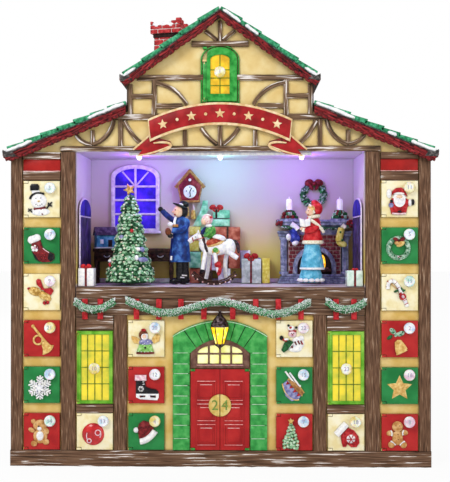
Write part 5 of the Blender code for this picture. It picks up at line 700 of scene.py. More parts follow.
# %% The pictures of the lower doors
PICTURES.update({
    "angel": [
        ("cut", gold, ([(-14.2, 2.6), (-9.6, 1.6), (-6, -0.6), (-6.6, -5), (-11.6, -4.4), (-13.6, -1.4)], 1),
         ([(6, 1.2), (9.8, 4.8), (13.4, 3.4), (12.4, -2.4), (7.4, -5), (5.4, -2)], 1)),
        ("line", tan, *[(0.4, points) for points in ([(-13.6, 1.8), (-9, 0.2), (-6.6, -2.2)], [(-12.8, -2.2),
         (-8, -3.2)], [(12.8, 2.8), (9, 1.2), (6.4, -1.4)], [(12.2, -2), (8, -2.8)])]),
        ("cut", lime, ([(-6.4, -5.4), (4.8, -5.4), (7.4, -12.6), (-9, -12.6)], 1.4)),
        ("egg", lilac, (-0.4, -3.4, 6.6, 3.2, 0, 1.9)), ("egg", chestnut, (-3.6, 3.4, 3.4, 4.2, 10, 1.8)),
        ("egg", red, (-2.4, 8, 2.4, 1.6, 0, 1.8)), ("egg", chestnut, (-2.2, 5.4, 3.6, 2, 0, 2)),
        ("egg", white, (-1.6, 2.4, 3.6, 3.8, 0, 2.4)), ("egg", skin, (-1.6, 2.4, 2.9, 3, 0, 2.7)),
        ("dots", black, (0.35, [(-2.8, 2.8), (-0.4, 2.8)])), ("egg", black, (-0.8, -8.4, 1.1, 1.1, 0, 2)),
        ("dots", white, (0.5, [(-4.4, -2.6), (-1.4, -4.2), (1.6, -2.6), (4.2, -4), (-3, -5.2)])),
        ("line", maroon, (0.9, [(-9.2, -13.4), (-0.6, -14), (7.8, -13.2)])),
        ("dots", white, (0.5, [(-7.4, -11.8), (-4.4, -12.2), (-1.2, -12.4), (2, -12.2), (5.2, -11.8)])), ],
    "skate": [
        ("cut", black, ([(-9.6, 5.2), (-1.2, 5.2), (-0.4, -1.4), (4.4, -3), (9.4, -4), (11.6, -5.8),
         (11.6, -7.8), (-9.8, -7.8)], 1.7)),
        ("cut", blush, ([(-10.6, 9.8), (0.2, 9.8), (0.2, 4.6), (-10.6, 4.6)], 2.2)),
        ("cut", white, ([(-9.6, -7.8), (12, -7.8), (12, -11.4), (10.6, -14.2), (-5.6, -13.2), (-9.6, -11.4)],
         1.2)),
        ("cut", black, ([(-6.4, -9.4), (-0.4, -9.4), (-0.8, -11.2), (-6, -11.6)], 1.3), ([(3.6, -9.4),
         (9.2, -9.4), (9.4, -11.8), (4, -11.4)], 1.3)),
        ("dots", red, (0.5, [(-5, -10.2), (-2, -10.2), (5, -10.2), (8, -10.4)])),
        ("egg", white, (-4.8, -3.2, 3.3, 3.3, 0, 2)),
        ("line", black, *[(0.32, [(-4.8, -3.2), (-4.8 + 2.6 * math.sin(1.05 * i),
         -3.2 + 2.6 * math.cos(1.05 * i))], 1.6) for i in range(6)]),
        ("line", white, (0.4, [(-1.6, 3.6), (-3.4, 3.2)]), (0.4, [(-1.4, 1.4), (-3.2, 1)])), ],
    "hat": [
        ("cut", maroon, ([(-8.2, 2.6), (-6.6, 8), (-2.6, 10.8), (3.8, 9), (6.4, 5.4), (7.4, 1), (-0.4, -5.4),
         (-6.4, -7.4)], 1.7)), ("egg", maroon, (-1, 3.4, 6.6, 5.4, 30, 2.4)),
        ("line", red, (0.9, [(-6.8, 5), (-3, 9), (3.4, 7.8)])),
        ("line", tan, (0.5, [(-3.4, 7), (-4.4, 2.2), (-4, -2.6)])),
        ("egg", white, (-9.5, 1.7, 2.6, 2.6, 0, 2.6)),
        ("line", white, (3, [(-5.6, -9), (-1.4, -8.4), (3, -5.6), (6.4, -2.2), (8.6, 1.2)])), ],
    "reindeer": [
        ("egg", white, (3.4, -4.2, 6, 6.4), (0.6, -9.6, 6.6, 3), (6.6, 0.4, 2.8, 3)),
        ("egg", blush, (-1.9, 4.6, 3.9, 3.2, 0, 2)), ("egg", white, (-3, 10.2, 3.4, 2.6, 0, 2)),
        ("line", red, (0.8, [(-5.4, 7.6), (-1.8, 8.4), (1.8, 7.2)])),
        ("egg", red, (-3.6, 10.8, 1.8, 1.4, 20, 2.4)), ("dots", black, (1.2, [(-5.6, 12.8), (1.8, 11)])),
        ("egg", black, (-12.2, 1, 1.9, 2.2)), ("line", red, (1, [(-11, -0.2), (-7.4, -2)])),
        ("line", white, (1.1, [(-9.6, -0.4), (-5.6, -0.2)])),
        ("cut", holly, ([(-9.6, -3.6), (-4.6, -1), (-0.8, -2.8), (-6.6, -10.4), (-10, -12.8),
         (-12.4, -10.6)], 1.8)), ("line", white, (1, [(-6.2, -8.4), (-3, -6), (-1, -3.2)])),
        ("line", maroon, *[(0.8, [(u, v), (u + 1.6, v - 3.4)]) for u, v in ((-3.4, -5), (0.4, -2.2),
         (3.2, -1.4), (6, -1.6))]), ("dots", black, (0.45, [(-3, 5.4), (-0.8, 5.4)])),
        ("dots", red, (0.7, [(-1.8, 4.2), (7.6, -4.4)])), ],
    "drum": [
        ("cut", lilac, ([(-11, 1.6), (-6.2, 5.6), (-0.6, -0.8), (6.8, -8.4), (4.2, -12.6), (-2.6, -14.6),
         (-8.6, -9.6)], 1.6)),
        ("cut", red, *[([(u, v), (u + 2.4, v - 2.4), (u - 1.6, v - 3.4)], 1.9) for u, v in ((-6.6, 4.4),
         (-3.4, 0.8), (0.2, -3), (3.6, -6.6))]),
        ("line", white, (0.55, [(-9.8, 1.2), (-7, 4.4), (-6.8, -1.2), (-3.8, 1.4), (-3.6, -4.8),
         (-0.4, -2.6), (-0.2, -8.4), (3.2, -6), (3.4, -11.4), (6.2, -8.6)])),
        ("cut", tan, ([(-6, 5.8), (-1.6, 4.6), (4.8, -1), (8.6, -6.4), (7.6, -8.8), (4.4, -7.2),
         (-2.4, -0.4)], 1.9)),
        ("line", gold, (0.8, [(-11.2, 2), (-9.6, -8.4), (-3, -14.8), (4.4, -13)]), (0.7, [(-6.4, 5.8),
         (-2.4, 0), (3.4, -6.4), (7.4, -9.4)]), (0.7, [(-6, 6.4), (-0.6, 5.2), (5.4, -0.6), (9, -6.8)])),
        ("line", white, (0.9, [(-8.6, 13.6), (-3.4, 6.6), (2.4, -0.6)]), (0.9, [(-4.6, 12.4), (0, 6.4),
         (4.6, -0.2)])), ("egg", white, (2.6, -0.6, 1.5, 1.3), (4.8, -0.2, 1.5, 1.3)), ],
    "tree": [
        ("cut", holly, ([(-3.4, 9), (-6.6, 1), (-5.8, 1.2), (-9.6, -6.4), (-8.6, -6.4), (-11.6, -13.8),
         (-3.4, -16), (4.6, -13.8), (1.8, -6.4), (2.8, -6.4), (-1, 1.2), (-0.2, 1)], 1)),
        *[("egg", mint_fir if (row + i) % 2 else pale_fir,
         (-3.4 + (i - (count - 1) / 2) * 2.9 + 0.4 * math.sin(7 * row + i), v + 0.9 * math.cos(5 * i + row),
         1.9, 1.45, 40 * math.sin(3 * i + row), 2.4)) for row, (v, count) in enumerate(((7, 1), (4.4, 2),
         (1.8, 3), (-0.8, 3), (-3.4, 4), (-6, 4), (-8.6, 5), (-11.2, 5), (-13.6, 5))) for i in range(count)],
        ("dots", red, (0.55, [(-5, 0.6), (-1, -5.4), (-6.6, -9.6), (1.4, -12.2)])),
        ("dots", gold, (0.55, [(-1.8, 3.2), (-6, -4.2), (-3.4, -12.4), (-9, -12.2), (2.4, -9.6)])),
        ("cut", gold, (star_points(-3.4, 11, 2.9, 1.3, 5), 1.5)), ],
    "ornament": [
        ("egg", bauble_red, (-1.5, -2.4, 10.6, 10.6, 0, 3)),
        ("ring", blush, (3.4, -0.5, 2.5, 0.5, 2.4), (-4.9, -8.2, 1.9, 0.5, 2)),
        ("line", blush, (0.5, [(5.6, 0.8), (6.8, -2.4), (5.2, -5)], 1.8), (0.5, [(-6.6, -7.4), (-8, -3.8),
         (-6.8, -0.6)], 1.8)), ("dots", white, (0.45, [(-6.4, 3.4), (1, -6.4), (-1.6, 5)])), ],
    "mitten": [
        ("cut", red, ([(-5.2, -2.4), (1.6, 4.6), (7.4, 2), (11.6, -3.6), (12.4, -9.6), (9.6, -13.6),
         (4.6, -13.8), (1, -10.6), (-0.2, -13.4), (-3.2, -13.6), (-4.6, -9.2)], 1.4)),
        ("egg", red, (4.6, -5.4, 6.6, 7.6, 30, 2.4)),
        ("line", white, (3.3, [(-9.4, -2), (-5.8, 2), (-2.6, 5.4), (0.2, 8.4)])),
        ("egg", white, (4.3, -5.6, 4.8, 4.8, 0, 3.4)),
        ("line", red, *[(0.45, [(4.3, -5.6), (4.3 + 4.2 * math.sin(1.05 * i + 0.5),
         -5.6 + 4.2 * math.cos(1.05 * i + 0.5))], 2.7) for i in range(6)]), ],
})
print(len(PICTURES), "pictures drawn")

# %% [markdown]
# ## Door, lugs and pearl knob
# A door is a 3 mm board with two notches where the lugs of the wall reach in. Its knob is a disc of pearly
# resin, turned on a lathe: a pale base with a clear coat and a little light coming through.

# %% The small doors
PEARLS = [painted(f"pearl_resin_{name}", f"{shade} {middle} ffffff", 7, 0.16, uneven=0.0, wash_and_shade=0.25,
                  Subsurface_Weight=0.3, Subsurface_Scale=0.002, Coat_Weight=0.8, Coat_Roughness=0.06)
          for name, shade, middle in (("mint", "a8d8c6", "eef6f2"), ("rose", "e2bed0", "f6eef0"),
                                      ("honey", "e4cc6c", "f4ecc0"), ("sky", "aecbe8", "eef3f8"))]
KNOB_TINTS = "03123023031131213332"    # the pearl of each door, in the order of DOORS
numeral_grey = painted("printed_grey", "9a93a4 aaa3b2", 3, 0.5, uneven=0.0, wash_and_shade=0.0)
KNOB_PROFILE = [(0, 0.4), (2.6, 0.4), (2.6, -1.8), (4.7, -1.8), (5.3, -2.3), (5.4, -3.4), (5.1, -4.4),
                (4.4, -4.9), (3.9, -4.75), (0, -4.95)]
LUG_REACH, LUG_HEIGHT = 4.3 * MM, 2.3 * MM


def pour_knob(piece, x, z, pearl, number):
    """A pearl knob, with its day as a plain number."""
    profile = [(r * MM, -along * MM) for r, along in KNOB_PROFILE]
    piece.pour(turned(profile, (x, LEAF_FRONT, z), axis="-Y"), pearl)
    piece.pour(numeral(number, 5.2 * MM, 0.1 * MM, (x, LEAF_FRONT - 4.93 * MM, z)), numeral_grey)


def pour_lugs(piece, edge, foot, head, finish, way=1):
    """The two lugs that hold the pins of a door; way is the side of the hinge edge that the door is on."""
    x = sorted((edge + way * 0.1 * MM, edge + way * 4.05 * MM))
    for z in (foot, head - 1.9 * MM):
        piece.pour(block(x, (LEAF_FRONT - 0.1 * MM, -0.0455), (z - 0.05 * MM, z + 1.95 * MM)), finish)


def board_outline(x0, x1, z0, z1, notch=LUG_REACH):
    """A door's outline, with the two notches on its left edge."""
    return [(x0 + notch, z0), (x1, z0), (x1, z1), (x0 + notch, z1), (x0 + notch, z1 - LUG_HEIGHT),
            (x0, z1 - LUG_HEIGHT), (x0, z0 + LUG_HEIGHT), (x0 + notch, z0 + LUG_HEIGHT)]


DOORS = (("snowman", door_cream, 3), ("stocking", door_green, 17), ("bells", door_cream, 9),
         ("trumpet", door_red, 21), ("snowflake", door_green, 6), ("bear", door_red, 14),
         ("santa", door_cream, 11), ("wreath", door_green, 5), ("candy_cane", door_cream, 19),
         ("bell", door_red, 2), ("star", door_green, 16), ("gingerbread", door_red, 8), ("angel", door_cream,
             20), ("skate", door_red, 12), ("hat", door_green, 4), ("reindeer", door_cream, 22),
         ("drum", door_green, 15), ("tree", door_red, 7), ("ornament", door_cream, 13),
         ("mitten", door_cream, 18),)
SLOTS = {door_cream: "leaf_cream", door_green: "leaf_green", door_red: "leaf_red"}
WIDE, HIGH = 34.3 * MM, 34.5 * MM
lugs = Casting("hinge_lugs")
for index, (name, enamel, number) in enumerate(DOORS):
    box_low, box_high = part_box(f"door_{name}")
    x0, middle = box_low.x, (box_low.z + box_high.z) / 2
    z0, z1 = middle - HIGH / 2, middle + HIGH / 2
    door = Casting(f"door_with_{name}", f"leaf_{name}")
    door.pour(cutout(board_outline(x0, x0 + WIDE, z0, z1), LEAF_FRONT, LEAF_BACK, 0.6 * MM), enamel)
    pour_relief(door, x0 + WIDE / 2, middle, PICTURES[name])
    if name == "star":
        bm = bmesh.new()
        outline = star_points(x0 + WIDE / 2 - 0.3 * MM, middle - 2.2 * MM, 12.4 * MM, 5.9 * MM, 5)
        rim = [bm.verts.new((u, LEAF_FRONT, v)) for u, v in outline]
        bmesh.ops.extrude_face_region(bm, geom=[bm.faces.new(rim)], use_keep_orig=True)
        bmesh.ops.poke(bm, faces=[f for f in bm.faces if len(f.verts) == 10][:1], offset=0)
        peak = max(bm.verts, key=lambda v: len(v.link_edges))
        peak.co.y = LEAF_FRONT - 2.4 * MM
        outward(bm)
        door.pour(bm, gold)
    pour_knob(door, x0 + WIDE - 8.7 * MM, z1 - 6.7 * MM, PEARLS[int(KNOB_TINTS[index])], number)
    door = door.set_down(SLOTS[enamel], f"door_{name}")
    pour_lugs(lugs, x0, z0, z1, enamel)
lugs.set_down("leaf_cream")
print(len(DOORS), "doors hung, the last with", len(door.data.polygons), "faces")

# %% [markdown]
# ## The three window doors
# Two tall doors and the arched one in the gable are windows: a moulded green frame, thin bars, and one plate
# of amber resin with a painted glow. The frame is two outlines, bridged to a ring and given its depth.

# %% Frames, panes and bars
window_green = painted("enamel_bright_green", "58a01e 74b832 92c84a", 9, 0.32, uneven=0.05)
bar_green = painted("enamel_olive", "4f6b12 62821a 769a24", 4, 0.4)
gable_green = painted("enamel_leaf_green", "1f7d2c 2f9a3b 49b050", 6, 0.3, uneven=0.05)


def lamp_or_painted_glow(name, shades, strength, patch=9.0, rough=0.12, coat=0.6):
    """Tinted resin that gives off a little of its own colour: a painted glow, except on the stage lamps'
    beads.
    """
    mat = painted(name, shades, patch=patch, rough=rough, uneven=0.04, wash_and_shade=0.35, Coat_Weight=coat)
    shader = mat.node_tree.nodes["Principled BSDF"]
    source = shader.inputs["Base Color"].links[0].from_socket
    mat.node_tree.links.new(source, shader.inputs["Emission Color"])
    shader.inputs["Emission Strength"].default_value = strength
    return mat


# The panes of the window doors and the fanlight glow with painted light.
amber_pane = lamp_or_painted_glow("amber_resin", "b4b428 d6c42c ead02a", 0.28, patch=16)
deep_amber = lamp_or_painted_glow("deep_amber_resin", "c89a18 e0b422 e8cc2a", 0.28, patch=10)
pale_pane = lamp_or_painted_glow("pale_resin", "e4e07c efeb98 f6f3b4", 0.45)


def arched(x0, x1, z0, z1, rise, steps=14):
    """A rectangle with an arched top: its outline, from the lower left corner."""
    half, middle = (x1 - x0) / 2, (x0 + x1) / 2
    if rise <= 0:
        return [(x0, z0), (x1, z0), (x1, z1), (x0, z1)]
    crown = [(middle + half * math.cos(math.pi * i / steps), z1 + rise * math.sin(math.pi * i / steps))
             for i in range(steps + 1)]
    return [(x0, z0), (x1, z0)] + crown


def ringed(outer, inner, front, back, soft=0.4 * MM):
    """A flat ring between two outlines with the same number of points."""
    bm = bmesh.new()
    loops = [[bm.verts.new((x, back, z)) for x, z in outline] for outline in (outer, inner)]
    edges = [bm.edges.new((loop[i], loop[(i + 1) % len(loop)])) for loop in loops for i in range(len(loop))]
    bmesh.ops.bridge_loops(bm, edges=edges)
    bmesh.ops.extrude_face_region(bm, geom=bm.faces[:], use_keep_orig=True)
    ground = {v for loop in loops for v in loop}
    for vert in bm.verts:
        if vert not in ground:
            vert.co.y = front
    outward(bm)
    rim = [e for e in bm.edges if all(abs(v.co.y - front) < 1e-7
                                      for v in e.verts) and e.calc_face_angle(0.0) > 1.0]
    return rounded(bm, soft, rim)


def pour_window(door, x0, x1, z0, z1, rise, sash, frame_finish, pane, bars, uprights, crossbars):
    """A window door: board, frame with a second moulding, panes and bars."""
    board = [(x0 + LUG_REACH, z0), (x1, z0)]
    board += arched(x0, x1, z0, z1, rise)[2:-1] if rise else [(x1, z1), (x0 + LUG_REACH, z1)]
    head = z1 - LUG_HEIGHT
    board += [(x0, z1), (x0, head)] if rise else [(x0 + LUG_REACH, head), (x0, head)]
    if rise:
        board = board[:-2] + [(x0 + LUG_REACH, z1 + rise * 0.52), (x0 + LUG_REACH, head), (x0, head)]
        board = [p for p in board if not (p[0] < x0 + LUG_REACH and p[1] > z1 - 1e-6)]
    board += [(x0, z0 + LUG_HEIGHT), (x0 + LUG_REACH, z0 + LUG_HEIGHT)]
    door.pour(cutout(board, LEAF_FRONT + MM, LEAF_BACK, 0.2 * MM), frame_finish)
    for inset, depth in ((0.3 * MM, 0.4 * MM), (sash * 0.52, 0.6 * MM)):
        outer = arched(x0 + inset, x1 - inset, z0 + inset, z1, rise - inset if rise else 0)
        inner = arched(x0 + sash, x1 - sash, z0 + sash, z1, rise - sash if rise else 0)
        if not rise:
            outer = [(u, min(v, z1 - inset)) for u, v in outer]
            inner = [(u, min(v, z1 - sash)) for u, v in inner]
        if inset < sash / 2:
            wide = max(LUG_REACH - inset, 0)
            outer = [(max(u, x0 + LUG_REACH) if (v > head or v < z0 + LUG_HEIGHT) and u < x0 + wide else u,
                      v) for u, v in outer]
        door.pour(ringed(outer, inner, LEAF_FRONT - depth, LEAF_FRONT + 1.1 * MM), frame_finish)
    pane_outline = arched(x0 + sash * 0.9, x1 - sash * 0.9, z0 + sash * 0.9,
                          z1 - (0 if rise else sash * 0.9), rise - sash * 0.9 if rise else 0)
    door.pour(cutout(pane_outline, LEAF_FRONT + 0.5 * MM, LEAF_FRONT + 1.2 * MM, 0), pane)
    top = z1 + rise - sash
    for share in uprights:
        x = x0 + sash + (x1 - x0 - 2 * sash) * share
        door.pour(rod([(x, LEAF_FRONT + 0.4 * MM, z0 + sash), (x, LEAF_FRONT + 0.4 * MM, top)], 0.45 * MM),
                  bars)
    for share in crossbars:
        z = z0 + sash + (z1 + rise * 0.4 - z0 - 2 * sash) * share
        door.pour(rod([(x0 + sash, LEAF_FRONT + 0.4 * MM, z), (x1 - sash, LEAF_FRONT + 0.4 * MM, z)],
                      0.4 * MM), bars)


TALL = 69.3 * MM
window_lugs = Casting("window_lugs")
for name, number in (("left_window", 10), ("right_window", 23)):
    box_low, box_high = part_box(f"door_{name}")
    x0, middle = box_low.x, (box_low.z + box_high.z) / 2
    z0, z1 = middle - TALL / 2, middle + TALL / 2
    door = Casting(f"window_door_{name}", f"leaf_{name}")
    pour_window(door, x0, x0 + WIDE, z0, z1, 0.0, 3.4 * MM, window_green, amber_pane, bar_green,
                (0.25, 0.5, 0.75), (0.25, 0.5, 0.75))
    pour_knob(door, x0 + WIDE / 2, middle - 0.6 * MM, PEARLS[2], number)
    door.set_down("leaf_green", f"door_{name}")
    pour_lugs(window_lugs, x0, z0, z1, window_green)

gable_x, gable_foot, gable_shoulder, gable_rise = 16.5 * MM, 0.347, 0.387, 12 * MM
door = Casting("window_door_gable", "leaf_gable_window")
pour_window(door, -gable_x, gable_x, gable_foot, gable_shoulder, gable_rise, 7.4 * MM, gable_green,
            deep_amber, bar_green, (0.5,), (0.26, 0.5, 0.76))
pour_knob(door, 0.0, gable_foot + 27.5 * MM, PEARLS[2], 1)
door.set_down("leaf_green", "door_gable_window")
pour_lugs(window_lugs, -gable_x, gable_foot, gable_shoulder + gable_rise, gable_green)
window_lugs.set_down("leaf_green")
casing = Casting("gable_window_casing")
casing_outer = arched(-18.4 * MM, 18.4 * MM, 0.345, gable_shoulder, 14 * MM)
casing_inner = arched(-17.3 * MM, 17.3 * MM, 0.3462, gable_shoulder, 12.9 * MM)
casing.pour(ringed(casing_outer, casing_inner, -0.0484, -0.0462), gable_green)
casing.set_down("leaf_green")
print("window doors hung; the gable window is", round(2000 * gable_x, 1), "mm wide")

# %% [markdown]
# ## Door 24
# The widest door opens in two leaves, and a cream disc with a 2 and a 4 sits across the gap. Every leaf has
# three moulded panels, with pale painted highlights as lines along their edges.

# %% Two leaves with half a disc each
LEAF_24, FOOT_24, HIGH_24 = 27.8 * MM, 0.0163, 76.8 * MM
DISC_Z, DISC_RADIUS, DISC_FRONT = FOOT_24 + 42.7 * MM, 10.4 * MM, LEAF_FRONT - 2.4 * MM
# Pale paint laid on edges as a painted highlight.
edge_highlight = painted("painted_highlight_pink", "e08a88 eeb4b0 f6cfca", 3, 0.6, uneven=0.0, wash_and_shade=0.0)
disc_cream = painted("acrylic_cream_disc", "c8a44e d8b864 e6cb80", 6, 0.4)
olive_paint = painted("acrylic_olive", "5f7a34 72903f 86a24f", 2, 0.5, wash_and_shade=0.0)
lugs_24 = Casting("door_24_lugs")
for side, digit in ((-1, "2"), (1, "4")):
    name = "left" if side < 0 else "right"
    door = Casting(f"door_24_{name}_leaf", f"leaf_24_{name}")
    outline = board_outline(0.0, LEAF_24 - 0.15 * MM, FOOT_24, FOOT_24 + HIGH_24)
    door.pour(cutout([(side * (LEAF_24 - x), z) for x, z in outline], LEAF_FRONT, LEAF_BACK, 0.4 * MM),
              door_red)
    x0, x1 = sorted((side * 3.4 * MM, side * 22.6 * MM))
    for foot, head in ((4.2, 25.0), (27.2, 44.4), (46.6, 66.0)):
        z0, z1, field, ground = FOOT_24 + foot * MM, FOOT_24 + head * MM, 3.4 * MM, LEAF_FRONT + 0.1 * MM
        whole, hole, middle = [arched(x0 + d, x1 - d, z0 + d, z1 - d, 0) for d in (0, 1.5 * MM, field)]
        door.pour(ringed(whole, hole, LEAF_FRONT - 0.9 * MM, ground, 0.35 * MM), door_red)
        door.pour(cutout(middle, LEAF_FRONT - 0.7 * MM, ground, 0.6 * MM), door_red)
        # Pale lines along the panel edges are painted highlights.
        for z, inset, thick in ((z1 - 0.5 * MM, MM, 0.36 * MM),
                                (z1 - field - 0.5 * MM, field + 0.6 * MM, 0.34 * MM),
                                (z0 + 0.9 * MM, MM, 0.26 * MM)):
            ends = [(x, LEAF_FRONT - 0.72 * MM, z) for x in (x0 + inset, x1 - inset)]
            door.pour(rod(ends, thick), edge_highlight)
    arc = [(side * 0.3 * MM + side * DISC_RADIUS * math.sin(math.pi * i / 20),
            DISC_Z + DISC_RADIUS * math.cos(math.pi * i / 20)) for i in range(21)]
    door.pour(cutout(arc, DISC_FRONT, LEAF_FRONT + 0.1 * MM, 0.5 * MM), disc_cream)
    door.pour(numeral(digit, 13.5 * MM, 0.25 * MM, (side * 4.7 * MM, DISC_FRONT, DISC_Z), 3), olive_paint)
    door.set_down("leaf_red", f"door_24_{name}")
    pour_lugs(lugs_24, side * LEAF_24, FOOT_24, FOOT_24 + HIGH_24, gable_green, -side)
lugs_24.set_down("leaf_red")
print("door 24 is", round(2 * LEAF_24 * 1000, 1), "mm wide")

# %% [markdown]
# ## Stone surround and fanlight
# The arch round door 24 is laid of green-painted stones, one block per stone with a narrow joint between.

# %% Stones and the fanlight
stone_green = painted("acrylic_stone_green", "2c8a3c 3da04b 58b45e", 7, 0.5, uneven=0.22, wash_and_shade=0.6)
mortar_and_highlight = painted("mortar_and_painted_highlight", "9fd0a0 c4e4c2 dff0dc", 3, 0.7, uneven=0.0, wash_and_shade=0.0)
JAMB_OUT, JAMB_IN, STONE_FRONT = 44.8 * MM, 28.8 * MM, -0.0493
SHOULDER, CROWN = 0.125, 0.1394
IN_SHOULDER, IN_CROWN = 0.1078, 0.1216
stones = Casting("stone_surround")
JOINTS = [0.016, 0.0272, 0.0398, 0.0504, 0.0598, 0.0676, 0.0774, 0.0888, 0.098, 0.1085]
for side in (-1, 1):
    for foot, head in zip(JOINTS, JOINTS[1:]):
        near, far = sorted((side * JAMB_IN, side * JAMB_OUT))
        stones.pour(block((near, far), (STONE_FRONT, -0.0463), (foot + 0.15 * MM, head - 0.15 * MM),
                          0.5 * MM), stone_green)
        draw = random.Random(round(head * 10000) + side)
        start = near + draw.uniform(0.03, 0.12) * (far - near)
        ends = [(x, STONE_FRONT + 0.1 * MM, head) for x in (start, start + 0.82 * (far - near))]
        stones.pour(rod(ends, 0.28 * MM), mortar_and_highlight)


def arch_point(share, out):
    """A point on the inner (out 0) or outer (out 1) curve of the arch, share 0 to 1 from left to right."""
    half = JAMB_IN + (JAMB_OUT - JAMB_IN) * out
    low_z = IN_SHOULDER + (SHOULDER - IN_SHOULDER) * out
    rise = (IN_CROWN - IN_SHOULDER) + ((CROWN - SHOULDER) - (IN_CROWN - IN_SHOULDER)) * out
    u = 2 * share - 1
    return half * u, low_z + rise * (1 - u * u)


VOUSSOIRS = 9
for i in range(VOUSSOIRS):
    shares = [(i + 0.03 + 0.94 * j / 4) / VOUSSOIRS for j in range(5)]
    outline = [arch_point(s, 0) for s in shares] + [arch_point(s, 1) for s in reversed(shares)]
    if i == 0:
        outline = [(-JAMB_IN, 0.1085)] + outline + [(-JAMB_OUT, 0.1085)]
    if i == VOUSSOIRS - 1:
        outline = outline[:5] + [(JAMB_IN, 0.1085), (JAMB_OUT, 0.1085)] + outline[5:]
    stones.pour(cutout(outline, STONE_FRONT, -0.0463, 0.5 * MM), stone_green)
# A pale line along the arch's outer rim is a painted highlight; the strokes at the joints are pale mortar.
rim = [arch_point(i / 24, 1.0) for i in range(25)]
stones.pour(rod([(x, STONE_FRONT + 0.1 * MM, z - 0.9 * MM) for x, z in rim], 0.4 * MM), mortar_and_highlight)
stones.pour(cutout([arch_point(i / 20, 0.02) for i in range(21)] + [arch_point(1 - i / 20, 0.98)
    for i in range(21)], STONE_FRONT + 1.2 * MM, -0.0463, 0), holly)
stones.set_down("stone_green", "door_surround")

fan_brown = painted("stained_frame", "54382f 6d4a3e 80604f", 5, 0.55, uneven=0.2)
fan = Casting("fanlight_window")
fan_foot, fan_shoulder, fan_rise, fan_half = 0.0939, 0.1081, 13 * MM, 28 * MM
outer = arched(-fan_half, fan_half, fan_foot, fan_shoulder, fan_rise)
inner = arched(-21.4 * MM, 21.4 * MM, fan_foot + 4.4 * MM, fan_shoulder, 8 * MM)
fan.pour(ringed(outer, inner, -0.0488, -0.0463), fan_brown)
fan.pour(cutout(arched(-22.5 * MM, 22.5 * MM, fan_foot + 3 * MM, fan_shoulder, 9 * MM), -0.0474, -0.0464, 0),
         pale_pane)
# The pale rod along the top of the sill is a painted highlight.
pour_figure(fan, (0, 0, 0), (("block", fan_brown, *[((x - 0.9, x + 0.9), (-48.4, -47), (97.9, 116.1), 0.2)
                                                    for x in (-10.6, 0, 10.6)], ((-21.6, 21.6), (-48.3, -47),
                                                        (106.8, 108.4), 0.2), ((-24, 24), (-49.2, -47),
                                                            (94.5, 97.5), 0.5)), ("rod", edge_highlight,
                                                                (((-22, -49.2, 96.9), (22, -49.2, 96.9)),
                                                                 0.3)),))
fan.set_down("timber_brown", "fanlight")
print("stones laid:", 2 * (len(JOINTS) - 1) + VOUSSOIRS)

# %% [markdown]
# ## Lantern
# A coach lantern: six panes between dark ribs, a tiered cap and a finial, all from the lathe but the ribs.

# %% The lantern
lantern_iron = painted("bronzed_resin", "17110e 3a2c26 6f6166", 3, 0.32, Metallic=0.5)
# The lantern's panes glow with painted light; no lamp is inside.
lantern_glass = lamp_or_painted_glow("amber_glass_painted_glow", "f2b70c fbdc2a fff3a0", 0.95, patch=7)
LAMP_Y, LAMP_FOOT, FLAT = -0.0571, 0.1114, 0.86
def flattened(shape):
    """The shape, less deep than it is wide."""
    bmesh.ops.scale(shape, vec=(1, FLAT, 1), space=Matrix.Translation((0, -LAMP_Y, 0)), verts=shape.verts)
    return shape


lantern = Casting("lantern_hanging")
glass = [(0, 6.2), (4.2, 6.4), (8.4, 22.0), (8.2, 23.0), (0, 23.2)]
cap = [(0, 22.6), (8.7, 22.6), (8.8, 24.2), (7.8, 25.4), (8, 26.6), (6.6, 27.6), (6.2, 29.2), (3.6, 32.4),
       (1.9, 34.2), (2.1, 35), (1, 36), (1.3, 37.2), (0.5, 38.2), (0, 39)]
foot = [(0, 1.0), (0.9, 1.4), (0.8, 2.4), (2.4, 3.6), (4.6, 5.2), (4.7, 6.6), (0, 6.8)]
for profile, sides, look in ((glass, 6, lantern_glass), (cap, 18, lantern_iron), (foot, 18, lantern_iron)):
    lathed = turned([mm(point) for point in profile], (0, LAMP_Y, LAMP_FOOT), sides=sides)
    lantern.pour(flattened(lathed), look)
for i in range(6):
    angle = math.pi * i / 3
    ends = [(r * MM * math.cos(angle), LAMP_Y + FLAT * r * MM * math.sin(angle), LAMP_FOOT + z * MM) for r,
            z in ((4.3, 6.4), (8.45, 22.4))]
    lantern.pour(rod(ends, 0.5 * MM), lantern_iron)
lantern.pour(block((-1.2 * MM, 1.2 * MM), (LAMP_Y, -0.0484), (0.1464, 0.1486), 0.4 * MM), lantern_iron)
lantern.set_down("lantern_gold", "lantern")
print("lantern hangs from", round((LAMP_FOOT + 0.039) * 1000, 1), "mm down")

# %% [markdown]
# ## Garlands
# Frosted fir garlands hang in front of the ledge on red straps. Each is a rope covered with small spikes,
# green ones below and white ones where frost would settle, which catch the light like tinsel.

# %% Rope and needles
fir_green = painted("tinsel_green", "22683a 489660 92caa0", 1.4, 0.45, wash_and_shade=0.6)
frost_white = painted("tinsel_white", "dfeae2 f6faf6 ffffff", 1.4, 0.4, wash_and_shade=0.15)
strap_red = painted("ribbon_red", "96151b b81e24 cb353a", 4, 0.5)


def strewn(seed, places):
    """Copies of a small shape, one for each matrix."""
    one = bpy.data.meshes.new("seed")
    seed.to_mesh(one)
    seed.free()
    made = bmesh.new()
    for place in places:
        one.transform(place)
        made.from_mesh(one)
        one.transform(place.inverted())
    bpy.data.meshes.remove(one)
    return made


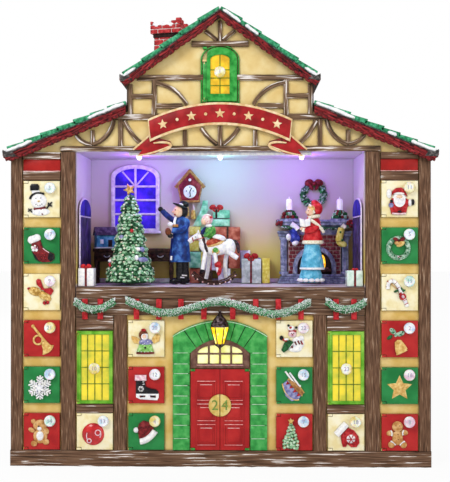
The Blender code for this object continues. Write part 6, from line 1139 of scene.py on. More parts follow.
def spikes(points, radius, count, draw, length=2.2 * MM, width=0.75 * MM, down=False):
    """Small pointed needles that stand on a rope through points."""
    needle = bmesh.new()
    bmesh.ops.create_cone(needle, cap_ends=True, segments=4, radius1=width, radius2=0.1 * MM, depth=length)
    places = []
    for _ in range(count):
        place = draw.uniform(0, len(points) - 1.001)
        i = int(place)
        spot = points[i].lerp(points[i + 1], place - i)
        along = (points[i + 1] - points[i]).normalized()
        angle = draw.uniform(math.pi, 2 * math.pi) if down else draw.uniform(0.1 * math.pi, 1.15 * math.pi)
        out = Vector((0, -abs(math.cos(angle)) if draw.random() < 0.8 else math.cos(angle), math.sin(angle)))
        out = (out + along * draw.uniform(-0.8, 0.8)).normalized()
        turn = out.to_track_quat("Z", "Y").to_matrix().to_4x4()
        places.append(Matrix.Translation(spot + out * (radius + length * 0.2)) @ turn)
    return strewn(needle, places)


GARLANDS = (
    ("garland_centre", -0.0883, 0.0846, ((-88.3, 158.6), (-76, 153.2), (-58, 146.6), (-43, 146.8),
                                         (-26, 151.6), (-10, 156.6),
                                   (0, 157.6), (14, 155.4), (32, 149.6), (50, 145.2), (64, 147.2),
                                   (76, 152.6), (84.6, 157.0)),
     (-79.2, -57.9, -37.0, -15.2, 12.1, 33.9, 55.3, 76.6)),
    ("garland_left", -0.1368, -0.0998, ((-136.8, 157.4), (-130, 151.6), (-120, 149.4), (-110, 151.2),
                                        (-99.8, 157.8)),
     (-128.3, -113.6)),
    ("garland_right", 0.1007, 0.1368, ((100.7, 157.8), (109, 151.6), (118, 149.6), (128, 151.4),
                                       (136.8, 157.4)),
     (109.8, 126.7)),
)
for name, x0, x1, route, straps in GARLANDS:
    garland = Casting(f"{name}_fir")
    rope = [Vector((x * MM, -0.053, z * MM)) for x, z in route]
    fine = []
    for a, b in zip(rope, rope[1:]):
        fine += [a.lerp(b, t / 4) for t in range(4)]
    fine.append(rope[-1])
    garland.pour(rod(rope, 3.3 * MM, sides=10), fir_green)
    draw = random.Random(name)
    count = int(sum((b - a).length for a, b in zip(rope, rope[1:])) / MM)
    garland.pour(spikes(fine, 2.6 * MM, count * 7, draw, down=True), fir_green)
    garland.pour(spikes(fine, 2.6 * MM, count * 4, draw), fir_green)
    garland.pour(spikes(fine, 2.7 * MM, count * 12, draw, width=0.95 * MM), frost_white)
    garland.pour(spikes(fine, 2.9 * MM, count * 2, draw, length=1.6 * MM, down=True), frost_white)
    for x in straps:
        garland.pour(block(((x - 2.6) * MM, (x + 2.6) * MM), (-0.0512, -0.0492), (0.1404, 0.1598), 0.3 * MM),
                     strap_red)
    garland = garland.set_down("garland_green", name)
    print(garland.name, len(garland.data.polygons), "faces")

# %% [markdown]
# ## Banner
# A ribbon of painted resin bows across the foot of the gable, with a folded tail at each end. The words are
# left off, and plain stars and dots take their place.

# %% The ribbon
ribbon_red = painted("acrylic_ribbon_red", "8a1216 a51a1e b52428", 12, 0.42)
ribbon_cream = painted("acrylic_ribbon_cream", "e0b57c efce9c f7dfb6", 5, 0.5)
BAND_HALF, BAND_FOOT, BAND_HIGH, BAND_BOW, BAND_BACK = 66.5 * MM, 0.3087, 21.5 * MM, 16 * MM, -0.0497


def bowed(share, rise):
    """A point across the ribbon: share -1 to 1 along it, rise above its lower edge."""
    lean = share * 0.10 * rise
    return share * BAND_HALF + lean, BAND_FOOT + BAND_BOW * (1 - share * share) + rise


def strip(low, high, ends=1.0, steps=24):
    """The outline of a strip of the ribbon between two rises."""
    shares = [ends * (2 * i / steps - 1) for i in range(steps + 1)]
    return [bowed(s, low) for s in shares] + [bowed(s, high) for s in reversed(shares)]


banner = Casting("banner_ribbon")
banner.pour(cutout(strip(0.0, BAND_HIGH), BAND_BACK - 1.9 * MM, BAND_BACK, 0.5 * MM), ribbon_cream)
banner.pour(cutout(strip(2.4 * MM, BAND_HIGH - 2.2 * MM, 0.985), BAND_BACK - 2.4 * MM, BAND_BACK, 0.4 * MM),
            ribbon_red)
for i in range(9):
    share = (i - 4) / 5
    x, z = bowed(share, BAND_HIGH / 2)
    mark = star_points(x / MM, z / MM, 5.0, 2.2, 5, -9 * share) if i % 2 == 0 else star_points(x / MM,
        z / MM, 1.5, 1.5, 8)
    banner.pour(cutout([mm(point) for point in mark], BAND_BACK - 2.95 * MM, BAND_BACK - 2 * MM, 0.25 * MM),
                ribbon_cream)
TAIL = ((-58, 312.5), (-66.5, 316), (-83, 301.4), (-73.5, 301.6), (-79, 295), (-62, 297.6), (-45, 305.4),
        (-56, 309))
FOLD = ((-61, 309.2), (-45, 305.6), (-47, 309.4), (-58, 312.4))
HEMS = (((-66.3, 315.4), (-82.6, 301.4)), ((-78.6, 295.4), (-62, 298), (-45.4, 305.6)))
CURL = ((-63, 307.6), (-55, 308.8), (-47.6, 308), (-45.6, 305), (-49.4, 301.4), (-57.4, 299.2))
for side in (-1, 1):
    pour_figure(banner, (0, 0, 0), (("slab", ribbon_red, ([(-side * x, z) for x, z in TAIL], -49.5, -48.2,
                                                          0.3)), ("rod", ribbon_cream,
                                                                  *[([(-side * x, -49.5, z) for x, z in hem],
                                                                      0.9) for hem in HEMS]),
                                    ("slab", maroon, ([(-side * x, z) for x, z in FOLD], -49.9, -49, 0.2)),
                                    ("rod", ribbon_cream, ([(-side * x, -50.2, z) for x, z in CURL], 1.2,
                                                           0.5)), ))
banner.set_down("banner_red", "banner")
print("ribbon crown at", round(bowed(0, BAND_HIGH)[1] * 1000, 1), "mm")

# %% [markdown]
# ## Roofs
# Each slope is a deck, courses of green shingles that overlap downhill, and a bargeboard whose ragged lower
# edge comes from short planks laid like thatch.

# %% Slopes, shingles and bargeboards
roof_tile = painted("acrylic_shingle_green", "1c6b45 2f9463 58b588", 2.6, 0.5, uneven=0.3)
deck_dark = painted("stained_deck", "241713 38251d 4a342a", 4, 0.7)
barge_red = stained("stained_barge_red", [(0.36, "#1c0809"), (0.45, "#5c1315"), (0.56, "#8b1c20"),
                                          (0.68, "#a8373a")], fibre=0.8, run=14, uneven=0.35)
barge_lip = painted("acrylic_barge_lip", "2c0a0b 6a1417 8d1f22", 2.5, 0.45)
dark_horn_and_shadow = painted("stained_horn_and_painted_shadow", "262423 403c3a 6d6764", 2.5, 0.5)
ROOF_FRONT, ROOF_BACK, BARGE_FRONT, RIDGE_TOP = -0.053, 0.0493, -0.0554, 0.4366
UPPER_SLOPE = ((0.0, 0.431), (0.089, 0.3675), 0.0952)
LOWER_SLOPE = ((0.0893, 0.3409), (0.2000, 0.296), 0.2062)


def on_slope(slope, share, rise=0.0):
    """A point a share of the way down a slope, at a height over its underside."""
    (x0, z0), (x1, z1), _ = slope
    return x0 + (x1 - x0) * share, z0 + (z1 - z0) * share + rise


def lay_grain(bm, angle):
    """A grain map along a direction of the facade."""
    grain = bm.loops.layers.uv.get("grain") or bm.loops.layers.uv.new("grain")
    for face in bm.faces:
        for loop in face.loops:
            co = loop.vert.co
            loop[grain].uv = (co.x * math.cos(angle) + co.z * math.sin(angle),
                              co.z * math.cos(angle) - co.x * math.sin(angle) + co.y)
    return bm


def pour_roof(roof, slope, side, courses, draw):
    """One slope: its deck, its shingles, its bargeboard and its horn."""
    (x0, z0), (x1, z1), tip = slope
    fall = math.atan2(z0 - z1, x1 - x0)
    length = math.dist((x0, z0), (x1, z1))
    horn_z = z1 - 0.5 * MM
    deck = [(x0, z0), (x1, z1), (tip, horn_z), (tip, horn_z + 3.4 * MM), on_slope(slope, 1, 3 * MM),
            on_slope(slope, 0, 3 * MM)]
    roof.pour(cutout([(side * x, z) for x, z in deck], ROOF_FRONT, ROOF_BACK, 0), deck_dark)
    reach = length / courses
    for course in range(courses):
        y = ROOF_FRONT + 0.1 * MM
        while y < ROOF_BACK - 2 * MM:
            wide = min(draw.uniform(6.0, 9.5) * MM, ROOF_BACK - y)
            high = (4.6 if y < ROOF_FRONT + MM else 2.0) * MM + draw.uniform(-0.4, 0.4) * MM
            tile = block((-MM, reach + draw.uniform(0.3, 1.3) * MM), (0, wide - 0.35 * MM), (0, high),
                         0.35 * MM)
            lean = fall - math.atan2(1.7 * MM, reach)
            twist(tile, lean, "Y")
            x, z = on_slope(slope, course / courses, 2.2 * MM)
            shift(tile, (x, y, z))
            for vert in tile.verts:
                vert.co.x, vert.co.z = max(vert.co.x, x0) * side, min(vert.co.z, RIDGE_TOP)
            outward(tile)
            roof.pour(tile, roof_tile)
            y += wide
    steps = int(length / (4 * MM))
    low = [on_slope(slope, i / steps, (-5.0 + draw.uniform(-0.5, 0.5)) * MM) for i in range(steps + 1)]
    board = low + [(tip - MM, horn_z - 2 * MM), (tip, horn_z + 2 * MM), on_slope(slope, 1, 2.6 * MM),
                   on_slope(slope, 0, 2.6 * MM)]
    base = cutout([(side * x, z) for x, z in board], BARGE_FRONT + 1.3 * MM, ROOF_FRONT + 0.1 * MM, 0.2 * MM)
    roof.pour(lay_grain(base, -side * fall), barge_red)
    plank = 13 * MM
    count = int(length / (5 * MM))
    for i in range(count):
        share = (i + 0.5) / count
        lower_plank = (draw.uniform(-4.6, -2.8), draw.uniform(0.02, 0.2))
        upper_plank = (draw.uniform(-1.4, 0.9), draw.uniform(-0.1, 0.08))
        for rise, lean in (lower_plank, upper_plank):
            x, z = on_slope(slope, share, rise * MM)
            run = plank * draw.uniform(0.6, 1.0) / 2
            angle = -fall - lean
            start = (x - run * math.cos(angle), z - run * math.sin(angle))
            end = (x + run * math.cos(angle), z + run * math.sin(angle))
            if start[0] < x0:
                start = (x0, z + (x0 - x) * math.tan(angle))
            front = BARGE_FRONT + draw.uniform(0.0, 0.7) * MM
            ends = sorted([(side * start[0], start[1]), (side * end[0], end[1])])
            roof.pour(hewn(ends[0], ends[1], draw.uniform(1.6, 3.0) * MM, front=front, back=ROOF_FRONT),
                      barge_red)
    for i in range(int(length / (6.6 * MM))):
        share, hang = (i + 0.5) * 6.6 * MM / length, -5 * MM - draw.uniform(0, 0.8) * MM
        if on_slope(slope, share)[0] > x0 + 3 * MM:
            x, z = on_slope(slope, share, hang)
            lobe = pebble((side * x, BARGE_FRONT + 1.2 * MM, z), (3.6 * MM, 1.3 * MM, 1.5 * MM),
                          -side * math.degrees(fall), 12)
            roof.pour(lobe, barge_lip)
    # A dark rod where the shingles meet the bargeboard is a painted shadow.
    line = [on_slope(slope, i / 10, 2.3 * MM) for i in range(11)]
    roof.pour(rod([(side * x, BARGE_FRONT + 0.9 * MM, z) for x, z in line], 0.65 * MM), dark_horn_and_shadow)
    horn = [on_slope(slope, 0.93, -4.6 * MM), (tip - 1.5 * MM, horn_z - 1.6 * MM), (tip, horn_z + 3.6 * MM),
            (tip - 0.4 * MM, horn_z + 5.6 * MM), (tip - 4.5 * MM, horn_z + 3.4 * MM), on_slope(slope, 0.97,
                2.8 * MM)]
    roof.pour(cutout([(side * x, z) for x, z in horn], BARGE_FRONT + 0.2 * MM, ROOF_FRONT, 0.5 * MM),
              dark_horn_and_shadow)
    roof.pour(block(sorted((side * (tip - 3 * MM), side * tip)), (ROOF_FRONT, ROOF_BACK), (horn_z + 0.2 * MM,
        horn_z + 4.8 * MM), 0.8 * MM), dark_horn_and_shadow)


print("the upper slope is", round(1000 * math.dist(*UPPER_SLOPE[:2])), "mm long")

# %% [markdown]
# ## Snow
# Snow is one thick skin with soft lumps that slips over the front edge here and there. Pebbles are strewn on
# the slope, a remesh melts them together, and smoothing settles it. Where none falls, the green shows.

# %% Strewn lumps, melted into a skin
drift_white = painted("acrylic_snow", "ececf2 faf9f8 ffffff", 5, 0.6, uneven=0.35, grain=0.9, wash_and_shade=0.25)


def melted(bm, voxel=1.1 * MM, rounds=5):
    """One smooth skin round overlapping lumps."""
    mesh = bpy.data.meshes.new("lumps")
    bm.to_mesh(mesh)
    bm.free()
    holder = bpy.data.objects.new("lumps", mesh)
    bpy.context.scene.collection.objects.link(holder)
    skin = holder.modifiers.new("skin", "REMESH")
    skin.mode, skin.voxel_size = "VOXEL", voxel
    settle = holder.modifiers.new("settle", "SMOOTH")
    settle.iterations, settle.factor = rounds, 0.5
    result = bpy.data.meshes.new_from_object(holder.evaluated_get(bpy.context.evaluated_depsgraph_get()))
    made = bmesh.new()
    made.from_mesh(result)
    bpy.data.objects.remove(holder)
    bpy.data.meshes.remove(result)
    bpy.data.meshes.remove(mesh)
    return made


def ball():
    """A coarse unit ball."""
    bm = bmesh.new()
    bmesh.ops.create_uvsphere(bm, u_segments=10, v_segments=7, radius=1.0)
    return bm


def ball_at(centre, radii, lean=0.0):
    """The matrix that makes the unit ball an egg at a place, leaning down a slope."""
    return Matrix.Translation(centre) @ Matrix.Rotation(lean, 4, "Y") @ Matrix.Diagonal((*radii, 1.0))


def strew(slope, side, bare, hanging, draw):
    """Lumps of snow on a slope. bare and hanging are shares of it where snow is missing or hangs over."""
    (x0, z0), (x1, z1), _ = slope
    fall = math.atan2(z0 - z1, x1 - x0)
    length = math.dist((x0, z0), (x1, z1))
    places = []

    def lump(share, y, rise, radii):
        x, z = on_slope(slope, share, rise)
        places.append(ball_at((side * x, y, z), radii, side * fall))

    rows = int(length / (4.2 * MM))
    for i in range(rows + 1):
        share = i / rows
        y = ROOF_FRONT + 3.2 * MM
        while y < ROOF_BACK - 3.4 * MM:
            near_front = y < ROOF_FRONT + 9 * MM
            missing = near_front and any(a <= share <= b for a, b in bare)
            if not missing and draw.random() > 0.10:
                wide = draw.uniform(3.2, 4.6) * MM
                high = draw.uniform(1.5, 2.4) * MM
                place = min(max(share + draw.uniform(-0.012, 0.012), 3.4 * MM / length), 1.0)
                lump(place, y, 5 * MM, (wide, wide * 0.9, high))
            y += draw.uniform(4.2, 6.0) * MM
    for a, b in hanging:
        count = max(int((b - a) * length / (3 * MM)), 2)
        for i in range(count + 1):
            share = a + (b - a) * i / count
            lump(share, ROOF_FRONT + 0.2 * MM, draw.uniform(4.2, 5.4) * MM, (2.8 * MM, 1.9 * MM,
                draw.uniform(1.8, 2.6) * MM))
            lump(share, ROOF_FRONT + 2.6 * MM, 5.2 * MM, (3 * MM, 3 * MM, 2 * MM))
    return melted(strewn(ball(), places))


ROOFS = (("upper_roof", ((UPPER_SLOPE, -1, 5, ((0.0, 0.86),), ((0.93, 1.02),)), (UPPER_SLOPE, 1, 5,
    ((0.22, 0.27), (0.41, 0.88)), ((0.06, 0.20), (0.29, 0.39), (0.93, 1.02))))),
         ("left_roof", ((LOWER_SLOPE, -1, 7, ((0.34, 0.80),), ((0.03, 0.30), (0.84, 1.02))),)),
         ("right_roof", ((LOWER_SLOPE, 1, 7, ((0.36, 0.62), (0.70, 0.80)), ((0.03, 0.32), (0.64, 0.68),
             (0.84, 1.02))),)),)
for name, slopes in ROOFS:
    roof = Casting(f"{name}_of_shingles")
    for slope, side, courses, bare, hanging in slopes:
        draw = random.Random(f"{name} {side}")
        pour_roof(roof, slope, side, courses, draw)
        roof.pour(strew(slope, side, bare, hanging, draw), drift_white)
    roof = roof.set_down("roof_green", name)
    print(roof.name, len(roof.data.polygons), "faces, top",
          round(1000 * max(v.co.z for v in roof.data.vertices), 1))

# %% [markdown]
# ## Chimney
# A brick stack with a corbelled head, turned a little on the ridge. The bricks are blocks in running bond,
# proud of a pale core that shows as mortar. Its rim is broken, and snow fills it.

# %% Bricks in running bond
brick_red = painted("acrylic_brick", "8e1a1e b8282c cf4444", 2.2, 0.55, uneven=0.3)
mortar_pink = painted("dry_brushed_pink_white", "dfa8a4 f0d2ce fbeeec", 2, 0.7, wash_and_shade=0.2)
soot_and_shadow = painted("soot_and_painted_shadow", "1f100e 35201c", 3, 0.8)
STACK_X, STACK_TURN, BRICK_HIGH, JOINT = -0.0515, -15, 5.6 * MM, 0.8 * MM


def brick_course(foot, high, half_x, half_y, shift):
    """One ring of bricks round the stack, as one shape."""
    ring = bmesh.new()
    lump = bpy.data.meshes.new("bricks")
    for along, across, turned_side in ((half_x, half_y, False), (half_y, half_x, True)):
        joints = [-along, -along * 0.42 + shift, along * 0.48 + shift, along]
        for face_side in (-1, 1):
            for a, b in zip(joints, joints[1:]):
                span = (a + JOINT / 2 * (a > -along), b - JOINT / 2 * (b < along))
                deep = (face_side * across - face_side * 1.4 * MM, face_side * across)
                x, y = (sorted(deep), span) if turned_side else (span, sorted(deep))
                brick = block(x, y, (foot, foot + high - JOINT), 0.35 * MM)
                brick.to_mesh(lump)
                brick.free()
                ring.from_mesh(lump)
    bpy.data.meshes.remove(lump)
    return ring


chimney = Casting("brick_chimney")
for i in range(8):
    shift_x = (-2.2 if i % 2 else 2.4) * MM
    chimney.pour(brick_course(0.3765 + i * BRICK_HIGH, BRICK_HIGH, 13.1 * MM, 10 * MM, shift_x), brick_red)
# The dark block under the head is a painted shadow below the corbel; the pale core is mortar.
pour_figure(chimney, (0, 0, 0), (("block", mortar_pink, ((-12.4, 12.4), (-9.3, 9.3), (376.5, 422.5), 0.2)),
                                 ("block", soot_and_shadow, ((-13.9, 13.9), (-10.8, 10.8), (417.2, 421.4), 0.5))))
for i in range(2):
    shift_x = (3.0 if i % 2 else -1.5) * MM
    chimney.pour(brick_course(0.421 + i * 4.4 * MM, 4.4 * MM, 16 * MM, 12.9 * MM, shift_x), brick_red)
BROKEN = ((13.2, -10.2, 5.6), (13.2, -4.4, 4.4), (8.4, -10.4, 3.2), (13.4, 9.6, 3.8), (-14.6, -11.3, 3),
          (-13.6, 9, 3.4))
pour_figure(chimney, (0, 0, 0), (("block", mortar_pink, ((-15.4, 15.4), (-12.3, 12.3), (421.2, 429.2),
                                                         0.2)),))
for x, y, high in BROKEN:
    wide = 1.2 if x < -14 else 2.6
    pour_figure(chimney, (x * MM, y * MM, 0.4296), (("block", brick_red, ((-wide, wide), (-2.4, 2.4),
        (0, 0.2 + high), 0.5)),))
heap = []
draw = random.Random("chimney snow")
for x in range(-13, 14, 4):
    for y in range(-10, 11, 4):
        high = 2.2 + 1.2 * math.exp(-((x + 1) / 7) ** 2) + draw.uniform(-0.3, 0.3) - (1.2 if x > 5 else 0)
        heap.append(ball_at((x * MM, y * MM, 0.4300), (3.3 * MM, 3.3 * MM, high * MM)))
for x, drop in ((-9.5, 2.2), (-2.0, 1.2), (5.5, 2.6)):
    heap.append(ball_at((x * MM, -12.2 * MM, 0.429), (2.6 * MM, 1.5 * MM, drop * MM)))
chimney.pour(melted(strewn(ball(), heap), 0.9 * MM, 3), drift_white)
twist(chimney.mesh, math.radians(STACK_TURN), "Z")
shift(chimney.mesh, (STACK_X, 0, 0))
chimney = chimney.set_down("brick_red", "chimney")
print(chimney.name, len(chimney.data.polygons), "faces")

# %% [markdown]
# ## Red boards over the columns
# A plain red board fills the last bay of each column, between its two top rails.

# %% Two boards
boards = Casting("column_head_boards")
for side in (-1, 1):
    x = sorted((side * COLUMN_INNER, side * COLUMN_OUTER))
    boards.pour(block(x, (-0.0474, -0.0462), (COLUMN_HEAD - 0.3 * MM, RED_TOP + 0.3 * MM), 0.2 * MM),
                panel_red)
    # A pale line at the foot of each board is a painted highlight on the rail's edge.
    boards.pour(rod([(end, -0.0476, COLUMN_HEAD + 0.3 * MM) for end in x], 0.35 * MM), edge_highlight)
boards.set_down("leaf_red")
print("boards laid over both columns")

# %% [markdown]
# ## Figures in the round
# The figures are small castings, a thumb high. Each is a table of eggs, limbs, bells from the lathe and
# slabs, in millimetres from the middle of the foot, with +Y away from the viewer. The faces are plain.

# %% Man and woman
royal = painted("acrylic_bright_blue", "142862 22448e 4a7cc0", 6, 0.4)
navy = painted("acrylic_navy", "10194a 1b2a72 2b3d92", 4, 0.45)
cloak = painted("acrylic_cloak_red", "a8141a cc2228 dd4444", 4, 0.4)
fur = painted("acrylic_fur", "e2d3ae f2e8cf fbf6e8", 1.5, 0.7, uneven=0.3)
patent_black = painted("gloss_black", "08080a 111114 1d1d22", 3, 0.14, wash_and_shade=0.0)

man = Casting("man_in_blue")
pour_figure(man, (-0.044, -0.002, 0.1713), (
    ("egg", patent_black, ((-1.5, -2.5, 3.6), (6.2, 3.6, 3.4), 6), ((7, 0.5, 3.3), (6, 3.6, 3.2), 4)),
    ("limb", white, (((3.5, -4.8, 7.4), (7.5, -3.6, 7)), 0.6), (((5, -4.2, 9.4), (10, -2.8, 9)), 0.6)),
    ("limb", black, (((2.8, -1, 5), (3, -0.8, 26)), 4), (((8.2, 1.4, 5), (7.4, 1, 26)), 4)),
    ("bell", royal, (((9.8, 22.6), (10.2, 23.4), (9.2, 34), (7.9, 46), (7.8, 56), (7.4, 62), (4.6, 67.5),
     (2.2, 69)), (3.6, 0), 0.78)),
    ("bell", navy, (((8.6, 22.4), (9, 23.6), (7.6, 46), (4, 48)), (1.2, 2.2), 0.86)),
    ("limb", white, (((-5.6, -5, 24.4), (-5.2, -5.2, 28.6)), 1)),
    ("limb", navy, (((0, -1.6, 62.5), (-8, -3.4, 66), (-14.6, -4.4, 74)), 3.2, 0.8)),
    ("egg", black, ((-16.2, -4.6, 75.2), (2.6, 2.2, 2.6))),
    ("egg", royal, ((8.6, -1.6, 60.5), (4.4, 4.4, 6), -12)),
    ("limb", royal, (((9.6, -2.6, 60), (8.4, -6.4, 51), (-4.6, -7.6, 54.4)), 3.4, 0.9)),
    ("egg", white, ((-6.2, -8, 60), (2.7, 2.2, 2.2))),
    ("limb", tan, (((-4, -7.6, 58.6), (1.6, -7.2, 58.6)), 1.5)),
    ("egg", chestnut, ((-8.4, -7.4, 52.6), (3, 2.6, 4.2), 10)),
    ("egg", black, ((-6.4, -7, 48.8), (2.8, 2.4, 2.4))),
    ("limb", white, (((-0.6, -5.4, 67.4), (-3.2, -6.2, 63), (-1.6, -6.6, 58.8)), 1.3)),
    ("egg", black, ((5.8, 0.4, 73), (5.2, 5.2, 6.4))),
    ("egg", skin, ((1.2, -2.6, 72.8), (5, 4.6, 5.8)), ((-3.6, -3.4, 72.6), (1.4, 1.1, 1.3))),
    ("egg", black, ((-1.4, -6.4, 74.4), (0.6, 0.4, 0.6))),
    ("egg", red, ((-1.8, -5.8, 69.8), (1.2, 0.7, 0.5), -20)),
    ("egg", black, ((3.6, -1.2, 78.4), (8.6, 6.4, 1.5), -22), ((7, 0, 80.4), (5, 4.8, 3.4), -16)),
    # The white fleck on the hat is a painted highlight.
    ("egg", white, ((4.6, -4.6, 80), (2.2, 0.9, 1), -20)),
))
man.set_down("figure_blue", "man_figure")

woman = Casting("woman_in_red", "woman")
pour_figure(woman, (0.0895, -0.013, 0.1728), (
    ("bell", black, (((0, 0.1), (9.6, 0.1), (9.8, 1.2), (0, 1.6)), (0, 0), 0.9)),
    ("bell", sky, (((9, 1.2), (11.4, 3), (11.2, 8), (9.4, 14), (2, 14.5)), (-0.6, 0), 0.92), (((11.8, 14.6),
     (12, 15.4), (10.6, 24), (8.2, 33), (7.4, 39), (2, 40)), (0.6, 0), 0.9)),
    ("bell", white, (((11.6, 13.8), (12.4, 14.4), (12.4, 15.6), (11.7, 16.2)), (0.6, 0), 0.9)),
    ("bell", cloak, (((9.4, 40.4), (9.8, 44), (8, 50), (7.4, 56), (7.6, 61), (5, 66), (2.4, 68)), (1.2, 0),
     0.84)),
    ("bell", fur, (((8.8, 38.8), (10.4, 39.4), (10.6, 41), (10, 42.4), (8.8, 42.8)), (1.2, 0), 0.86)),
    ("limb", cloak, (((6.4, -3.6, 58), (4.8, -7.4, 52.4), (-7.4, -8.2, 52)), 3.3, 0.85), (((-1, 2, 60),
     (-4, -3, 55.4), (-8, -5, 54)), 2.8, 0.85)),
    ("limb", fur, (((-8.4, -8.2, 50.8), (-8, -8.2, 54.8)), 2), (((-1.6, -6.4, 62.6), (3.6, -7.4, 60),
     (8.8, -6.2, 55), (11.6, -3.4, 50.6)), 1.6)), ("egg", skin, ((-10.2, -8, 54), (1.9, 1.7, 1.7))),
    ("slab", white, (((-12.6, 64.4), (-11.8, 56.4), (-7, 55.4), (-7.4, 62.8)), -9.2, -8), (((-7.2, 62.8),
     (-6.8, 55.4), (-1.8, 57), (-1.6, 64.6)), -9, -7.8)),
    ("limb", fur, (((-3.2, -4.6, 64.6), (0.4, -6, 65.6), (5, -4.6, 66.6), (7, -1, 66.4)), 1.9)),
    ("egg", cloak, ((4.6, 0.6, 73.6), (6.4, 6, 7), -14), ((3.8, 0.4, 79), (4.4, 4.2, 3.2), -26)),
    ("egg", bronze, ((-0.2, -2, 72.6), (4.6, 4.6, 5))),
    ("egg", skin, ((-1.6, -3.2, 70.4), (4, 3.8, 4.8)), ((-5.4, -3.6, 70.2), (1.1, 0.9, 1))),
    ("egg", black, ((-3.6, -6.4, 71.6), (0.5, 0.4, 0.5))), ("egg", red, ((-3.8, -6.3, 67.6), (1, 0.6, 0.5))),
    ("limb", fur, (((-2.6, -3.4, 77.6), (0.4, -5.2, 74.6), (2.2, -5.4, 69)), 1.2)),
    ("egg", white, *[((10.8 * math.cos(math.radians(a)) - 0.6, 9.9 * math.sin(math.radians(a)), 3.6),
                      (3.0, 2.6, 1.9)) for a in range(0, 360, 30)]),
))
woman.set_down("figure_red", "woman_figure")
print("man and woman stand on their marks")

# %% [markdown]
# ## Child on a rocking horse
# The horse, its rider and the rockers are one casting. The rockers are dark with small pink dots.

# %% Horse and rider
dark_stain = painted("stained_rocker", "20130f 3d241c 5a382c", 3, 0.4)
saddle = painted("acrylic_saddle", "8a2a14 b04026 c96a4a", 3, 0.4)
trim = painted("acrylic_trim", "c99a54 e0b876 efd2a0", 2, 0.5)
mane = painted("acrylic_mane", "140f12 2a1f24 5c3a44", 1.4, 0.4, wash_and_shade=0.0)
moss = painted("acrylic_moss", "2c7a2e 4c9a3e 7fbb5e", 2, 0.45)
bonnet = painted("acrylic_bonnet", "e0a0a0 f1cfc6 fbeee6", 1.6, 0.6)
HORSE = (-0.0065, -0.013, 0.1713)
ROCKER_HUB, ROCKER_REACH, ROCKER_GAUGE = 31.0, 29.9, 6.0
rockers, dots = [], []
for y in (-ROCKER_GAUGE, ROCKER_GAUGE):
    turns = [math.radians(-48 + 12 * i) for i in range(9)]
    arc_points = [(ROCKER_REACH * math.sin(t), y, ROCKER_HUB - ROCKER_REACH * math.cos(t)) for t in turns]
    lower = [(x * 0.93, y, z + 2.3) for x, _, z in arc_points]
    rockers += [("limb", dark_stain, (arc_points, 1.15), (lower, 0.7))]
    dots += [("egg", bonnet, *[((ROCKER_REACH * math.sin(math.radians(a)), y - 1.1,
                                 ROCKER_HUB - ROCKER_REACH * math.cos(math.radians(a))), (0.75, 0.4, 0.75))
                               for a in range(-44, 45, 11)])]
cross = [("limb", dark_stain, *[(((x, -ROCKER_GAUGE, 6.2), (x, ROCKER_GAUGE, 6.2)), 1.1) for x in (-18, 18)])]
horse = Casting("rocking_horse_and_rider", "horse")
pour_figure(horse, HORSE, tuple(rockers + dots + cross) + (
    ("egg", white, ((3, 0, 36.6), (15, 6.6, 7.4), 6), ((15, 0, 37.6), (6.6, 6.4, 8.2)), ((-8.8, 0, 39),
     (6, 5.4, 8.2), 24)),
    ("limb", white, (((-8, 0, 41), (-12.4, 0, 46.8), (-16.2, 0, 49.4)), 4.4, 0.8), (((-15, 0, 50),
     (-20, 0, 46.6), (-25, 0, 42.6)), 3.1, 0.75)), ("egg", white, ((-15.6, -2, 52.6), (1, 0.9, 1.9))),
    ("egg", black, ((-18.6, -2.9, 47.4), (0.6, 0.4, 0.6))),
    ("limb", saddle, (((-21.6, -2.9, 47), (-20.4, -3, 42.6)), 0.45), (((-20.6, -3, 44), (-8.6, -5.2, 46.6),
     (-5, -3, 50)), 0.4)),
    ("limb", mane, (((-13.6, -1.6, 51), (-9.4, -3.2, 46), (-9, -4.4, 37), (-6.6, -5.2, 32.6)), 1.9, 0.5)),
    ("limb", white, (((-8.2, -3.4, 35), (-9.6, -4.4, 26), (-11.4, -5.2, 15.4)), 2.3, 0.9), (((-5.6, 3.4, 34),
     (-4, 4.6, 24), (-8.4, 5.6, 6)), 2.2, 0.9)), ("egg", black, ((-11.8, -5.4, 14.2), (2.2, 1.8, 1.6))),
    ("limb", white, (((13, -3.4, 34), (17.6, -4.4, 30), (23, -5.4, 26.6)), 2.9, 0.8), (((14, 3.4, 34),
     (9, 4.8, 24), (11.6, 5.6, 7)), 2.3, 0.9), (((0.6, -4.8, 32), (2, -5.4, 22), (4.8, -5.8, 11)), 2, 0.9)),
    ("limb", mane, (((18, 0, 44), (22.6, -1, 43.4), (24.6, -1.4, 37.6), (23.8, -1.4, 31.4)), 2.3, 0.4)),
    ("egg", saddle, ((-0.6, -1.2, 42), (9.4, 6.6, 4.6), 14)),
    ("egg", trim, ((0.6, -0.4, 40.4), (10.4, 7, 4), 14)), ("egg", moss, ((1.6, -5, 34.6), (3.4, 2.4, 3.2))),
    ("egg", trim, ((1.6, -4.6, 34.4), (4.6, 2.2, 4.2))),
    ("egg", white, ((4.6, -1.4, 46.6), (7, 5, 3.2), -10)), ("egg", moss, ((-3.6, -1, 52.6), (5.4, 4.6, 7))),
    ("limb", moss, (((-1.6, -4.6, 55.6), (-4.2, -6, 49.8), (-9.6, -4.8, 48.6)), 2.2, 0.8)),
    ("limb", navy, (((-6, 2, 57.6), (-11.6, 0, 54), (-12.4, -1, 50)), 2.1, 0.8)),
    ("egg", bonnet, ((-7, -0.4, 64.6), (5.6, 5.2, 5.8))), ("egg", skin, ((-9.8, -2, 63), (3.2, 3.2, 3.8))),
    ("egg", red, ((-3.4, -3.6, 66.8), (1.9, 1.2, 1.3))), ("egg", white, ((-5.2, -3, 58.4), (3.4, 2.4, 1.8))),
    ("egg", red, ((4, -6.4, 20.2), (3.6, 1.6, 3.4)), ((5.2, -6.6, 13.8), (2.2, 1.2, 4.6), -14)),
))
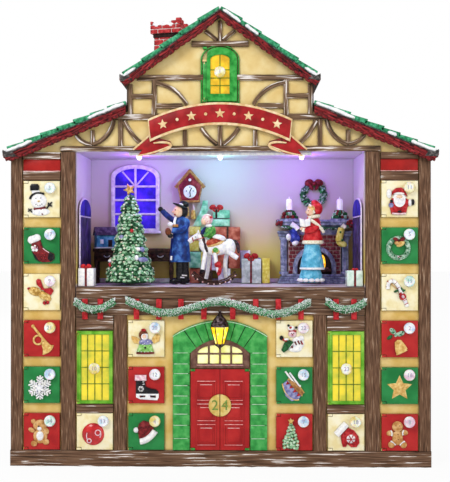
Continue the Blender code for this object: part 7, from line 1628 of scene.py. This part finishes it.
horse.set_down("horse_white", "rocking_horse")
print("horse and rider poured")

# %% [markdown]
# ## Christmas tree
# The tree is a dark cone under rings of drooping leaves, dark ones first, frosted ones outside them, and a
# white tip on some. A gold star and a few toys finish it.

# %% Rings of leaves
tree_dark = painted("acrylic_fir", "0f2c18 1f5030 3d7d4c", 2, 0.5)
tree_pale = painted("acrylic_fir_pale", "4f8c5a 8fc294 dcefd8", 2.0, 0.5, wash_and_shade=0.3)
TREE_RINGS = ((3.5, 20.6), (10, 21.0), (22, 17.2), (34, 13.2), (52, 10.4), (62, 8.8), (72, 6.6), (81, 4.2),
              (89, 1.4))
TREE_FOOT = Vector((-0.0895, -0.014, 0.1728))


def tree_radius(z):
    """The radius of the tree at a height, along its table."""
    for (z0, r0), (z1, r1) in zip(TREE_RINGS, TREE_RINGS[1:]):
        if z <= z1:
            return r0 + (r1 - r0) * (z - z0) / (z1 - z0) + 1.1 * math.sin(2 * math.pi * z / 10.5)
    return 0.0


def leaves(out, size, droop, every, draw):
    """Matrices of leaves in rings up the tree."""
    places, z = [], 4.6
    while z < 86:
        radius = max(tree_radius(z) + out, 0.6)
        count = max(int(2 * math.pi * radius / every), 4)
        for i in range(count):
            turn = 2 * math.pi * (i + draw.uniform(-0.3, 0.3)) / count + z
            scale = draw.uniform(0.8, 1.2)
            place = Matrix.Rotation(turn, 4, "Z") @ Matrix.Translation((radius * MM, 0,
                (z + draw.uniform(-0.8, 0.8)) * MM))
            lean = Matrix.Rotation(math.radians(droop + draw.uniform(-14, 14)), 4, "Y")
            size_matrix = Matrix.Diagonal([side * scale * MM for side in size] + [1.0])
            places.append(Matrix.Translation(TREE_FOOT) @ place @ lean @ size_matrix)
        z += 3.3
    return places


def small_ball():
    """A ball for shapes that are repeated hundreds of times."""
    bm = bmesh.new()
    bmesh.ops.create_uvsphere(bm, u_segments=7, v_segments=5, radius=1.0)
    return bm


draw = random.Random("tree")
tree = Casting("christmas_tree_cast", "tree")
pour_figure(tree, TREE_FOOT, (("bell", tree_dark, (((0, 0.2), (14, 0.2), (19.4, 3)) + tuple((r - 1.2, z)
    for z, r in TREE_RINGS), (0, 0), 1)),))
tree.pour(strewn(small_ball(), leaves(-0.2, (4.0, 3.2, 2.0), 42, 4.6, draw)), tree_dark)
tree.pour(strewn(small_ball(), leaves(0.6, (3.5, 2.6, 1.4), 34, 5.0, draw)), tree_pale)
tips = leaves(1.9, (1.4, 1.2, 0.9), 20, 6.0, draw)
tree.pour(strewn(small_ball(), tips[::2]), fur)
toys = (("egg", white, ((8.9, -12.9, 34), (2.6, 2.2, 2.2))), ("egg", lilac, ((12.4, -10.9, 33.6),
    (3, 2.2, 2.6)), ((14, -15.6, 23.8), (5.4, 2.4, 2.4))), ("egg", white, ((8.2, -17.6, 25.6),
        (2, 1.8, 2.8))), ("egg", red, ((-18.6, -8.6, 18.6), (1.8, 1.6, 2.6))),
        ("egg", white, ((-18.6, -9, 22.6), (2.2, 1.8, 1.6))), ("egg", lilac, ((-7.1, -12.8, 46),
            (2.2, 1.6, 2)), ((-12.6, -5, 53.6), (1.3, 1.3, 3.2), 16)),
        ("egg", red, ((3, -13, 52), (1.8, 1.5, 1.8))),)
pour_figure(tree, TREE_FOOT, toys)
star = [(x * MM, z * MM) for x, z in star_points(0, 0, 6.4, 2.9, 5, 8)]
star_shape = cutout(star, -1.3 * MM, 1.3 * MM, 0.5 * MM)
twist(star_shape, math.radians(-12), "Y")
shift(star_shape, TREE_FOOT + Vector((-0.8 * MM, 0, 0.0926)))
tree.pour(star_shape, bronze)
tree = tree.set_down("tree_green", "christmas_tree")
print(tree.name, len(tree.data.polygons), "faces")

# %% [markdown]
# ## Fireplace
# Lilac-grey stone frames dark brick, with an arch over the fire, candles in holly and two stockings.

# %% Stone, brick, candles and stockings
grey_stone = painted("acrylic_lilac_grey", "5c607e 7e83a2 a9acc4", 4, 0.55, uneven=0.2)
brick_dark = painted("acrylic_dark_brick", "4a141a 742630 9a4450", 1.8, 0.6, uneven=0.3)
# The fire glows with painted light.
fire_glow = lamp_or_painted_glow("fire_resin", "f08a12 ffc62a ffe680", 1.2, patch=3)
deep_blue = painted("acrylic_stocking_blue", "202c80 3444a6 5b6ac4", 3, 0.5)
# The candles glow with painted light.
wax = lamp_or_painted_glow("candle_resin", "e4def2 f1ecfa ffffff", 0.25, patch=4, rough=0.4)
HEARTH_X, HEARTH_Z = 95.5, 171.3
HEARTH = (HEARTH_X * MM, 0, HEARTH_Z * MM)


def arch_ring(outer, inner, middle, foot):
    """An arch with legs, as one outline."""
    turns = [math.pi * i / 16 for i in range(17)]
    above = [(outer * math.cos(t), middle + outer * math.sin(t)) for t in turns]
    below = [(inner * math.cos(t), middle + inner * math.sin(t)) for t in reversed(turns)]
    return [(outer, foot)] + above + [(-outer, foot), (-inner, foot)] + below + [(inner, foot)]


hearth = Casting("fireplace_cast")
brick_row = [(row, column * 6.4 + (3.2 if row % 2 else 0)) for row in range(11) for column in range(-4, 5)]
pour_figure(hearth, HEARTH, (("block", grey_stone, *[((-38 + 1.4 * i, 38 - 1.4 * i), (20.4 + 0.7 * i, 38.8),
                                                      (2.4 * i, 2.4 * i + 2.2), 0.4) for i in range(4)]),
                             ("block", mortar_pink, ((-27, 27), (27.9, 38.6), (9, 55), 0)),
                             ("block", brick_dark, *[((max(x - 2.9, -26.4), min(x + 2.9, 26.4)),
                                                      (26.9, 28.4), (9.9 + 4 * row, 13.3 + 4 * row), 0.3)
                                                     for row, x in brick_row]),))
for x in (-31.5, 31.5):
    pour_figure(hearth, HEARTH, (("block", grey_stone, ((x - 3.2, x + 3.2), (23.4, 37), (9.4, 47), 1),
                                  ((x - 1, x + 1), (22.8, 30), (11, 45), 0.4), ((x - 4.4, x + 4.4),
                                      (22.6, 37), (9.4, 12), 0.4),
                                  *[((x - half, x + half), (25.6 - half / 2, 37.4), (foot, foot + 3), 0.7)
                                    for foot, half in ((44.8, 4.2), (48, 5.4), (51, 6.4))]),))
pour_figure(hearth, HEARTH, (
    ("block", grey_stone, ((-26, 26), (25.4, 37), (50, 60.5), 0.4), ((-38.6, 38.6), (21, 38.8), (59.6, 62.4),
        0.4),
     ((-39, 39), (20.2, 38.8), (62.2, 65.4), 0.8)),
    ("slab", grey_stone, (arch_ring(22, 17.6, 16.5, 9.2), 24.6, 30)),
    ("slab", soot_and_shadow, ([(x, z) for x, z in arch_ring(17.8, 17.7, 16.5, 9.2)[:19]], 26.4, 27.4)),
    ("limb", dark_stain, (((-15, 24.6, 13), (14, 23.6, 14.6)), 2), (((-9, 22.6, 12.6), (17, 24.6, 13.6)),
        1.8)),
    ("egg", fire_glow, ((8.6, 25.2, 22), (2.6, 1.4, 7.4), 6), ((2, 25.4, 20), (3.4, 1.4, 6.4), -10),
     ((-6, 25.4, 19), (2.8, 1.4, 5.4), 8)),
    ("limb", white, (((-24.4, 19.2, 61), (-19.4, 18.8, 57.6), (-17.4, 18.6, 55)), 3)),
    ("limb", deep_blue, (((-23.6, 19, 55.4), (-19.8, 18.8, 50), (-21.8, 18.6, 45.6)), 3.8, 0.9)),
    ("egg", deep_blue, ((-20.4, 18.6, 46), (5.4, 2.4, 5), 20)),
    ("egg", white, ((-27, 18, 47.4), (2.6, 2, 3.6), 8), ((-20.2, 17.8, 41.6), (3.6, 2.2, 2.6), 20)),
    ("limb", fur, (((27, 18.8, 59.4), (30.6, 18.6, 56.6)), 3)),
    ("limb", butter, (((27, 18.8, 56.6), (24.8, 18.6, 48), (24.2, 18.4, 43.4)), 4, 0.9)),
    ("egg", butter, ((27, 18.4, 41), (5.8, 2.6, 3.4), -22)),
    ("egg", holly, ((25.4, 14.8, 52.6), (1.1, 0.6, 1.1)), ((27.4, 15.6, 44.4), (1.1, 0.6, 1.1))),
))
draw = random.Random("mantel")
for x in (-26.0, 26.0):
    mound = [ball_at(((HEARTH_X + x + 7.6 * math.cos(a) * k) * MM, (27 + 5.4 * math.sin(a) * k) * MM,
                      (HEARTH_Z + 66.2 + 8.6 * math.sqrt(1 - k * k)) * MM),
                     [draw.uniform(1.5, 2.3) * MM] * 3) for k in (0.25, 0.55, 0.8, 0.98)
             for a in [draw.uniform(0, 6.28) for _ in range(int(16 * k) + 3)]]
    for i, look in enumerate((holly, maroon, frosted)):
        hearth.pour(strewn(small_ball(), mound[i::3]), look)
    pour_figure(hearth, ((HEARTH_X + x) * MM, 0.027, HEARTH_Z * MM),
                (("bell", wax, (((3, 70), (3.2, 85), (2.4, 86.6), (0.5, 87), (0.4, 88.6), (0, 89.4)), (0, 0),
                                1)), ("bell", grey_stone, (((0, 65.2), (9.4, 65.2), (9.6, 66.4), (0, 67)),
                                                           (0, 0), 0.7)), ))
berries = [ball_at(((HEARTH_X + side * draw.uniform(33, 39)) * MM, draw.uniform(19.6, 23) * MM,
                    (HEARTH_Z + draw.uniform(58.6, 65.0)) * MM), [1.5 * MM] * 3) for side in (-1, 1)
           for _ in range(14)]
hearth.pour(strewn(small_ball(), berries), maroon)
swag = [Vector(((HEARTH_X - 34 + 68 * i / 16) * MM, 19.8 * MM,
                (HEARTH_Z + 58.6 - 2.2 * abs(math.sin(math.pi * i / 8))) * MM)) for i in range(17)]
hearth.pour(rod(swag, 1.3 * MM), holly)
hearth.pour(spikes(swag, MM, 420, draw, down=True), holly)
hearth.pour(spikes(swag, 1.1 * MM, 150, draw, length=1.6 * MM, down=True), frost_white)
hearth = hearth.set_down("hearth_grey", "fireplace")
print(hearth.name, len(hearth.data.polygons), "faces")

# %% [markdown]
# ## Table, doll's house and gifts
# Furniture and parcels are blocks with eased edges. A parcel gets a ribbon and, on some, a bow.

# %% Blocks, ribbons and bows
table_dark = painted("stained_walnut", "1f100c 38201a 543428", 4, 0.4)
pull_steel = painted("metal_paint", "8f8c94 c2c0c8 e6e4ea", 2, 0.3, Metallic=0.6)
house_blue = painted("acrylic_house_blue", "2f6f9a 4a93bd 6fb0d2", 5, 0.5)
house_roof = painted("acrylic_slate", "35283c 4f3d56 6b5872", 4, 0.55)
pine = painted("acrylic_mint", "5fae8c 86cbaa b4e4cc", 5, 0.45)
clay = painted("acrylic_clay", "8f3d2c b35c48 c77a64", 5, 0.5)
mauve = painted("acrylic_mauve", "8d83a0 b0a5c0 cfc6da", 5, 0.5)
pearl_grey = painted("acrylic_pearl_grey", "aeb6b4 cbd2d0 e4e9e7", 5, 0.45)
mint_white = painted("acrylic_mint_white", "c2dccb dcefe0 eef8ef", 5, 0.45)


def mm_block(piece, x, y, z, look, soft=0.4):
    """A block in millimetres."""
    pour_figure(piece, (0, 0, 0), (("block", look, (x, y, z, soft)),))


def pour_bow(piece, place, size, look):
    """Two loops, two tails and a knot, facing the viewer."""
    pour_figure(piece, [c * MM for c in place],
                (("egg", look, ((-size * 0.62, 0, size * 0.16), (size * 0.55, size * 0.3, size * 0.42), 24),
                  ((size * 0.62, 0, size * 0.16), (size * 0.55, size * 0.3, size * 0.42), -24),
                  ((-size * 0.34, 0, -size * 0.42), (size * 0.24, size * 0.2, size * 0.44), 30),
                  ((size * 0.34, 0, -size * 0.42), (size * 0.24, size * 0.2, size * 0.44), -30),
                  ((0, -size * 0.2, 0), (size * 0.26, size * 0.26, size * 0.26))), ))


def pour_parcel(piece, x, y, z, paper, ribbon=None, at=None, bow=0.0, bow_look=None):
    """A wrapped box. at is where its upright ribbon is, as a share of its width."""
    mm_block(piece, x, y, z, paper, 0.6)
    if ribbon:
        middle = x[0] + (x[1] - x[0]) * (at or 0.5)
        mm_block(piece, (middle - 1.0, middle + 1.0), (y[0] - 0.35, y[1] + 0.2), (z[0] + 0.1, z[1] + 0.35),
                 ribbon, 0.2)
        if bow:
            pour_bow(piece, (middle, y[0] + 1.0, z[1] + bow * 0.3), bow, bow_look or ribbon)


table = Casting("table_and_dolls_house")
mm_block(table, (-132.4, -48.6), (19.2, 38.6), (203.6, 207.2), table_dark, 0.8)
mm_block(table, (-130.8, -50.2), (20.2, 38.0), (193.8, 204.0), table_dark, 0.5)
for x0 in (-129.4, -102.0, -74.6):
    mm_block(table, (x0, x0 + 24.0), (19.6, 21.0), (195.4, 202.6), table_dark, 0.6)
    pour_figure(table, ((x0 + 12) * MM, 0.0192, 0.1992),
                (("limb", pull_steel, (((-3, 0, 0.6), (-1.6, -0.9, -1.4), (1.6, -0.9, -1.4), (3, 0, 0.6)),
                                       0.5)),))
for x in (-129.0, -52.0):
    for y in (21.6, 36.4):
        pour_figure(table, (x * MM, y * MM, 0.1713),
                    (("bell", table_dark, (((1.4, 0), (1.8, 1.5), (1.3, 4), (2, 14), (1.6, 18), (2, 24)),
                                           (0, 0), 1)),))
walls = cutout([(-13 * MM, 0), (13 * MM, 0), (13 * MM, 14 * MM), (-13 * MM, 14 * MM)], -5.6 * MM, 5.6 * MM,
               0.2 * MM)
gables = [(y * MM, z * MM) for y, z in ((-5.6, 13.8), (5.6, 13.8), (0, 21.0))]
ends = cutout(gables, -13 * MM, 13 * MM, 0.1 * MM)
twist(ends, math.pi / 2, "Z")
house_parts = [(walls, house_blue), (ends, house_blue)]
for face_side in (-1, 1):
    slab = block((-14.4 * MM, 14.4 * MM), (-0.5 * MM, 0.5 * MM), (-5.4 * MM, 5.4 * MM), 0.3 * MM)
    twist(slab, face_side * math.radians(39), "X")
    shift(slab, (0, face_side * 3.4 * MM, 17.6 * MM))
    house_parts.append((slab, house_roof))
house_parts.append((block((-14 * MM, 14 * MM), (-6.4 * MM, 6.4 * MM), (-0.1 * MM, 1.2 * MM), 0.3 * MM),
                    white))
house_parts.append((block((-MM, 3 * MM), (-6.3 * MM, -5 * MM), (MM, 8.6 * MM), 0.3 * MM), soot_and_shadow))
house_parts.append((block((-9.6 * MM, -6 * MM), (-6.1 * MM, -5 * MM), (4.6 * MM, 9 * MM), 0.3 * MM), white))
house_parts.append((block((6.4 * MM, 10 * MM), (-6.1 * MM, -5 * MM), (4.6 * MM, 9 * MM), 0.3 * MM), white))
for shape, look in house_parts:
    twist(shape, math.radians(22), "Z")
    shift(shape, (-0.1178, 0.029, 0.2074))
    table.pour(shape, look)
table.set_down("table_brown", "table")

LEANING_CARD = ((-30.0, 230.4), (-22.6, 230.4), (-14.6, 246.0), (-14.6, 257.0), (-19.6, 257.0),
                (-22.0, 247.0))
stack = Casting("stack_of_gifts")
for x, y, z, paper, ribbon, at, bow, bow_look in (
    ((-33.0, -22.4), (26, 38), (171.4, 186.6), clay, None, None, 0, None),
    ((-33.4, -19.2), (25, 38), (187.2, 203.6), pine, butter, 0.92, 0, None),
    ((-33.0, -23.4), (27, 38), (204.4, 215.0), butter, None, None, 0, None),
    ((-33.2, -22.0), (28, 38), (221.0, 229.6), butter, None, None, 0, None),
    ((-22.6, -9.6), (23, 38), (171.4, 184.0), dark_stain, None, None, 0, None),
    ((-18.6, -4.0), (25, 38), (184.6, 205.0), mauve, red, 0.5, 0, None),
    ((-3.6, 9.0), (24, 38), (171.4, 186.0), mauve, white, 0.9, 0, None),
    ((-22.0, -8.0), (30, 38), (205.4, 229.0), pine, None, None, 0, None),
    ((-7.8, 19.0), (25, 38), (215.6, 229.2), clay, dark_stain, 0.52, 0, None),
    ((-7.4, 19.0), (26, 38), (186.6, 215.0), clay, soot_and_shadow, 0.52, 0, None),
    ((-11.4, 8.4), (27, 37), (230.0, 237.4), pine, None, None, 0, None),
    ((-9.0, 8.4), (28, 37), (238.4, 246.8), pine, soot_and_shadow, 0.2, 6.4, red),
    ((17.0, 29.0), (28, 38), (187.0, 205.0), mauve, white, 0.95, 0, None),
    ((20.6, 40.6), (21, 33), (171.4, 196.6), pearl_grey, maroon, 0.48, 6.6, ribbon_red),
    ((37.6, 40.4), (33.4, 38), (171.4, 197.4), deep_blue, None, None, 0, None),
    ((41.6, 49.6), (23, 36), (171.4, 197.2), butter, None, None, 0, None),
):
    pour_parcel(stack, x, y, z, paper, ribbon, at, bow, bow_look)
stack.pour(cutout([(x * MM, z * MM) for x, z in LEANING_CARD], 0.0334, 0.0352, 0.3 * MM), pine)
stack.set_down("gift_green", "gift_stack")
for side, paper, node in ((-1, white, "gift_left"), (1, mint_white, "gift_right")):
    gift = Casting(f"{node}_parcel")
    low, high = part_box(node)
    x, y = (low.x * 1000 + 0.3, high.x * 1000 - 0.3), (low.y * 1000 + 0.4, high.y * 1000 - 0.3)
    top = 188.6 if side < 0 else 186.6
    pour_parcel(gift, x, y, (171.4, top), paper, maroon, 0.5, 4.6 if side < 0 else 2.6, cloak)
    mm_block(gift, (x[0] - 0.1, x[1] + 0.1), ((y[0] + y[1]) / 2 - 1.0, (y[0] + y[1]) / 2 + 1.0),
             (171.6, top + 0.4), maroon, 0.2)
    gift.set_down("gift_white", node)
print("table set, gifts stacked")

# %% [markdown]
# ## What hangs on the room's walls
# An arched window with night panes, a cuckoo clock, a wreath over the fireplace, and a tall garden door in
# each side wall. They lie over the plain shapes of the imported room.

# %% Window, clock, wreath and garden doors
# The window panes of the room and of the garden doors glow with painted light.
night_pane = lamp_or_painted_glow("night_resin", "2a1b9c 3a22cc 5a30e6", 0.25, patch=14, rough=0.7, coat=0.0)
dusk_pane = lamp_or_painted_glow("dusk_resin", "1d1568 2b1f90 3d2cb0", 0.06, patch=14, rough=0.7, coat=0.0)
lilac_white = painted("acrylic_frame_white", "cdb9dc e2d2ea f2e8f6", 5, 0.5)
clock_red = painted("acrylic_clock_red", "651020 861c2c a03544", 4, 0.45)
door_purple = painted("acrylic_garden_door", "241a3c 3a2a5a 55407c", 8, 0.5)
reliefs = Casting("wall_reliefs")


def wall_rod(piece, points, radius, look, depth):
    """A rod on the back wall, in millimetres."""
    pour_figure(piece, (0, 0, 0), (("rod", look, ([(x, depth, z) for x, z in points], radius)),))


pane_low, pane_high = -115.2, -64.8
outer = arched(pane_low * MM, pane_high * MM, 0.2238, 0.2822, 12.2 * MM)
inner = arched((pane_low + 4) * MM, (pane_high - 4) * MM, 0.2278, 0.2800, 10.2 * MM)
reliefs.pour(ringed(outer, inner, 0.034, 0.0372, 0.5 * MM), lilac_white)
reliefs.pour(cutout(inner, 0.0353, 0.0366, 0), night_pane)
wall_rod(reliefs, ((-90, 226), (-90, 292)), 1.3, lilac_white, 34.9)
for z in (242.8, 257.4, 271.6):
    wall_rod(reliefs, ((pane_low + 3, z), (pane_high - 3, z)), 1.15, lilac_white, 34.9)
for x in (-103.6, -76.4):
    wall_rod(reliefs, ((-90, 271.6), (x, 287.0)), 0.9, lilac_white, 35.0)
mm_block(reliefs, (-116.6, -63.4), (33.2, 38.4), (222.6, 225.4), lilac_white, 0.6)
mm_block(reliefs, (-134, 134), (37.2, 38.9), (171.4, 176.0), lilac_white, 0.5)

clock_house = [(-9.4, 256.6), (9.4, 256.6), (12.6, 272.4), (0, 286.4), (-12.6, 272.4)]
reliefs.pour(cutout([((x - 33) * MM, z * MM) for x, z in clock_house], 0.0306, 0.0372, 0.4 * MM), clock_red)
pour_figure(reliefs, (-0.033, 0, 0), (("rod", tan, *[row for side in (-1, 1)
                                                     for row in ((((side * 15.2, 31.2, 270.2),
                                                         (-side * 0.6, 31.2, 288.4)), 1.7),
                                                                 (((side * 12.4, 31.2, 272.2),
                                                                     (side * 9.2, 31.2, 256.4)), 0.9))]),
                                      ("block", tan, ((-10.4, 10.4), (29.8, 37.6), (254.8, 257), 0.5)),))
face = [(0, 0), (6.6, 0), (6.8, 0.6), (6, 1.2), (0, 1.1)]
reliefs.pour(turned([mm(point) for point in face], (-0.033, 0.0308, 0.2658), axis="-Y"), white)
pour_figure(reliefs, (-0.033, 0, 0), (("egg", black, *[((x, 29.6, z), (0.6, 0.3, 0.6)) for x,
                                                       z in ((-3.4, 266.6), (3.4, 266.6), (0, 270.6),
                                                             (0, 261))]), ("rod", black,
                                                                 (((0, 29.5, 265.8), (1.8, 29.5, 269.8)),
                                                                  0.5), (((0, 29.5, 265.8),
                                                                      (0.8, 29.5, 260.8)), 0.5)),
                                      ("egg", white, ((0, 30.2, 278.2), (1.5, 0.6, 1.5))),))
for x, foot in ((-36.4, 240.4), (-29.6, 237.4)):
    wall_rod(reliefs, ((x, 255), (x, foot + 6)), 0.45, bronze, 34.4)
    weight = [(0, 0), (2.4, 0.4), (2.8, 4), (1.9, 9.4), (0, 10)]
    reliefs.pour(turned([mm(point) for point in weight], (x * MM, 0.0344, foot * MM), sides=14), bronze)

draw = random.Random("wreath")
ring_places = []
for i in range(230):
    angle, around = draw.uniform(0, 2 * math.pi), draw.uniform(0, math.pi)
    reach = 10.6 + 3.0 * math.cos(around)
    ring_places.append(ball_at(((95.5 + reach * math.cos(angle)) * MM, (37.0 - 3.4 * math.sin(around)) * MM,
                                (263 + reach * math.sin(angle)) * MM), [draw.uniform(0.8, 1.5) * MM] * 3))
reliefs.pour(hoop((0.0955, 0.0368, 0.263), 10.6 * MM, 2.8 * MM), holly)
reliefs.pour(strewn(small_ball(), ring_places[:70]), holly)
reliefs.pour(strewn(small_ball(), ring_places[70:190]), frosted)
reliefs.pour(strewn(small_ball(), ring_places[190:]), bright_leaf)
pour_bow(reliefs, (95.5, 33.0, 274.0), 8.4, maroon)

for side in (-1, 1):
    for shape, look in ((cutout(arched(-42 * MM, 20 * MM, 0.1726, 0.244, 13 * MM), -MM, 0.1 * MM, 0.4 * MM),
                         lilac_white), (cutout(arched(-40.6 * MM, 18.6 * MM, 0.2395, 0.244, 11.8 * MM),
                                               -1.6 * MM, -0.4 * MM, 0.2 * MM), dusk_pane),
                        (cutout(arched(-39 * MM, -12 * MM, 0.175, 0.238, 0), -1.6 * MM, -0.4 * MM, 0.4 * MM),
                         door_purple), (cutout(arched(-10 * MM, 17 * MM, 0.175, 0.238, 0), -1.6 * MM,
                                               -0.4 * MM, 0.4 * MM), door_purple),):
        for vert in shape.verts:
            along, proud = vert.co.x, vert.co.y
            vert.co.x, vert.co.y = side * (0.1352 + proud), along
        outward(shape)
        reliefs.pour(shape, look)
reliefs.set_down("room_wall")
print("walls hung with window, clock, wreath and two garden doors")

# %% [markdown]
# ## Stage lamps
# Three lamps hang from the ceiling on their bar, white in the middle and violet at the sides. Each is a
# resin bead that glows, with a small light of its colour just below.

# %% Beads and their light
lamp_bead = lamp_or_painted_glow("lit_bead", "f4f2ff ffffff ffffff", 2.2, patch=3)
lamps = Casting("stage_lamps")
mm_block(lamps, (-87.6, 87.6), (-41.8, -36.2), (296.8, 299.6), white, 0.4)
LAMP_COLOURS = ((-78, (0.42, 0.14, 1.0), 0.062), (0, (0.34, 1.0, 0.96), 0.055), (78, (0.42, 0.14, 1.0),
    0.062))
for x, colour, watts in LAMP_COLOURS:
    pour_figure(lamps, (x * MM, -0.039, 0.2926),
                (("bell", lamp_bead, (((0, -0.1), (1.7, 0.4), (2.4, 2.2), (2.4, 4.6)), (0, 0), 1)),))
    light = bpy.data.lights.new("lamp", "POINT")
    light.energy, light.color, light.shadow_soft_size = watts, colour, 6 * MM
    holder = bpy.data.objects.new("lamp", light)
    holder.location = (x * MM, -0.012, 0.287)
    bpy.context.scene.collection.objects.link(holder)
lamps.set_down("lamp_white", "led_bar")
print("three lamps lit")

# %% [markdown]
# ## Floor, backdrop, light and camera
# A product shot: white round about, soft light from the upper left, a long lens at the height of the stage.
# The floor shows white to the camera and still takes the shadow. The lens fits how the stage's walls narrow.

# %% The studio
def white_to_the_camera(mat, shade, share):
    """Mixes a plain surface with white light that only the camera sees."""
    nodes = mat.node_tree.nodes
    rays = add(mat, "LightPath").outputs
    seen = add(mat, "Math", {0: rays["Is Camera Ray"], 1: rays["Is Glossy Ray"]},
               operation="MAXIMUM").outputs[0]
    seen = add(mat, "Math", {0: seen, 1: rays["Is Transmission Ray"]}, operation="MAXIMUM").outputs[0]
    amount = add(mat, "Math", {0: seen, 1: share}, operation="MULTIPLY").outputs[0]
    plain = add(mat, "BsdfDiffuse", {"Color": paint(shade)}).outputs["BSDF"]
    light = add(mat, "Emission", {"Color": paint("#ffffff"), "Strength": 1.0}).outputs["Emission"]
    mixed = add(mat, "MixShader", {0: amount, 1: plain, 2: light}).outputs["Shader"]
    mat.node_tree.links.new(mixed, nodes["Material Output"].inputs["Surface"])


floor_paper = bpy.data.materials.new("backdrop_paper")
floor_paper.use_nodes = True
floor_paper.node_tree.nodes.remove(floor_paper.node_tree.nodes["Principled BSDF"])
white_to_the_camera(floor_paper, "#f4f4f2", 0.94)
bm = bmesh.new()
bmesh.ops.create_grid(bm, x_segments=1, y_segments=1, size=6.0)
mesh = bpy.data.meshes.new("floor")
bm.to_mesh(mesh)
bm.free()
mesh.materials.append(floor_paper)
floor = bpy.data.objects.new("floor", mesh)
bpy.context.scene.collection.objects.link(floor)
floor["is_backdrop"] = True

world = bpy.data.worlds.new("studio")
world.use_nodes = True
bpy.context.scene.world = world
tree = world.node_tree
around, background = tree.nodes["Background"], tree.nodes.new("ShaderNodeBackground")
around.inputs["Color"].default_value, around.inputs["Strength"].default_value = paint("#f2f4f8"), 0.62
background.inputs["Color"].default_value, background.inputs["Strength"].default_value = paint("#ffffff"), 1.0
rays, pick = tree.nodes.new("ShaderNodeLightPath"), tree.nodes.new("ShaderNodeMixShader")
either = tree.nodes.new("ShaderNodeMath")
either.operation = "MAXIMUM"
tree.links.new(rays.outputs["Is Camera Ray"], either.inputs[0])
tree.links.new(rays.outputs["Is Transmission Ray"], either.inputs[1])
tree.links.new(either.outputs[0], pick.inputs[0])
tree.links.new(around.outputs[0], pick.inputs[1])
tree.links.new(background.outputs[0], pick.inputs[2])
tree.links.new(pick.outputs[0], tree.nodes["World Output"].inputs["Surface"])


def softbox(name, place, target, size, power, colour="#ffffff"):
    """A square lamp that faces a point."""
    lamp = bpy.data.lights.new(name, "AREA")
    lamp.size, lamp.energy, lamp.color = size, power, paint(colour)[:3]
    holder = bpy.data.objects.new(name, lamp)
    holder.location = place
    holder.rotation_euler = (Vector(target) - Vector(place)).to_track_quat("-Z", "Y").to_euler()
    bpy.context.scene.collection.objects.link(holder)


softbox("key", (-0.9, -1.5, 1.35), (0, 0, 0.2), 0.7, 17)
softbox("fill", (1.3, -1.4, 0.7), (0, 0, 0.2), 1.2, 7)
softbox("back", (-1.0, 1.4, 1.0), (0, 0, 0.2), 1.0, 8)

camera = bpy.data.objects.new("camera", bpy.data.cameras.new("camera"))
bpy.context.scene.collection.objects.link(camera)
camera.location = (0.020, -0.928, 0.2128)
camera.rotation_euler = (Vector((0.00475, -0.048, 0.2147)) - camera.location).to_track_quat("-Z",
    "Y").to_euler()
camera.data.lens = 69.2
bpy.context.scene.camera = camera
bpy.context.scene.view_settings.view_transform = "Standard"
print("camera at", [round(c, 3) for c in camera.location])

# %% [markdown]
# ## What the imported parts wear
# Trays, walls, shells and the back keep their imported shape, and get the paint or plastic of the real ones.

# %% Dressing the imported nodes
facade_tan = painted("plaster_paint_tan", "d6b05c e0be70 e8ca84", 14, 0.6, uneven=0.16, grain=2.2, wash_and_shade=0.7)
facade_pale = painted("plaster_paint_pale", "e2c27c e9cd8b efd89d", 16, 0.6, uneven=0.16, grain=2.2, wash_and_shade=0.7)
room_paint = painted("room_paint", "c8c0c4", 20, 0.7, uneven=0.05, wash_and_shade=0.4)
# The ramp by height is partly the wall's own tan paint and partly painted light: lilac from the violet lamps
# toward the ceiling.
place = add(room_paint, "TexCoord").outputs["Object"]
height = add(room_paint, "SeparateXYZ", {"Vector": place}).outputs["Z"]
share = add(room_paint, "MapRange", {"Value": height, "From Min": STAGE_FLOOR,
                                     "From Max": STAGE_TOP}).outputs["Result"]
wall_tone_and_lamp_tint = add(room_paint, "ValToRGB", {"Fac": share}, stops=[(0.0, "#d6c4cc"), (0.03, "#ccb058"),
                                                           (0.24, "#d6bd70"), (0.42, "#d6bca6"),
                                                           (0.66, "#d4c4ca"),
                                                           (1.0, "#d6ccd6")]).outputs["Color"]
wash_and_shade_mix = next(node for node in room_paint.node_tree.nodes if node.bl_idname == "ShaderNodeMix")
room_paint.node_tree.links.new(wall_tone_and_lamp_tint, wash_and_shade_mix.inputs[6])
back_plastic = painted("moulded_abs_brown", "4c372a 553e30 5d4537", 30, 0.5, uneven=0.05, grain=0.6, wash_and_shade=0.3)
works_plastic = painted("moulded_abs_grey", "8f8f8a 9a9a95 a3a39e", 20, 0.45, uneven=0.03)
speaker_black = painted("speaker_paper", "101012 1a1a1c 232326", 6, 0.8)
board_green = painted("solder_resist_green", "0d4a22 11602c 187539", 8, 0.3, wash_and_shade=0.2)
DRESS = {facade_tan: ("left_column_tray", "right_column_tray", "lower_tray"), facade_pale: ("gable_panel",),
         room_paint: ("stage_room",), back_plastic: ("cabinet_shell", "back_cover", "battery_door"),
         works_plastic: ("drive_unit", "power_switch", "led_bar"), speaker_black: ("speaker",),
         board_green: ("circuit_board",),}
for finish, nodes in DRESS.items():
    for node in nodes:
        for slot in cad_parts[node].material_slots:
            slot.material = finish
print(sum(len(nodes) for nodes in DRESS.values()), "packed nodes dressed")

# %% [markdown]
# ## The dressed model's size
# The box round the dressed model is measured.

# %% Measure the dressed model
low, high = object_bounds()
